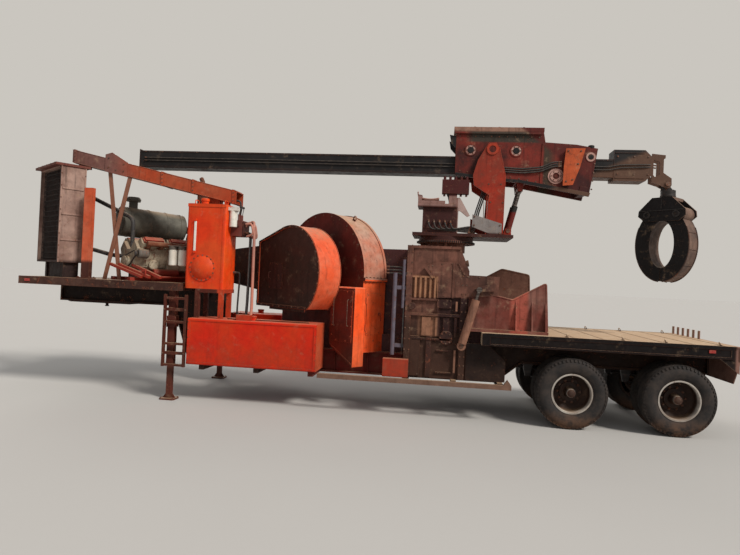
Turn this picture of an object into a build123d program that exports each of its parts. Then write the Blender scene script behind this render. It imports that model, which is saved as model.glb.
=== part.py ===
from build123d import *
import math
import os

# Whole tree chipper: a semi-trailer with a skewed disc chipper, feed works and a slide-boom loader.
# Millimetres. +X is the rear (wheels, infeed deck), -X the gooseneck, -Y the trailer's left side.
# The origin lies on the ground, in the middle of the whole machine's box.

# Running clearances
seat_gap = 0.3
side_gap = 6.0

# Trailer
trailer_half_width = 1220.0
ground_level = 0.0

# Main frame, two I-section rails with a dropped middle
rail_y = 480.0
rail_flange_width = 150.0
rail_web = 20.0
rail_flange = 24.0
goose_front_x = -5200.0
goose_bottom_z = 1480.0
goose_top_z = 1870.0
drop_bottom_z = 520.0
drop_top_z = 900.0
drop_front_x = -3100.0
drop_run = 320.0
goose_top_end_x = -2650.0
rear_kick_x = 2380.0
rear_kick_run = 400.0
rear_rail_bottom_z = 850.0
rail_rear_x = 5600.0
cross_tube = 110.0
outrigger_width = 80.0
outrigger_top_z = 600.0
outrigger_reach = trailer_half_width - 70.0

# Rear deck
deck_top_z = 1354.0
deck_plate = 14.0
deck_bottom_z = 1170.0
deck_front_x = 2100.0
deck_rear_x = 5650.0
deck_edge = 80.0
apron_rear_x = 5750.0
apron_front_x = 5470.0
apron_bottom_z = 800.0
apron_plate = 14.0

# Engine deck on the gooseneck
engine_deck_front_x = -5500.0
engine_deck_rear_x = -2720.0
engine_deck_plate = 16.0
engine_deck_rim = 60.0
engine_deck_rim_depth = 110.0

# Coupling plate and kingpin
coupler_front_x = -5150.0
coupler_rear_x = -3900.0
coupler_half_width = 550.0
coupler_plate = 18.0
kingpin_x = -4650.0
kingpin_shoulder_r = 36.5
kingpin_neck_r = 25.4
kingpin_foot_r = 35.7
kingpin_shoulder_length = 35.0
kingpin_neck_length = 35.0
kingpin_foot_length = 14.0

# Landing legs
leg_x = -2850.0
leg_y = trailer_half_width - 140.0
leg_tube = 110.0
leg_inner = 84.0
leg_tube_bottom_z = 560.0
leg_foot_x = 250.0
leg_foot_y = 230.0
leg_foot = 24.0
leg_gearbox_z = 1260.0

# Access steps on the left
steps_x_low = -2950.0
steps_x_high = -2560.0
steps_depth = 45.0
steps_bottom_z = 545.0
steps_top_z = 1700.0
step_rail = 40.0
step_thickness = 34.0
step_levels = [570.0, 910.0, 1260.0, 1640.0]

# Side tanks
side_tank_x_low = -2530.0
side_tank_x_high = -430.0
side_tank_right_x_high = -1500.0
side_tank_y_inner = 620.0
side_tank_bottom_z = 600.0
side_tank_top_z = 1340.0
side_tank_corner = 25.0
side_tank_panel_inset = 45.0
side_tank_panel_depth = 8.0

# Hydraulic tank, its stand and its clean-out cover
oil_tank_x_low = -2680.0
oil_tank_x_high = -2030.0
oil_tank_y_low = -trailer_half_width + 140.0
oil_tank_y_high = -560.0
oil_tank_bottom_z = 1810.0
oil_tank_top_z = 3190.0
oil_tank_corner = 30.0
oil_cover_x = -2390.0
oil_cover_z = 2150.0
oil_cover_r = 190.0
oil_cover_bulge = 70.0
oil_cover_flange_r = 215.0
oil_cover_flange = 14.0
stand_post = 70.0
stand_rail = 60.0
filter_r = 62.0
filter_length = 260.0
filter_head = 90.0

# Skewed drive line: the disc shaft and the engine lie along this heading, turned from +Y towards +X
skew_deg = 37.5
disc_p = -374.0
disc_z = 2145.0

# Belt guard, a teardrop round the driven sheave
guard_near_a = -1237.0
guard_far_a = -767.0
guard_r = 770.0
guard_front_reach = 870.0
guard_front_top_z = 2670.0
guard_bottom_z = 1560.0
guard_lip = 32.0
guard_panel_depth = 22.0

# Disc housing, split at the hood joint
disc_near_a = -527.0
disc_far_a = -7.0
disc_r = 1050.0
hood_joint_z = 2080.0
hood_flange = 26.0
disc_base_z = drop_top_z
disc_corner_cut = 300.0

# Bearing housing between guard and disc
bearing_p_low = 180.0
bearing_p_high = 740.0
bearing_bottom_z = 1020.0
bearing_top_z = 1950.0
shaft_r = 75.0

# Feed throat and feed works
works_x_low = 910.0
works_x_high = 1880.0
works_half_width = trailer_half_width - 220.0
works_bottom_z = outrigger_top_z
works_top_z = 2650.0
works_wall = 25.0
works_top_plate = 40.0
works_post = 110.0
throat_half_width = 420.0
throat_bottom_z = 1180.0
throat_top_z = 2060.0
throat_wall = 20.0
throat_reach_p = 560.0
throat_cover_top_z = 2610.0
throat_posts = [
    # x, y, radius, low z, high z: cylinders that stand beside the throat
    (735.0, -985.0, 32.0, 925.0, 2210.0),
    (870.0, -990.0, 24.0, 1660.0, 2420.0),
]

# Feed rolls and the swinging yoke of the upper roll
roll_half_length = 560.0
lower_roll_x = 1560.0
lower_roll_z = 1230.0
lower_roll_r = 150.0
upper_roll_x = 1520.0
upper_roll_z = 1730.0
upper_roll_r = 210.0
roll_bar = 30.0
roll_bars = 10
roll_end = 26.0
roll_stub_r = 44.95
roll_bore_r = 45.0
yoke_pivot_x = 2230.0
yoke_pivot_z = 2050.0
yoke_pin_r = 38.0
yoke_cheek = 34.0
yoke_cheek_y = 610.0

# Feed cylinders outside the walls, from the works' posts to the yoke's cranks
pin_clearance = 0.05
eye_half = 20.0
eye_collar = 6.0
pin_end = 3.0
feed_cylinder_y = works_half_width + 97.0
feed_base_x = 1800.0
feed_base_z = 1130.0
feed_pin_r = 22.0
crank_x = 2035.0
crank_z = 2000.0
crank_plate = 24.0

# Infeed trough
trough_front_x = 2300.0
trough_rear_x = 3100.0
trough_floor_top_z = 1400.0
trough_half_width = works_half_width - 100.0
trough_wall = 16.0
trough_shelf = 100.0

# Tandem axles with twin wheels
axle_x = [3442.0, 4947.0]
wheel_r = 525.0
tyre_width = 280.0
tyre_outer_y = trailer_half_width - tyre_width / 2
tyre_inner_y = tyre_outer_y - 335.0
rim_r = 292.0
rim_lip_r = 300.0
rim_wall = 14.0
rim_half_width = 112.0
hub_r = 120.0
hub_face_y = tyre_outer_y + 50.0
drum_r = 205.0
drum_outer_y = tyre_outer_y - 175.0
drum_inner_y = drum_outer_y - 250.0
spindle_r = 58.0
spindle_end_y = tyre_outer_y - 20.0
axle_r = 65.0
axle_shoulder_y = drum_inner_y - 15.0
spring_y = 480.0
spring_width = 76.0
spring_leaf = 12.0
spring_span = 1180.0

# Loader turret
turret_x = 1500.0
pedestal_r = 330.0
ring_r = 480.0
pedestal_top_z = 2790.0
ring_z = 2790.0
turret_base_z = 2860.0
turret_plate = 50.0
turret_r = 560.0
upright_y_inner = 300.0
upright_plate = 40.0
skirt_plate = 16.0

# Lift cylinders between the turret's deck and the head's underside
lift_head_x = 2690.0
lift_head_z = 3700.0
lift_base_x = 2520.0
lift_base_z = 3000.0
lift_y = 110.0
lift_pin_r = 25.0
lug_shift = 70.0
lift_eye_half = 50.0
lug_plate = 24.0

# Boom head, carried on the turret's uprights by two stub pins
head_pivot_x = 2200.0
head_pivot_z = 4330.0
head_pin_r = 55.0
head_y_inner = 220.0
head_plate = 24.0
head_roof_z = 4640.0
head_roof_top_z = 4710.0
head_front_x = 1600.0
head_roof_rear_x = 3030.0
head_rear_x = 3900.0
head_rear_top_z = 4390.0
head_rear_bottom_z = 3600.0
roller_r = 105.0
lower_roller_r = 95.0
roller_half_width = 135.0
hub_ring_x = 3246.0
hub_ring_z = 3923.0
hub_ring_r = 95.0

# Slide boom
boom_half_width = 150.0
boom_bottom_z = 3936.0
boom_top_z = 4240.0
boom_wall = 14.0
boom_front_x = -4050.0
boom_rear_x = head_rear_x + 900.0
tip_front_x = boom_rear_x - 620.0
tip_bottom_z = 3890.0
tip_top_z = 4400.0
tip_cheek = 26.0
tip_cheek_y = 60.0
tip_pin_x = boom_rear_x + 260.0
tip_pin_z = 3870.0
tip_pin_r = 32.0

# Grapple
grapple_turn = math.radians(-45)
swivel_shift = 40.0
swivel_x = tip_pin_x + swivel_shift
swivel_z = 3660.0
swivel_r = 115.0
swivel_height = 110.0
swivel_disc = 20.0
jaw_pivot_z = 3360.0
jaw_pivot_reach = 235.0
jaw_centre_z = 2875.0
jaw_outer_half = 430.0
jaw_outer_height = 605.0
jaw_inner_half = 200.0
jaw_inner_height = 385.0
jaw_width = 330.0
jaw_tip_gap = 12.0
jaw_hub_r = 125.0
jaw_pin_r = 34.0
cheek_gap = 12.0
grapple_cheek = 28.0
cheek_reach = 385.0
jaw_pin_half = jaw_width / 2 + cheek_gap + grapple_cheek + 8.0

# Cooler at the front corner, parallel to the engine
cooler_corner_x = -4880.0
cooler_corner_y = -trailer_half_width + 70.0
cooler_depth = 400.0
cooler_width = 1050.0
cooler_bottom_z = 2140.0
cooler_top_z = 3750.0
cooler_wall = 30.0
cooler_roof = 40.0
cooler_roof_over = 90.0
cooler_roof_tail = 60.0
fan_r = 440.0
fan_blades = 6
fan_pitch = math.radians(28)
fan_shaft_r = 20.0

# Engine
engine_p = -2560.0
engine_near_a = -2960.0
engine_far_a = -1500.0
engine_crank_z = 2180.0

# Discharge spout
spout_y = -600.0
spout_half_width = 170.0
spout_depth = 210.0
spout_wall = 10.0
spout_front_x = -4950.0
spout_rear_x = -1990.0
spout_rear_top_z = 3450.0
spout_front_top_z = 4090.0
doubler_x_low = -4340.0
doubler_x_high = -3930.0

# Post behind the cooler
post_x = -4440.0
post_y = -trailer_half_width + 210.0

# Directions of the skewed drive line
skew = math.radians(skew_deg)
along = Vector(math.sin(skew), math.cos(skew), 0)
across = Vector(math.cos(skew), -math.sin(skew), 0)


def skew_point(p, a, z):
    """Point given by its distance across (p) and along (a) the skewed drive line."""
    return across * p + along * a + Vector(0, 0, z)


def skew_plane(a):
    """Upright plane square to the drive line; its x runs across the line and its y is up."""
    return Plane(origin=along * a, x_dir=across, z_dir=-along)


def prism(plane, points, depth, mode=Mode.ADD):
    """Thicken a closed straight-sided outline by depth, along the plane's normal."""
    with BuildSketch(plane) as outline:
        with BuildLine():
            Polyline(*points, close=True)
        make_face()
    extrude(outline.sketch, amount=depth, mode=mode)


def side_plate(points, y_low, y_high, mode=Mode.ADD):
    """Outline in X and Z, from y_low to y_high."""
    prism(Plane.XZ.offset(-y_high), points, y_high - y_low, mode)


def flat_plate(points, z_low, z_high, mode=Mode.ADD):
    """Outline in X and Y, from z_low to z_high."""
    prism(Plane.XY.offset(z_low), points, z_high - z_low, mode)


def cross_plate(points, x_low, x_high, mode=Mode.ADD):
    """Outline in Y and Z, from x_low to x_high."""
    prism(Plane.YZ.offset(x_low), points, x_high - x_low, mode)


def skew_plate(points, a_low, a_high, mode=Mode.ADD):
    """Outline in p and Z, from a_low to a_high along the drive line."""
    prism(skew_plane(a_high), points, a_high - a_low, mode)


def block(x_low, x_high, y_low, y_high, z_low, z_high, mode=Mode.ADD):
    """Upright box between two corners."""
    with Locations(((x_low + x_high) / 2, (y_low + y_high) / 2, (z_low + z_high) / 2)):
        Box(x_high - x_low, y_high - y_low, z_high - z_low, mode=mode)


def skew_block(p_low, p_high, a_low, a_high, z_low, z_high, mode=Mode.ADD):
    """Box whose sides follow the skewed drive line."""
    corners = [(p_low, z_low), (p_high, z_low), (p_high, z_high), (p_low, z_high)]
    skew_plate(corners, a_low, a_high, mode)


def bar(start, end, radius, mode=Mode.ADD):
    """Round bar from one point to another."""
    start = Vector(*start)
    run = Vector(*end) - start
    with BuildSketch(Plane(origin=start, z_dir=run)) as section:
        Circle(radius)
    extrude(section.sketch, amount=run.length, mode=mode)


def turned(outline, centre_x, centre_z, mode=Mode.ADD):
    """Turn a closed outline of (y, radius) points about a cross-wise axis."""
    origin = (centre_x, 0, centre_z)
    with BuildSketch(Plane(origin=origin, x_dir=(0, 1, 0), z_dir=(1, 0, 0))) as section:
        with BuildLine():
            Polyline(*outline, close=True)
        make_face()
    revolve(section.sketch, axis=Axis(origin, (0, 1, 0)), mode=mode)


def pair(y_low, y_high):
    """The two y spans that lie mirrored about the trailer's centre plane."""
    return [(y_low, y_high), (-y_high, -y_low)]


# Main frame: the rail's outline is pocketed on both sides, which leaves a web and flanges
rail_outline = [
    (goose_front_x, goose_bottom_z),
    (drop_front_x, goose_bottom_z),
    (drop_front_x + drop_run, drop_bottom_z),
    (rear_kick_x, drop_bottom_z),
    (rear_kick_x + rear_kick_run, rear_rail_bottom_z),
    (rail_rear_x, rear_rail_bottom_z),
    (rail_rear_x, deck_bottom_z),
    (deck_front_x, deck_bottom_z),
    (deck_front_x, drop_top_z),
    (goose_top_end_x + drop_run, drop_top_z),
    (goose_top_end_x, goose_top_z),
    (goose_front_x, goose_top_z),
]
rail_pocket = (rail_flange_width - rail_web) / 2
goose_cross_x = [-5140.0, -4200.0, -3300.0]
middle_cross_x = [-2100.0, -1200.0, -300.0, 600.0, 1500.0, 2350.0]
rear_cross_x = [3000.0, 4195.0, 5540.0]
outrigger_x = [-2300.0, -1400.0, -520.0, 960.0, 1700.0, 2400.0]

with BuildPart() as main_frame:
    for y_low, y_high in pair(rail_y - rail_flange_width / 2, rail_y + rail_flange_width / 2):
        side_plate(rail_outline, y_low, y_high)
        for face_y in (y_low + rail_pocket, y_high):
            with BuildSketch(Plane.XZ.offset(-face_y)) as pocket:
                with BuildLine():
                    Polyline(*rail_outline, close=True)
                make_face()
                offset(amount=-rail_flange, kind=Kind.INTERSECTION, mode=Mode.REPLACE)
            extrude(pocket.sketch, amount=rail_pocket, mode=Mode.SUBTRACT)
    inner_y = rail_y - rail_web / 2
    for stations, level in (
        (goose_cross_x, (goose_bottom_z + goose_top_z) / 2),
        (middle_cross_x, (drop_bottom_z + drop_top_z) / 2),
        (rear_cross_x, (rear_rail_bottom_z + deck_bottom_z) / 2),
    ):
        for x in stations:
            half = cross_tube / 2
            block(x - half, x + half, -inner_y, inner_y, level - half, level + half)
    outer_y = rail_y + rail_web / 2
    for x in outrigger_x:
        for y_low, y_high in pair(outer_y, outrigger_reach):
            half = outrigger_width / 2
            block(x - half, x + half, y_low, y_high, drop_bottom_z, outrigger_top_z)
main_frame.part.label = "main_frame"

# Deck on the gooseneck, a plate with a turned-down rim
with BuildPart() as engine_deck:
    plate_top_z = goose_top_z + engine_deck_plate
    block(engine_deck_front_x, engine_deck_rear_x, -trailer_half_width, trailer_half_width,
          goose_top_z - engine_deck_rim_depth, plate_top_z)
    block(engine_deck_front_x + engine_deck_rim, engine_deck_rear_x - engine_deck_rim,
          engine_deck_rim - trailer_half_width, trailer_half_width - engine_deck_rim,
          goose_top_z - engine_deck_rim_depth, goose_top_z, Mode.SUBTRACT)
    for y_low, y_high in pair(rail_y - rail_flange_width / 2 - seat_gap, rail_y + rail_flange_width / 2 + seat_gap):
        block(engine_deck_rear_x - engine_deck_rim, engine_deck_rear_x, y_low, y_high,
              goose_top_z - engine_deck_rim_depth, goose_top_z, Mode.SUBTRACT)
engine_deck.part.label = "engine_deck"
engine_deck_z = goose_top_z + engine_deck_plate

# Coupling plate with its kingpin
with BuildPart() as coupling_plate:
    plate_bottom_z = goose_bottom_z - coupler_plate
    nose = 150.0
    flat_plate([
        (coupler_front_x, -coupler_half_width + nose),
        (coupler_front_x + nose, -coupler_half_width),
        (coupler_rear_x, -coupler_half_width),
        (coupler_rear_x, coupler_half_width),
        (coupler_front_x + nose, coupler_half_width),
        (coupler_front_x, coupler_half_width - nose),
    ], plate_bottom_z, goose_bottom_z)
    level = plate_bottom_z
    for radius, length in (
        (kingpin_shoulder_r, kingpin_shoulder_length),
        (kingpin_neck_r, kingpin_neck_length),
        (kingpin_foot_r, kingpin_foot_length),
    ):
        bar((kingpin_x, 0, level), (kingpin_x, 0, level - length), radius)
        level = level - length
coupling_plate.part.label = "coupling_plate"


# Square two-stage landing legs with their feet and gearboxes
with BuildPart() as landing_legs:
    half = leg_tube / 2
    inner = leg_inner / 2
    gusset = leg_foot_x / 2 - 20
    for side in (-1, 1):
        y = side * leg_y
        block(leg_x - half, leg_x + half, y - half, y + half, leg_tube_bottom_z, goose_top_z)
        block(leg_x - inner, leg_x + inner, y - inner, y + inner, leg_foot, leg_tube_bottom_z)
        with BuildSketch(Plane.XY.offset(ground_level)) as foot:
            with Locations((leg_x, y)):
                RectangleRounded(leg_foot_x, leg_foot_y, 30)
        extrude(foot.sketch, amount=leg_foot)
        side_plate([(leg_x - gusset, leg_foot), (leg_x + gusset, leg_foot), (leg_x + inner, leg_foot + 90),
                    (leg_x - inner, leg_foot + 90)], y - 8, y + 8)
        bar((leg_x, y, leg_gearbox_z), (leg_x, y - side * (half + 60), leg_gearbox_z), 48)
landing_legs.part.label = "landing_legs"

# Ladder beside the left leg
with BuildPart() as access_steps:
    steps_y_low = -trailer_half_width
    steps_y_high = steps_y_low + steps_depth
    for x_low in (steps_x_low, steps_x_high - step_rail):
        block(x_low, x_low + step_rail, steps_y_low, steps_y_high, steps_bottom_z, steps_top_z)
    for level in step_levels:
        block(steps_x_low + step_rail, steps_x_high - step_rail, steps_y_low, steps_y_high,
              level - step_thickness / 2, level + step_thickness / 2)
    for level in (760.0, 1460.0):
        block(leg_x - 30, leg_x + 30, steps_y_high, -leg_y - leg_tube / 2, level - 25, level + 25)
        block(steps_x_low, steps_x_high, steps_y_high - 12, steps_y_high, level - 25, level + 25)
access_steps.part.label = "access_steps"


# Welded tanks on the outriggers, each with a recessed panel on its outer face
tank_table = [
    # side, x high, cap x
    (-1, side_tank_x_high, -1530.0),
    (1, side_tank_right_x_high, -2030.0),
]
with BuildPart() as side_tanks:
    for side, x_high, cap_x in tank_table:
        y_low, y_high = pair(side_tank_y_inner, trailer_half_width)[0 if side > 0 else 1]
        with BuildSketch(Plane.YZ.offset(side_tank_x_low)) as tank_section:
            with Locations(((y_low + y_high) / 2, (side_tank_bottom_z + side_tank_top_z) / 2)):
                RectangleRounded(y_high - y_low, side_tank_top_z - side_tank_bottom_z, side_tank_corner)
        extrude(tank_section.sketch, amount=x_high - side_tank_x_low)
        face_y = side * trailer_half_width
        depth_y = face_y - side * side_tank_panel_depth
        block(side_tank_x_low + side_tank_panel_inset, x_high - side_tank_panel_inset,
              min(face_y, depth_y), max(face_y, depth_y),
              side_tank_bottom_z + side_tank_panel_inset, side_tank_top_z - side_tank_panel_inset,
              Mode.SUBTRACT)
        bar((cap_x, side * 1000, side_tank_top_z), (cap_x, side * 1000, side_tank_top_z + 40), 55)
side_tanks.part.label = "side_tanks"

# Hydraulic tank with a domed clean-out cover
with BuildPart() as hydraulic_tank:
    block(oil_tank_x_low, oil_tank_x_high, oil_tank_y_low, oil_tank_y_high, oil_tank_bottom_z, oil_tank_top_z)
    fillet(hydraulic_tank.edges().filter_by(Axis.Z), radius=oil_tank_corner)
    bar((oil_cover_x, oil_tank_y_low, oil_cover_z),
        (oil_cover_x, oil_tank_y_low - oil_cover_flange, oil_cover_z), oil_cover_flange_r)
    dome_r = (oil_cover_r ** 2 + oil_cover_bulge ** 2) / (2 * oil_cover_bulge)
    dome_y = oil_tank_y_low - oil_cover_flange
    dome_plane = Plane(origin=(oil_cover_x, dome_y, oil_cover_z), x_dir=(1, 0, 0), z_dir=(0, 0, 1))
    with BuildSketch(dome_plane) as dome:
        with BuildLine():
            Line((0, -oil_cover_bulge), (0, 0))
            Line((0, 0), (oil_cover_r, 0))
            RadiusArc((oil_cover_r, 0), (0, -oil_cover_bulge), dome_r)
        make_face()
    revolve(dome.sketch, axis=Axis((oil_cover_x, 0, oil_cover_z), (0, 1, 0)))
    bar((oil_cover_x - 120, -800, oil_tank_top_z), (oil_cover_x - 120, -800, oil_tank_top_z + 70), 60)
hydraulic_tank.part.label = "hydraulic_tank"

# Stand that carries the hydraulic tank on the fuel tank's top
with BuildPart() as tank_stand:
    half = stand_post / 2
    stand_y = (oil_tank_y_low + half, -side_tank_y_inner - stand_post)
    for x in (side_tank_x_low + stand_post, oil_tank_x_high - half):
        for y in stand_y:
            block(x - half, x + half, y - half, y + half, side_tank_top_z, oil_tank_bottom_z - stand_rail)
    block(side_tank_x_low + half, oil_tank_x_high, oil_tank_y_low, oil_tank_y_high,
          oil_tank_bottom_z - stand_rail, oil_tank_bottom_z)
    block(side_tank_x_low + half + stand_post, oil_tank_x_high - stand_post, oil_tank_y_low + stand_post,
          oil_tank_y_high - stand_post, oil_tank_bottom_z - stand_rail, oil_tank_bottom_z, Mode.SUBTRACT)
tank_stand.part.label = "tank_stand"

# Return filter and valve bank on the tank's rear face
with BuildPart() as filter_and_valves:
    filter_x = oil_tank_x_high + filter_head
    filter_y = oil_tank_y_low + 140
    filter_top_z = oil_tank_top_z - 90
    block(oil_tank_x_high, filter_x + filter_r, filter_y - filter_r, filter_y + filter_r,
          filter_top_z, filter_top_z + 60)
    bar((filter_x - 20, filter_y, filter_top_z), (filter_x - 20, filter_y, filter_top_z - filter_length), filter_r)
    block(oil_tank_x_high, oil_tank_x_high + 190, -860, -560, 2700, 2960)
    for y in (-820, -740, -660):
        bar((oil_tank_x_high + 120, y, 2960), (oil_tank_x_high + 120, y, 3060), 16)
filter_and_valves.part.label = "filter_and_valves"

# Belt guard: circle round the sheave, tangents towards the front edge, flat bottom
guard_front_p = disc_p - guard_front_reach
front_dp = -guard_front_reach
front_dz = guard_front_top_z - disc_z
front_distance = math.hypot(front_dp, front_dz)
tangent_angle = math.atan2(front_dz, front_dp) - math.acos(guard_r / front_distance)
guard_tangent = (disc_p + guard_r * math.cos(tangent_angle), disc_z + guard_r * math.sin(tangent_angle))
bottom_angle = math.asin((guard_bottom_z - disc_z) / guard_r)
guard_bottom_end = (disc_p + guard_r * math.cos(bottom_angle), guard_bottom_z)
guard_rightmost = (disc_p + guard_r, disc_z)


def guard_outline(plane, inset):
    """Teardrop of the belt guard, drawn smaller by inset."""
    with BuildSketch(plane) as teardrop:
        with BuildLine():
            Polyline(guard_tangent, (guard_front_p, guard_front_top_z), (guard_front_p, guard_bottom_z),
                     guard_bottom_end)
            ThreePointArc(guard_bottom_end, guard_rightmost, guard_tangent)
        make_face()
        if inset > 0:
            offset(amount=-inset, kind=Kind.INTERSECTION, mode=Mode.REPLACE)
    return teardrop.sketch


with BuildPart() as belt_guard:
    extrude(guard_outline(skew_plane(guard_far_a), 0), amount=guard_far_a - guard_near_a)
    extrude(guard_outline(skew_plane(guard_near_a + guard_panel_depth), guard_lip), amount=guard_panel_depth,
            mode=Mode.SUBTRACT)
belt_guard.part.label = "belt_guard"

# Belt tunnel from the guard's front edge to the engine's clutch
tunnel_front_p = engine_p - 330.0
tunnel_near_a = guard_near_a + 130.0
tunnel_top_z = 2520.0
tunnel_bottom_z = 1960.0
with BuildPart() as belt_tunnel:
    skew_plate([
        (tunnel_front_p + 200, tunnel_bottom_z),
        (guard_front_p - seat_gap, guard_bottom_z + 240),
        (guard_front_p - seat_gap, guard_front_top_z - 60),
        (tunnel_front_p + 250, tunnel_top_z),
        (tunnel_front_p, tunnel_top_z - 180),
        (tunnel_front_p, tunnel_bottom_z + 180),
    ], tunnel_near_a, guard_far_a)
belt_tunnel.part.label = "belt_tunnel"

# Disc housing: hood above, welded base below, flanged where they bolt together
hood_half = math.sqrt(disc_r ** 2 - (hood_joint_z - disc_z) ** 2)
hood_left = (disc_p - hood_half, hood_joint_z)
hood_right = (disc_p + hood_half, hood_joint_z)
with BuildPart() as disc_hood:
    with BuildSketch(skew_plane(disc_far_a)) as hood:
        with BuildLine():
            ThreePointArc(hood_right, (disc_p, disc_z + disc_r), hood_left)
            Line(hood_left, hood_right)
        make_face()
    extrude(hood.sketch, amount=disc_far_a - disc_near_a)
    for edge_p in (disc_p - hood_half - 16, disc_p + hood_half + 16):
        skew_block(edge_p - 24, edge_p + 24, disc_near_a, disc_far_a, hood_joint_z, hood_joint_z + hood_flange)
disc_hood.part.label = "disc_hood"

base_p_low = disc_p - hood_half
base_p_high = disc_p + hood_half
with BuildPart() as disc_base:
    skew_plate([
        (base_p_low + disc_corner_cut, disc_base_z),
        (base_p_high, disc_base_z),
        (base_p_high, hood_joint_z),
        (base_p_low, hood_joint_z),
        (base_p_low, disc_base_z + disc_corner_cut),
    ], disc_near_a, disc_far_a)
    for p_low, p_high in ((base_p_low - 40, base_p_low + 8), (base_p_high - 8, base_p_high + 40)):
        skew_block(p_low, p_high, disc_near_a, disc_far_a, hood_joint_z - hood_flange, hood_joint_z)
disc_base.part.label = "disc_base"

# Bearing housing on the near face of the disc base, with its gusset, and the disc's shaft beside it
with BuildPart() as bearing_housing:
    skew_block(bearing_p_low, bearing_p_high, guard_far_a, disc_near_a, bearing_bottom_z, bearing_top_z)
    skew_plate([
        (bearing_p_low, bearing_bottom_z),
        (bearing_p_low + 60, bearing_bottom_z - 60),
        (bearing_p_high, bearing_bottom_z - 330),
        (bearing_p_high, bearing_bottom_z),
    ], guard_far_a, disc_near_a)
    chamfer(bearing_housing.edges().group_by(Axis.Z)[-1], length=22)
    shaft_p_z = (disc_p, disc_z)
    with BuildSketch(skew_plane(disc_near_a)) as shaft_section:
        with Locations(shaft_p_z):
            Circle(shaft_r)
    extrude(shaft_section.sketch, amount=disc_near_a - guard_far_a)
    with BuildSketch(skew_plane(disc_near_a)) as bearing_flange:
        with Locations(shaft_p_z):
            RegularPolygon(230, 8)
    extrude(bearing_flange.sketch, amount=90)
bearing_housing.part.label = "bearing_housing"

# Throat that leads from the feed works to the disc's far face, its cover, and the cylinders beside it
far_origin = along * disc_far_a


def on_far_face(p):
    """Plan position of a point on the disc housing's far face."""
    point = far_origin + across * p
    return (point.X, point.Y)


throat_outline = [
    (works_x_low, -throat_half_width),
    on_far_face(throat_reach_p),
    on_far_face(-throat_reach_p),
    (0.0, throat_half_width),
    (works_x_low, throat_half_width),
]
throat_passage = [
    (works_x_low, -throat_half_width + throat_wall),
    on_far_face(throat_reach_p - 1.5 * throat_wall),
    on_far_face(-throat_reach_p + 2 * throat_wall),
    (0.0, throat_half_width - throat_wall),
    (works_x_low, throat_half_width - throat_wall),
]
with BuildPart() as feed_throat:
    flat_plate(throat_outline, throat_bottom_z, throat_top_z)
    flat_plate(throat_passage, throat_bottom_z + throat_wall, throat_top_z - throat_wall, Mode.SUBTRACT)
    flat_plate(throat_outline, throat_top_z, throat_cover_top_z)
    for x, y, radius, low_z, high_z in throat_posts:
        bar((x, y, low_z), (x, y, high_z), radius)
        block(x - 10, works_x_low, y - 12, y + 12, high_z - 260, high_z - 200)
        block(x - 10, works_x_low, y - 12, y + 12, low_z + 120, low_z + 180)
feed_throat.part.label = "feed_throat"

# Feed works: ribbed side walls, front wall with the throat's hole, bed with the lower roll's cradle
works_wall_top_z = works_top_z - works_top_plate
rib_rows = [
    # x of first rib, x of last rib, pitch, low z, high z
    (985.0, 1365.0, 76.0, 1830.0, 2150.0),
    (1700.0, 1850.0, 75.0, 1250.0, 1545.0),
]
wall_plates = [
    # x low, x high, low z, high z
    (935.0, 1165.0, 625.0, 1240.0),
    (1180.0, 1320.0, 1250.0, 1545.0),
    (1390.0, 1450.0, 1250.0, 1545.0),
    (1510.0, 1600.0, 1250.0, 1545.0),
    (1405.0, 1625.0, 1690.0, 1825.0),
]
cover_outline = [
    (1399.0, 1843.0), (1385.0, 2150.0), (1324.0, 2150.0), (1193.0, 2315.0), (1374.0, 2400.0), (1711.0, 2414.0),
    (1811.0, 2218.0), (2340.0, 2211.0), (2323.0, 1919.0), (2023.0, 1889.0),
]
cover_ribs = [
    # start and end in x and z, width
    ((1193.0, 2315.0), (1324.0, 2150.0), 34.0),
    ((1711.0, 2400.0), (1811.0, 2218.0), 30.0),
    ((1640.0, 1850.0), (1640.0, 2400.0), 26.0),
]


def strip(start, end, width):
    """Corners of a straight strip between two points, as an outline."""
    run_x, run_z = end[0] - start[0], end[1] - start[1]
    length = math.hypot(run_x, run_z)
    side_x, side_z = -run_z / length * width / 2, run_x / length * width / 2
    return [
        (start[0] - side_x, start[1] - side_z), (end[0] - side_x, end[1] - side_z),
        (end[0] + side_x, end[1] + side_z), (start[0] + side_x, start[1] + side_z),
    ]


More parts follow.
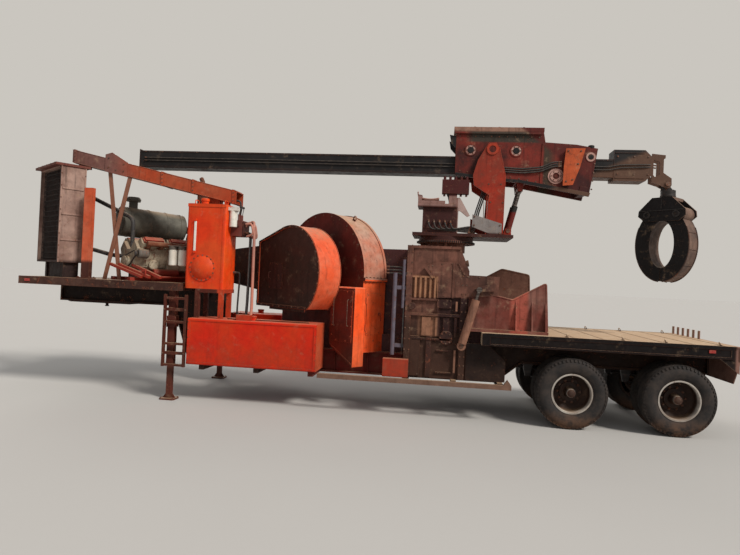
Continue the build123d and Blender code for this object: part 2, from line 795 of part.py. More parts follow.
wall_outer_y = works_half_width - works_wall
wall_inner_y = wall_outer_y - works_wall
rib_outer_y = works_half_width + 20.0
with BuildPart() as feed_frame:
    for side in (-1, 1):
        wall = pair(wall_inner_y, wall_outer_y)[0 if side > 0 else 1]
        rib = pair(wall_outer_y, rib_outer_y)[0 if side > 0 else 1]
        side_plate([
            (works_x_low, works_bottom_z),
            (works_x_high, works_bottom_z),
            (works_x_high, works_wall_top_z - 330),
            (works_x_high - 140, works_wall_top_z),
            (works_x_low, works_wall_top_z),
        ], *wall)
        for x, top_z in (
            (works_x_low + 50, works_wall_top_z),
            (works_x_high - 70, works_wall_top_z - 340),
        ):
            block(x - 45, x + 45, *rib, works_bottom_z, top_z)
        for x_high, low_z, high_z in ((works_x_high, 1560, 1600), (1399.0, 1800, 1830), (1385.0, 2150, 2180)):
            block(works_x_low, x_high, *rib, low_z, high_z)
        for x_low, x_high, low_z, high_z in wall_plates:
            block(x_low, x_high, *pair(wall_outer_y, rib_outer_y - 16)[0 if side > 0 else 1], low_z, high_z)
        side_plate(cover_outline, *rib)
        bar((yoke_pivot_x, rib[0], yoke_pivot_z), (yoke_pivot_x, rib[1], yoke_pivot_z),
            yoke_pin_r + side_gap, Mode.SUBTRACT)
        for start, end, width in cover_ribs:
            side_plate(strip(start, end, width), *pair(rib_outer_y, rib_outer_y + 12)[0 if side > 0 else 1])
        for first_x, last_x, pitch, low_z, high_z in rib_rows:
            for index in range(round((last_x - first_x) / pitch) + 1):
                x = first_x + index * pitch
                block(x - 16, x + 16, *rib, low_z, high_z)
        pin_low, pin_high = pair(rib_outer_y, feed_cylinder_y + 25)[0 if side > 0 else 1]
        bar((feed_base_x, pin_low, feed_base_z), (feed_base_x, pin_high, feed_base_z), feed_pin_r)
    block(works_x_low, works_x_low + works_wall, -wall_inner_y, wall_inner_y, drop_top_z, works_wall_top_z)
    block(works_x_low, works_x_low + works_wall, -throat_half_width + throat_wall, throat_half_width - throat_wall,
          throat_bottom_z + throat_wall, throat_top_z - throat_wall, Mode.SUBTRACT)
    block(works_x_low + works_wall, works_x_high, -wall_inner_y, wall_inner_y, drop_top_z, drop_top_z + 30)
    for y_low, y_high in pair(roll_half_length + 20, roll_half_length + 80):
        block(lower_roll_x - 160, lower_roll_x + 160, y_low, y_high, drop_top_z + 30, lower_roll_z + 90)
        bar((lower_roll_x, y_low, lower_roll_z), (lower_roll_x, y_high, lower_roll_z), roll_bore_r, Mode.SUBTRACT)
feed_frame.part.label = "feed_frame"


def feed_roll(centre_x, centre_z, radius, name):
    """Roll with raised bars along its length and stub shafts at its ends."""
    with BuildPart() as roll:
        core_r = radius - roll_bar
        bar((centre_x, -roll_half_length, centre_z), (centre_x, roll_half_length, centre_z), core_r)
        bar((centre_x, -roll_half_length - 70, centre_z), (centre_x, roll_half_length + 70, centre_z), roll_stub_r)
        roll_plane = Plane(origin=(centre_x, roll_half_length - roll_end, centre_z), x_dir=(1, 0, 0), z_dir=(0, -1, 0))
        with BuildSketch(roll_plane) as tooth_bars:
            with PolarLocations(core_r + roll_bar / 2 - 4, roll_bars):
                Rectangle(roll_bar + 8, roll_bar)
        extrude(tooth_bars.sketch, amount=2 * (roll_half_length - roll_end))
    roll.part.label = name
    return roll


lower_feed_roll = feed_roll(lower_roll_x, lower_roll_z, lower_roll_r, "lower_feed_roll")
upper_feed_roll = feed_roll(upper_roll_x, upper_roll_z, upper_roll_r, "upper_feed_roll")

# Yoke of the upper roll: two cheeks on a cross tube, which turns on pins in the trough's posts
with BuildPart() as feed_yoke:
    for y_low, y_high in pair(yoke_cheek_y - yoke_cheek / 2, yoke_cheek_y + yoke_cheek / 2):
        side_plate([
            (upper_roll_x - 120, upper_roll_z - 110),
            (upper_roll_x + 130, upper_roll_z - 110),
            (yoke_pivot_x + 90, yoke_pivot_z - 90),
            (yoke_pivot_x + 90, yoke_pivot_z + 90),
            (yoke_pivot_x - 200, yoke_pivot_z + 110),
            (upper_roll_x - 120, upper_roll_z + 190),
        ], y_low, y_high)
        bar((upper_roll_x, y_low, upper_roll_z), (upper_roll_x, y_high, upper_roll_z), roll_bore_r, Mode.SUBTRACT)
    cheek_inner = yoke_cheek_y - yoke_cheek / 2
    bar((yoke_pivot_x, -cheek_inner, yoke_pivot_z), (yoke_pivot_x, cheek_inner, yoke_pivot_z), 70)
    cheek_outer = yoke_cheek_y + yoke_cheek / 2
    crank_low = feed_cylinder_y - 56
    for side in (-1, 1):
        y_low, y_high = pair(cheek_outer, crank_low + crank_plate)[0 if side > 0 else 1]
        bar((yoke_pivot_x, y_low, yoke_pivot_z), (yoke_pivot_x, y_high, yoke_pivot_z), yoke_pin_r)
        y_low, y_high = pair(crank_low, crank_low + crank_plate)[0 if side > 0 else 1]
        side_plate([
            (yoke_pivot_x + 60, yoke_pivot_z - 60),
            (yoke_pivot_x + 60, yoke_pivot_z + 60),
            (crank_x - 30, crank_z + 42),
            (crank_x - 45, crank_z - 36),
        ], y_low, y_high)
        y_low, y_high = pair(crank_low + crank_plate, feed_cylinder_y - eye_half - side_gap)[0 if side > 0 else 1]
        bar((crank_x, y_low, crank_z), (crank_x, y_high, crank_z), feed_pin_r + 10)
feed_yoke.part.label = "feed_yoke"


def cylinder_barrels(name, base, head, across_y, half_eye, pin_r, tube_r, rod_r, reach):
    """Pair of cylinder barrels from their base eyes towards their rods' eyes; reach is start, bore, end."""
    base = Vector(*base)
    heading = (Vector(*head) - base).normalized()
    tube_start, bore_start, tube_end = reach
    with BuildPart() as barrels:
        for side in (-1, 1):
            shift = Vector(0, side * across_y, 0)
            bar(base + shift + heading * tube_start, base + shift + heading * tube_end, tube_r)
            eye_low, eye_high = side * across_y - half_eye, side * across_y + half_eye
            bar((base.X, eye_low, base.Z), (base.X, eye_high, base.Z), tube_r + eye_collar)
            bore_half = max(half_eye, tube_r) + 1
            bar((base.X, side * across_y - bore_half, base.Z), (base.X, side * across_y + bore_half, base.Z),
                pin_r + pin_clearance, Mode.SUBTRACT)
            bar(base + shift + heading * bore_start, base + shift + heading * (tube_end + 1),
                rod_r + pin_clearance, Mode.SUBTRACT)
    barrels.part.label = name
    return barrels


def cylinder_rods(name, base, head, across_y, half_eye, pin_r, rod_r, start):
    """Pair of rods from inside their barrels to the eyes, each with its own pin ends between the driven lugs."""
    base = Vector(*base)
    head = Vector(*head)
    heading = (head - base).normalized()
    with BuildPart() as rods:
        for side in (-1, 1):
            shift = Vector(0, side * across_y, 0)
            bar(base + shift + heading * start, head + shift - heading * (pin_r + 8), rod_r)
            eye_low, eye_high = side * across_y - half_eye, side * across_y + half_eye
            bar((head.X, eye_low, head.Z), (head.X, eye_high, head.Z), pin_r + 20)
            bar((head.X, eye_low - pin_end, head.Z), (head.X, eye_high + pin_end, head.Z), pin_r)
    rods.part.label = name
    return rods


feed_base = (feed_base_x, 0, feed_base_z)
feed_head = (crank_x, 0, crank_z)
feed_barrels = cylinder_barrels("feed_barrels", feed_base, feed_head, feed_cylinder_y, eye_half, feed_pin_r,
                                62, 26, (40, 110, 740))
feed_rods = cylinder_rods("feed_rods", feed_base, feed_head, feed_cylinder_y, eye_half, feed_pin_r, 26, 430)

# Infeed trough: floor, posts that hold the yoke's pins, flared sides with ribs
post_low = yoke_cheek_y + yoke_cheek / 2 + side_gap
with BuildPart() as infeed_trough:
    block(works_x_high, trough_rear_x, -trough_half_width, trough_half_width, deck_top_z, trough_floor_top_z)
    for y_low, y_high in pair(post_low, post_low + 60):
        side_plate([
            (yoke_pivot_x - 170, trough_floor_top_z),
            (yoke_pivot_x + 150, trough_floor_top_z),
            (yoke_pivot_x + 100, yoke_pivot_z + 120),
            (yoke_pivot_x - 100, yoke_pivot_z + 120),
        ], y_low, y_high)
        bar((yoke_pivot_x, y_low, yoke_pivot_z), (yoke_pivot_x, y_high, yoke_pivot_z), yoke_pin_r + 0.05,
            Mode.SUBTRACT)
    for side, rear_top_z, middle_top_z in ((-1, 2140.0, 1860.0), (1, 2300.0, 2390.0)):
        y_low, y_high = pair(trough_half_width - trough_wall, trough_half_width)[0 if side > 0 else 1]
        side_plate([
            (works_x_high + 10, trough_floor_top_z),
            (trough_rear_x, trough_floor_top_z),
            (trough_rear_x - 45, rear_top_z),
            (2560.0, middle_top_z),
            (works_x_high + 10, 2000.0),
        ], y_low, y_high)
        bar((yoke_pivot_x, y_low, yoke_pivot_z), (yoke_pivot_x, y_high, yoke_pivot_z), yoke_pin_r + side_gap,
            Mode.SUBTRACT)
        rib_y = side * trough_half_width
        shelf_y = rib_y + side * trough_shelf
        for x in (2620.0, 2860.0, trough_rear_x - 34):
            cross_plate([(rib_y, trough_floor_top_z), (shelf_y, trough_floor_top_z), (rib_y, 1860.0)], x - 12, x + 12)
        block(works_x_high + 10, trough_rear_x, min(rib_y, shelf_y), max(rib_y, shelf_y),
              deck_top_z, trough_floor_top_z)
infeed_trough.part.label = "infeed_trough"

# Rear deck: plate, edge channels, joists, and studs along the tail's far half
deck_recess = 8.0
tail_studs = 6
tail_stud_x = 5690.0
tail_stud_first_y = 1100.0
tail_stud_pitch = 210.0
tail_stud_r = 20.0
tail_stud_top_z = 1490.0
with BuildPart() as rear_deck:
    block(deck_front_x, deck_rear_x, -trailer_half_width, trailer_half_width, deck_bottom_z, deck_top_z)
    block(deck_front_x - 1, deck_rear_x + 1, -trailer_half_width + deck_edge, trailer_half_width - deck_edge,
          deck_bottom_z, deck_top_z - deck_plate, Mode.SUBTRACT)
    joist_x = [deck_front_x + 40, 2800.0, 3450.0, 4200.0, 4950.0, deck_rear_x - 40]
    for x in joist_x:
        block(x - 40, x + 40, -trailer_half_width + deck_edge, trailer_half_width - deck_edge,
              deck_bottom_z, deck_top_z - deck_plate)
    for y_low, y_high in pair(trailer_half_width - deck_recess, trailer_half_width):
        block(deck_front_x + 120, deck_rear_x - 40, y_low, y_high, deck_bottom_z + 26, deck_top_z - 50, Mode.SUBTRACT)
    cross_plate([
        (-trailer_half_width, deck_bottom_z),
        (-trailer_half_width + 200, apron_bottom_z),
        (trailer_half_width - 200, apron_bottom_z),
        (trailer_half_width, deck_bottom_z),
        (trailer_half_width, deck_top_z),
        (-trailer_half_width, deck_top_z),
    ], apron_rear_x - apron_plate, apron_rear_x)
    block(deck_rear_x, apron_rear_x - apron_plate, -trailer_half_width, trailer_half_width,
          deck_top_z - deck_plate, deck_top_z)
    for y_low, y_high in pair(trailer_half_width - 34, trailer_half_width - 20):
        side_plate([
            (deck_rear_x, deck_top_z - deck_plate),
            (apron_rear_x - apron_plate, deck_top_z - deck_plate),
            (apron_rear_x - apron_plate, apron_bottom_z + 160),
            (apron_front_x, deck_bottom_z),
            (deck_rear_x, deck_bottom_z),
        ], y_low, y_high)
    for index in range(tail_studs):
        y = tail_stud_first_y - index * tail_stud_pitch
        bar((tail_stud_x, y, deck_top_z), (tail_stud_x, y, tail_stud_top_z), tail_stud_r)
rear_deck.part.label = "rear_deck"

# Round tail lamps on the apron and marker lamps on both sides
lamp_r = 52.0
lamp_depth = 24.0
lamp_z = 1060.0
lamp_y = [800.0, 940.0]
marker_half = 45.0
marker_depth = 12.0
markers = [
    # x, z, seat's distance from the middle
    (5351.0, 1270.0, trailer_half_width - deck_recess),
    (engine_deck_front_x + 160.0, goose_top_z - 45.0, trailer_half_width),
]
with BuildPart() as lamps:
    for across_y in lamp_y:
        for y in (-across_y, across_y):
            bar((apron_rear_x, y, lamp_z), (apron_rear_x + lamp_depth, y, lamp_z), lamp_r)
    for x, z, seat_y in markers:
        for y_low, y_high in pair(seat_y, seat_y + marker_depth):
            block(x - marker_half, x + marker_half, y_low, y_high, z - marker_half / 2, z + marker_half / 2)
lamps.part.label = "lamps"

# Sills on the outriggers' ends and panels between feed works and wheels
sill_rear_x = 2560.0
with BuildPart() as side_skirts:
    for y_low, y_high in pair(outrigger_reach, trailer_half_width - 5):
        block(side_tank_x_high + 30, sill_rear_x, y_low, y_high, drop_bottom_z, outrigger_top_z - 10)
        side_plate([(sill_rear_x - 120, outrigger_top_z - 10), (sill_rear_x, outrigger_top_z - 10),
                    (sill_rear_x - 60, outrigger_top_z + 70)],
                   y_low, y_high)
    for y_low, y_high in pair(wall_outer_y, wall_outer_y + 20):
        side_plate([
            (works_x_high, outrigger_top_z),
            (2480.0, outrigger_top_z),
            (2480.0, deck_bottom_z - 250),
            (2200.0, deck_bottom_z),
            (works_x_high, deck_bottom_z),
        ], y_low, y_high)
side_skirts.part.label = "side_skirts"


# Round axle beams with spindles and spring seats
with BuildPart() as axles:
    for x in axle_x:
        bar((x, -axle_shoulder_y, wheel_r), (x, axle_shoulder_y, wheel_r), axle_r)
        bar((x, -spindle_end_y, wheel_r), (x, spindle_end_y, wheel_r), spindle_r)
        for side in (-1, 1):
            seat_y = side * spring_y
            block(x - 85, x + 85, seat_y - 45, seat_y + 45, wheel_r, wheel_r + axle_r + 15)
axles.part.label = "axles"

# Leaf spring packs with hangers under the rails
with BuildPart() as springs:
    pack_bottom_z = wheel_r + axle_r + 15
    leaf_count = 5
    pack_top_z = pack_bottom_z + leaf_count * spring_leaf
    for x in axle_x:
        for y_low, y_high in pair(spring_y - spring_width / 2, spring_y + spring_width / 2):
            for leaf in range(leaf_count):
                half = spring_span / 2 * (0.3 + 0.175 * leaf)
                level = pack_bottom_z + leaf * spring_leaf
                block(x - half, x + half, y_low, y_high, level, level + spring_leaf)
            for end in (-1, 1):
                hanger_x = x + end * (spring_span / 2 - 40)
                side_plate([
                    (hanger_x - 40, pack_top_z),
                    (hanger_x + 40, pack_top_z),
                    (hanger_x + 80, rear_rail_bottom_z),
                    (hanger_x - 80, rear_rail_bottom_z),
                ], y_low + 8, y_high - 8)
springs.part.label = "springs"

# Twin wheels
tyre_half = tyre_width / 2
tyre_outline = [
    (-tyre_half * 0.76, rim_r + 8),
    (-tyre_half * 0.93, rim_r + 60),
    (-tyre_half, rim_r + 115),
    (-tyre_half * 0.94, wheel_r - 38),
    (-tyre_half * 0.80, wheel_r - 6),
    (0, wheel_r),
    (tyre_half * 0.80, wheel_r - 6),
    (tyre_half * 0.94, wheel_r - 38),
    (tyre_half, rim_r + 115),
    (tyre_half * 0.93, rim_r + 60),
    (tyre_half * 0.76, rim_r + 8),
]


def tyre_pair(x, side, name):
    """Two tyres side by side on one hub."""
    with BuildPart() as tyres:
        for centre_y in (tyre_outer_y, tyre_inner_y):
            turned([(side * centre_y + y, r) for y, r in tyre_outline], x, wheel_r)
    tyres.part.label = name
    return tyres


def rim_pair(x, side, name):
    """Two dished rims back to back, with hub and brake drum."""
    with BuildPart() as rims:
        outer = tyre_outer_y
        inner = tyre_inner_y
        lip = rim_half_width
        middle = (outer + inner) / 2
        section = [
            # y, radius: outer rim, its disc, inner rim
            (outer + lip, rim_r - rim_wall), (outer + lip, rim_r + 7.5), (outer + lip - 12, rim_r + 7.5),
            (outer + lip - 24, rim_r - 2), (outer - lip, rim_r - 2), (outer - lip, rim_r - rim_wall),
            (middle + 60, rim_r - rim_wall - 10), (middle + 9, rim_r - 90), (middle + 9, hub_r),
            (middle - 9, hub_r), (middle - 9, rim_r - 90), (middle - 60, rim_r - rim_wall - 10),
            (inner + lip, rim_r - rim_wall), (inner + lip, rim_r - 2), (inner - lip + 24, rim_r - 2),
            (inner - lip + 12, rim_r + 7.5), (inner - lip, rim_r + 7.5), (inner - lip, rim_r - rim_wall - 8),
            (middle - 70, rim_r - rim_wall - 22), (middle - 22, rim_r - 96), (middle - 22, hub_r - 20),
            (middle + 22, hub_r - 20), (middle + 22, rim_r - 96), (middle + 70, rim_r - rim_wall - 22),
            (outer - lip + 30, rim_r - rim_wall - 8), (outer + lip - 20, rim_r - rim_wall - 8),
        ]
        turned([(side * y, r) for y, r in section], x, wheel_r)
        hub = [
            (hub_face_y, spindle_r + 1 - 40), (hub_face_y, 62), (hub_face_y - 60, 70), (middle + 60, 84),
            (middle + 60, hub_r + 22), (middle + 22, hub_r + 22), (middle + 22, hub_r - 24),
            (middle - 22, hub_r - 24), (middle - 22, drum_r), (drum_inner_y, drum_r),
            (drum_inner_y, drum_r - 30), (middle - 60, drum_r - 30), (middle - 60, spindle_r + 0.05),
            (spindle_end_y + 8, spindle_r + 0.05), (spindle_end_y + 8, spindle_r - 39),
        ]
        turned([(side * y, r) for y, r in hub], x, wheel_r)
    rims.part.label = name
    return rims


wheel_names = [
    # axle number, side, name
    (0, -1, "front_left"),
    (0, 1, "front_right"),
    (1, -1, "rear_left"),
    (1, 1, "rear_right"),
]
wheel_parts = []
for axle_number, side, place in wheel_names:
    wheel_parts.append(tyre_pair(axle_x[axle_number], side, "tyres_" + place))
    wheel_parts.append(rim_pair(axle_x[axle_number], side, "rims_" + place))

# Cooler at the front corner: an open-ended shroud, a finned core, a roof and feet
cooler_origin = Vector(cooler_corner_x, cooler_corner_y, 0)
cooler_p_high = cooler_origin.dot(across)
cooler_a_low = cooler_origin.dot(along)
cooler_p_low = cooler_p_high - cooler_width
cooler_a_high = cooler_a_low + cooler_depth
cooler_p_mid = (cooler_p_low + cooler_p_high) / 2
cooler_z_mid = (cooler_bottom_z + cooler_top_z) / 2
core_depth = 120.0
fan_a_mid = cooler_a_high - 90
motor_near_a = fan_a_mid + 30 + side_gap

with BuildPart() as cooler_shroud:
    skew_block(cooler_p_low, cooler_p_high, cooler_a_low, cooler_a_high, cooler_bottom_z, cooler_top_z)
    skew_block(cooler_p_low + cooler_wall, cooler_p_high - cooler_wall, cooler_a_low - 1, cooler_a_high - 20,
               cooler_bottom_z + cooler_wall, cooler_top_z - cooler_wall, Mode.SUBTRACT)
    with BuildSketch(skew_plane(cooler_a_high)) as fan_hole:
        with Locations((cooler_p_mid, cooler_z_mid)):
            Circle(fan_r + 25)
    extrude(fan_hole.sketch, amount=30, mode=Mode.SUBTRACT)
    for p_low, p_high in ((cooler_p_low + 60, cooler_p_low + 140), (cooler_p_high - 140, cooler_p_high - 60)):
        skew_block(p_low, p_high, cooler_a_low + 120, cooler_a_low + 220, engine_deck_z, cooler_bottom_z)
    skew_block(cooler_p_low + 140, cooler_p_high - 140, cooler_a_low + 150, cooler_a_low + 162,
               engine_deck_z, cooler_bottom_z)
    skew_block(cooler_p_high - 80, cooler_p_high - 60, cooler_a_low + 220, cooler_a_high - 40,
               engine_deck_z, cooler_bottom_z)
    skew_block(cooler_p_low - 20, cooler_p_high + 20, cooler_a_low - cooler_roof_over,
               cooler_a_high + cooler_roof_tail, cooler_top_z, cooler_top_z + cooler_roof)
    skew_block(cooler_p_low + 40, cooler_p_high - 40, cooler_a_high, cooler_a_high + 50,
               cooler_z_mid - 35, cooler_z_mid + 35)
    with BuildSketch(skew_plane(cooler_a_high + 120)) as motor:
        with Locations((cooler_p_mid, cooler_z_mid)):
            Circle(70)
    extrude(motor.sketch, amount=cooler_a_high + 120 - motor_near_a)
    with BuildSketch(skew_plane(motor_near_a)) as motor_shaft:
        with Locations((cooler_p_mid, cooler_z_mid)):
            Circle(fan_shaft_r)
    extrude(motor_shaft.sketch, amount=motor_near_a - fan_a_mid)
cooler_shroud.part.label = "cooler_shroud"

with BuildPart() as cooler_core:
    core_a_low = cooler_a_low + 60
    skew_block(cooler_p_low + cooler_wall, cooler_p_high - cooler_wall, core_a_low + 30, core_a_low + core_depth,
               cooler_bottom_z + cooler_wall, cooler_top_z - cooler_wall)
    slat_pitch = 90.0
    slat_count = int((cooler_top_z - cooler_bottom_z - 2 * cooler_wall) / slat_pitch)
    for index in range(slat_count):
        level = cooler_bottom_z + cooler_wall + 40 + index * slat_pitch
        skew_block(cooler_p_low + cooler_wall, cooler_p_high - cooler_wall, core_a_low, core_a_low + 30,
                   level, level + 14)
cooler_core.part.label = "cooler_core"

# Fan with pitched blades on a bored hub
with BuildPart() as cooling_fan:
    with BuildSketch(skew_plane(fan_a_mid + 30)) as fan_hub:
        with Locations((cooler_p_mid, cooler_z_mid)):
            Circle(90)
    extrude(fan_hub.sketch, amount=60)
    hub_centre = skew_point(cooler_p_mid, fan_a_mid, cooler_z_mid)
    for index in range(fan_blades):
        angle = math.radians(index * 360.0 / fan_blades)
        outward = across * math.cos(angle) + Vector(0, 0, 1) * math.sin(angle)
        sideways = outward.cross(along)
        chord = sideways * math.cos(fan_pitch) + along * math.sin(fan_pitch)
        with BuildSketch(Plane(origin=hub_centre + outward * 60, x_dir=chord, z_dir=outward)) as blade:
            Rectangle(130, 7)
        extrude(blade.sketch, amount=fan_r - 60)
    with BuildSketch(skew_plane(fan_a_mid + 40)) as fan_bore:
        with Locations((cooler_p_mid, cooler_z_mid)):
            Circle(fan_shaft_r + pin_clearance)
    extrude(fan_bore.sketch, amount=80, mode=Mode.SUBTRACT)
cooling_fan.part.label = "cooling_fan"

# Engine: sump, crankcase, two banks of heads, flywheel housing, pulley
with BuildPart() as engine:
    sump_low_z = engine_deck_z + 55
    skew_block(engine_p - 190, engine_p + 190, engine_near_a + 120, engine_far_a - 200, sump_low_z,
               engine_crank_z - 60)
    skew_plate([
        (engine_p - 230, engine_crank_z - 60),
        (engine_p + 230, engine_crank_z - 60),
        (engine_p + 330, engine_crank_z + 250),
        (engine_p + 210, engine_crank_z + 380),
        (engine_p + 60, engine_crank_z + 240),
        (engine_p - 60, engine_crank_z + 240),
        (engine_p - 210, engine_crank_z + 380),
        (engine_p - 330, engine_crank_z + 250),
    ], engine_near_a, engine_far_a)
    for side in (-1, 1):
        for index in range(3):
            a_low = engine_near_a + 60 + index * 460
            skew_plate([
                (engine_p + side * 212, engine_crank_z + 370),
                (engine_p + side * 322, engine_crank_z + 252),
                (engine_p + side * 385, engine_crank_z + 330),
                (engine_p + side * 300, engine_crank_z + 430),
            ], a_low, a_low + 420)
    with BuildSketch(skew_plane(engine_far_a + 170)) as bell:
        with Locations((engine_p, engine_crank_z)):
            Circle(270)
    extrude(bell.sketch, amount=171)
    with BuildSketch(skew_plane(tunnel_near_a)) as clutch:
        with Locations((engine_p, engine_crank_z)):
            Circle(190)
    extrude(clutch.sketch, amount=tunnel_near_a - engine_far_a - 170)
    with BuildSketch(skew_plane(engine_near_a)) as pulley:
        with Locations((engine_p, engine_crank_z)):
            Circle(120)
    extrude(pulley.sketch, amount=80)
    for a_low in (engine_near_a + 30, engine_far_a - 60):
        skew_block(engine_p - 360, engine_p + 360, a_low, a_low + 90, engine_deck_z, engine_deck_z + 60)
engine.part.label = "engine"

# Air cleaner beside the engine, on two posts
air_start = (-4290.0, -330.0, 2930.0)
air_end = (-3540.0, 520.0, 2880.0)
air_r = 265.0
with BuildPart() as air_cleaner:
    bar(air_start, air_end, air_r)
    air_run = Vector(*air_end) - Vector(*air_start)
    for share in (0.2, 0.8):
        foot = Vector(*air_start) + air_run * share
        bar((foot.X, foot.Y, engine_deck_z), foot, 28)
        bar((foot.X, foot.Y, engine_deck_z), (foot.X, foot.Y, engine_deck_z + 12), 80)
air_cleaner.part.label = "air_cleaner"

# Spout: an open box duct that leans from the roof of the cooler down to the hydraulic tank
spout_slope = (spout_front_top_z - spout_rear_top_z) / (spout_front_x - spout_rear_x)


def spout_level(x):
    """Height of the spout's top edge at x."""
    return spout_rear_top_z + spout_slope * (x - spout_rear_x)


def under_spout(x):
    """Height of the spout's underside at x."""
    return spout_level(x) - spout_depth


cooler_roof_z = cooler_top_z + cooler_roof
saddles = [
    # x low, x high, z of the surface below
    (oil_tank_x_low + 150, oil_tank_x_low + 370, oil_tank_top_z),
    (spout_front_x + 60, spout_front_x + 210, cooler_roof_z),
]
with BuildPart() as discharge_spout:
    side_plate([
        (spout_front_x, under_spout(spout_front_x)),
        (spout_rear_x, under_spout(spout_rear_x)),
        (spout_rear_x, spout_level(spout_rear_x)),
        (spout_front_x, spout_level(spout_front_x)),
    ], spout_y - spout_half_width, spout_y + spout_half_width)
    for x_low, x_high, seat_z in saddles:
        side_plate([
            (x_low, seat_z), (x_high, seat_z), (x_high, under_spout(x_high) + 2), (x_low, under_spout(x_low) + 2),
        ], spout_y - 75, spout_y + 75)
    side_plate([
        (spout_front_x - 1, under_spout(spout_front_x) + spout_wall),
        (spout_rear_x + 1, under_spout(spout_rear_x) + spout_wall),
        (spout_rear_x + 1, spout_level(spout_rear_x) - spout_wall),
        (spout_front_x - 1, spout_level(spout_front_x) - spout_wall),
    ], spout_y - spout_half_width + spout_wall, spout_y + spout_half_width - spout_wall, Mode.SUBTRACT)
    side_plate([
        (doubler_x_low, under_spout(doubler_x_low) - 20),
        (doubler_x_high, under_spout(doubler_x_high) - 20),
        (doubler_x_high, spout_level(doubler_x_high) + 15),
        (doubler_x_low + 120, spout_level(doubler_x_low) + 95),
        (doubler_x_low, spout_level(doubler_x_low) + 60),
    ], spout_y - spout_half_width - 12, spout_y - spout_half_width)
discharge_spout.part.label = "discharge_spout"

# Post behind the cooler and the crossed legs that hold up the spout
with BuildPart() as front_frame:
    block(post_x - 75, post_x + 75, post_y - 40, post_y + 40, engine_deck_z + 20, 3400)
    block(post_x - 120, post_x + 120, post_y - 90, post_y + 90, engine_deck_z, engine_deck_z + 20)
    for foot_x, top_x, shift in ((-4270.0, -3890.0, -9.0), (-4010.0, -4270.0, 9.0)):
        leg_y_mid = spout_y - spout_half_width + 30 + shift
        side_plate([
            (foot_x - 35, engine_deck_z),
            (foot_x + 35, engine_deck_z),
            (top_x + 35, under_spout(top_x + 35)),
            (top_x - 35, under_spout(top_x - 35)),
        ], leg_y_mid - 8.5, leg_y_mid + 8.5)
front_frame.part.label = "front_frame"

# Small box on the sill in front of the feed works
with BuildPart() as tool_box:
    block(610.0, 1000.0, -outrigger_reach, -rib_outer_y - 10, outrigger_top_z, 880.0)
    fillet(tool_box.edges().filter_by(Axis.X), radius=12)
tool_box.part.label = "tool_box"

# Top plate of the feed works with the loader's pedestal and slewing ring
with BuildPart() as loader_pedestal:
    block(works_x_low, works_x_high - 140, -works_half_width, works_half_width, works_wall_top_z, works_top_z)
    for y in (-600.0, 0.0, 600.0):
        block(works_x_low + works_wall, works_x_high - 140, y - 20, y + 20, works_wall_top_z - 120, works_wall_top_z)
    bar((turret_x, 0, works_top_z - works_top_plate), (turret_x, 0, pedestal_top_z), pedestal_r)
    bar((turret_x, 0, pedestal_top_z - 40), (turret_x, 0, pedestal_top_z), ring_r)
    block(turret_x - 430, turret_x + 240, -20, 20, works_top_z, pedestal_top_z - 40)
    block(turret_x - 20, turret_x + 20, -430, 430, works_top_z, pedestal_top_z - 40)
loader_pedestal.part.label = "loader_pedestal"

# Turret: turntable, two uprights that carry the boom head, braces
turntable_low_z = ring_z + seat_gap
with BuildPart() as turret:
    bar((turret_x, 0, turntable_low_z), (turret_x, 0, turret_base_z), ring_r - 20)
    flat_plate([
        (turret_x - 560, -430), (turret_x + 480, -470), (lift_base_x + 60, -470), (lift_base_x + 60, 470),
        (turret_x + 480, 470), (turret_x - 560, 430),
    ], turret_base_z, turret_base_z + turret_plate)
    upright_low_z = turret_base_z + turret_plate
    for y_low, y_high in pair(upright_y_inner, upright_y_inner + upright_plate):
        side_plate([
            (head_pivot_x - 60, upright_low_z),
            (head_pivot_x + 220, upright_low_z),
            (head_pivot_x + 225, head_pivot_z - 430),
            (head_pivot_x + 110, head_pivot_z + 30),
            (head_pivot_x + 60, head_pivot_z + 110),
            (head_pivot_x - 60, head_pivot_z + 110),
            (head_pivot_x - 110, head_pivot_z + 30),
            (head_pivot_x - 232, head_pivot_z - 186),
            (head_pivot_x - 302, head_pivot_z - 437),
            (head_pivot_x - 280, head_pivot_z - 602),
            (head_pivot_x - 30, head_pivot_z - 761),
        ], y_low, y_high)
        bar((head_pivot_x, y_low, head_pivot_z), (head_pivot_x, y_high, head_pivot_z), head_pin_r + 0.05,
            Mode.SUBTRACT)
    for y_low, y_high in pair(upright_y_inner + upright_plate, upright_y_inner + upright_plate + skirt_plate):
        side_plate([
            (head_pivot_x - 283, upright_low_z + 331), (head_pivot_x + 200, upright_low_z + 190),
            (head_pivot_x + 200, upright_low_z), (head_pivot_x + 50, upright_low_z),
            (head_pivot_x - 283, upright_low_z + 125),
        ], y_low, y_high)
    block(head_pivot_x - 20, head_pivot_x + 30, -upright_y_inner, upright_y_inner, upright_low_z, upright_low_z + 610)
    for lug_y in (lift_y - lug_shift, lift_y + lug_shift):
        for y_low, y_high in pair(lug_y - lug_plate / 2, lug_y + lug_plate / 2):
            side_plate([
                (lift_base_x - 80, upright_low_z), (lift_base_x + 60, upright_low_z),
                (lift_base_x + 45, lift_base_z + 35), (lift_base_x - 45, lift_base_z + 35),
            ], y_low, y_high)
    lug_outer = lift_y + lug_shift + lug_plate / 2
    bar((lift_base_x, -lug_outer, lift_base_z), (lift_base_x, lug_outer, lift_base_z), lift_pin_r)
turret.part.label = "turret"

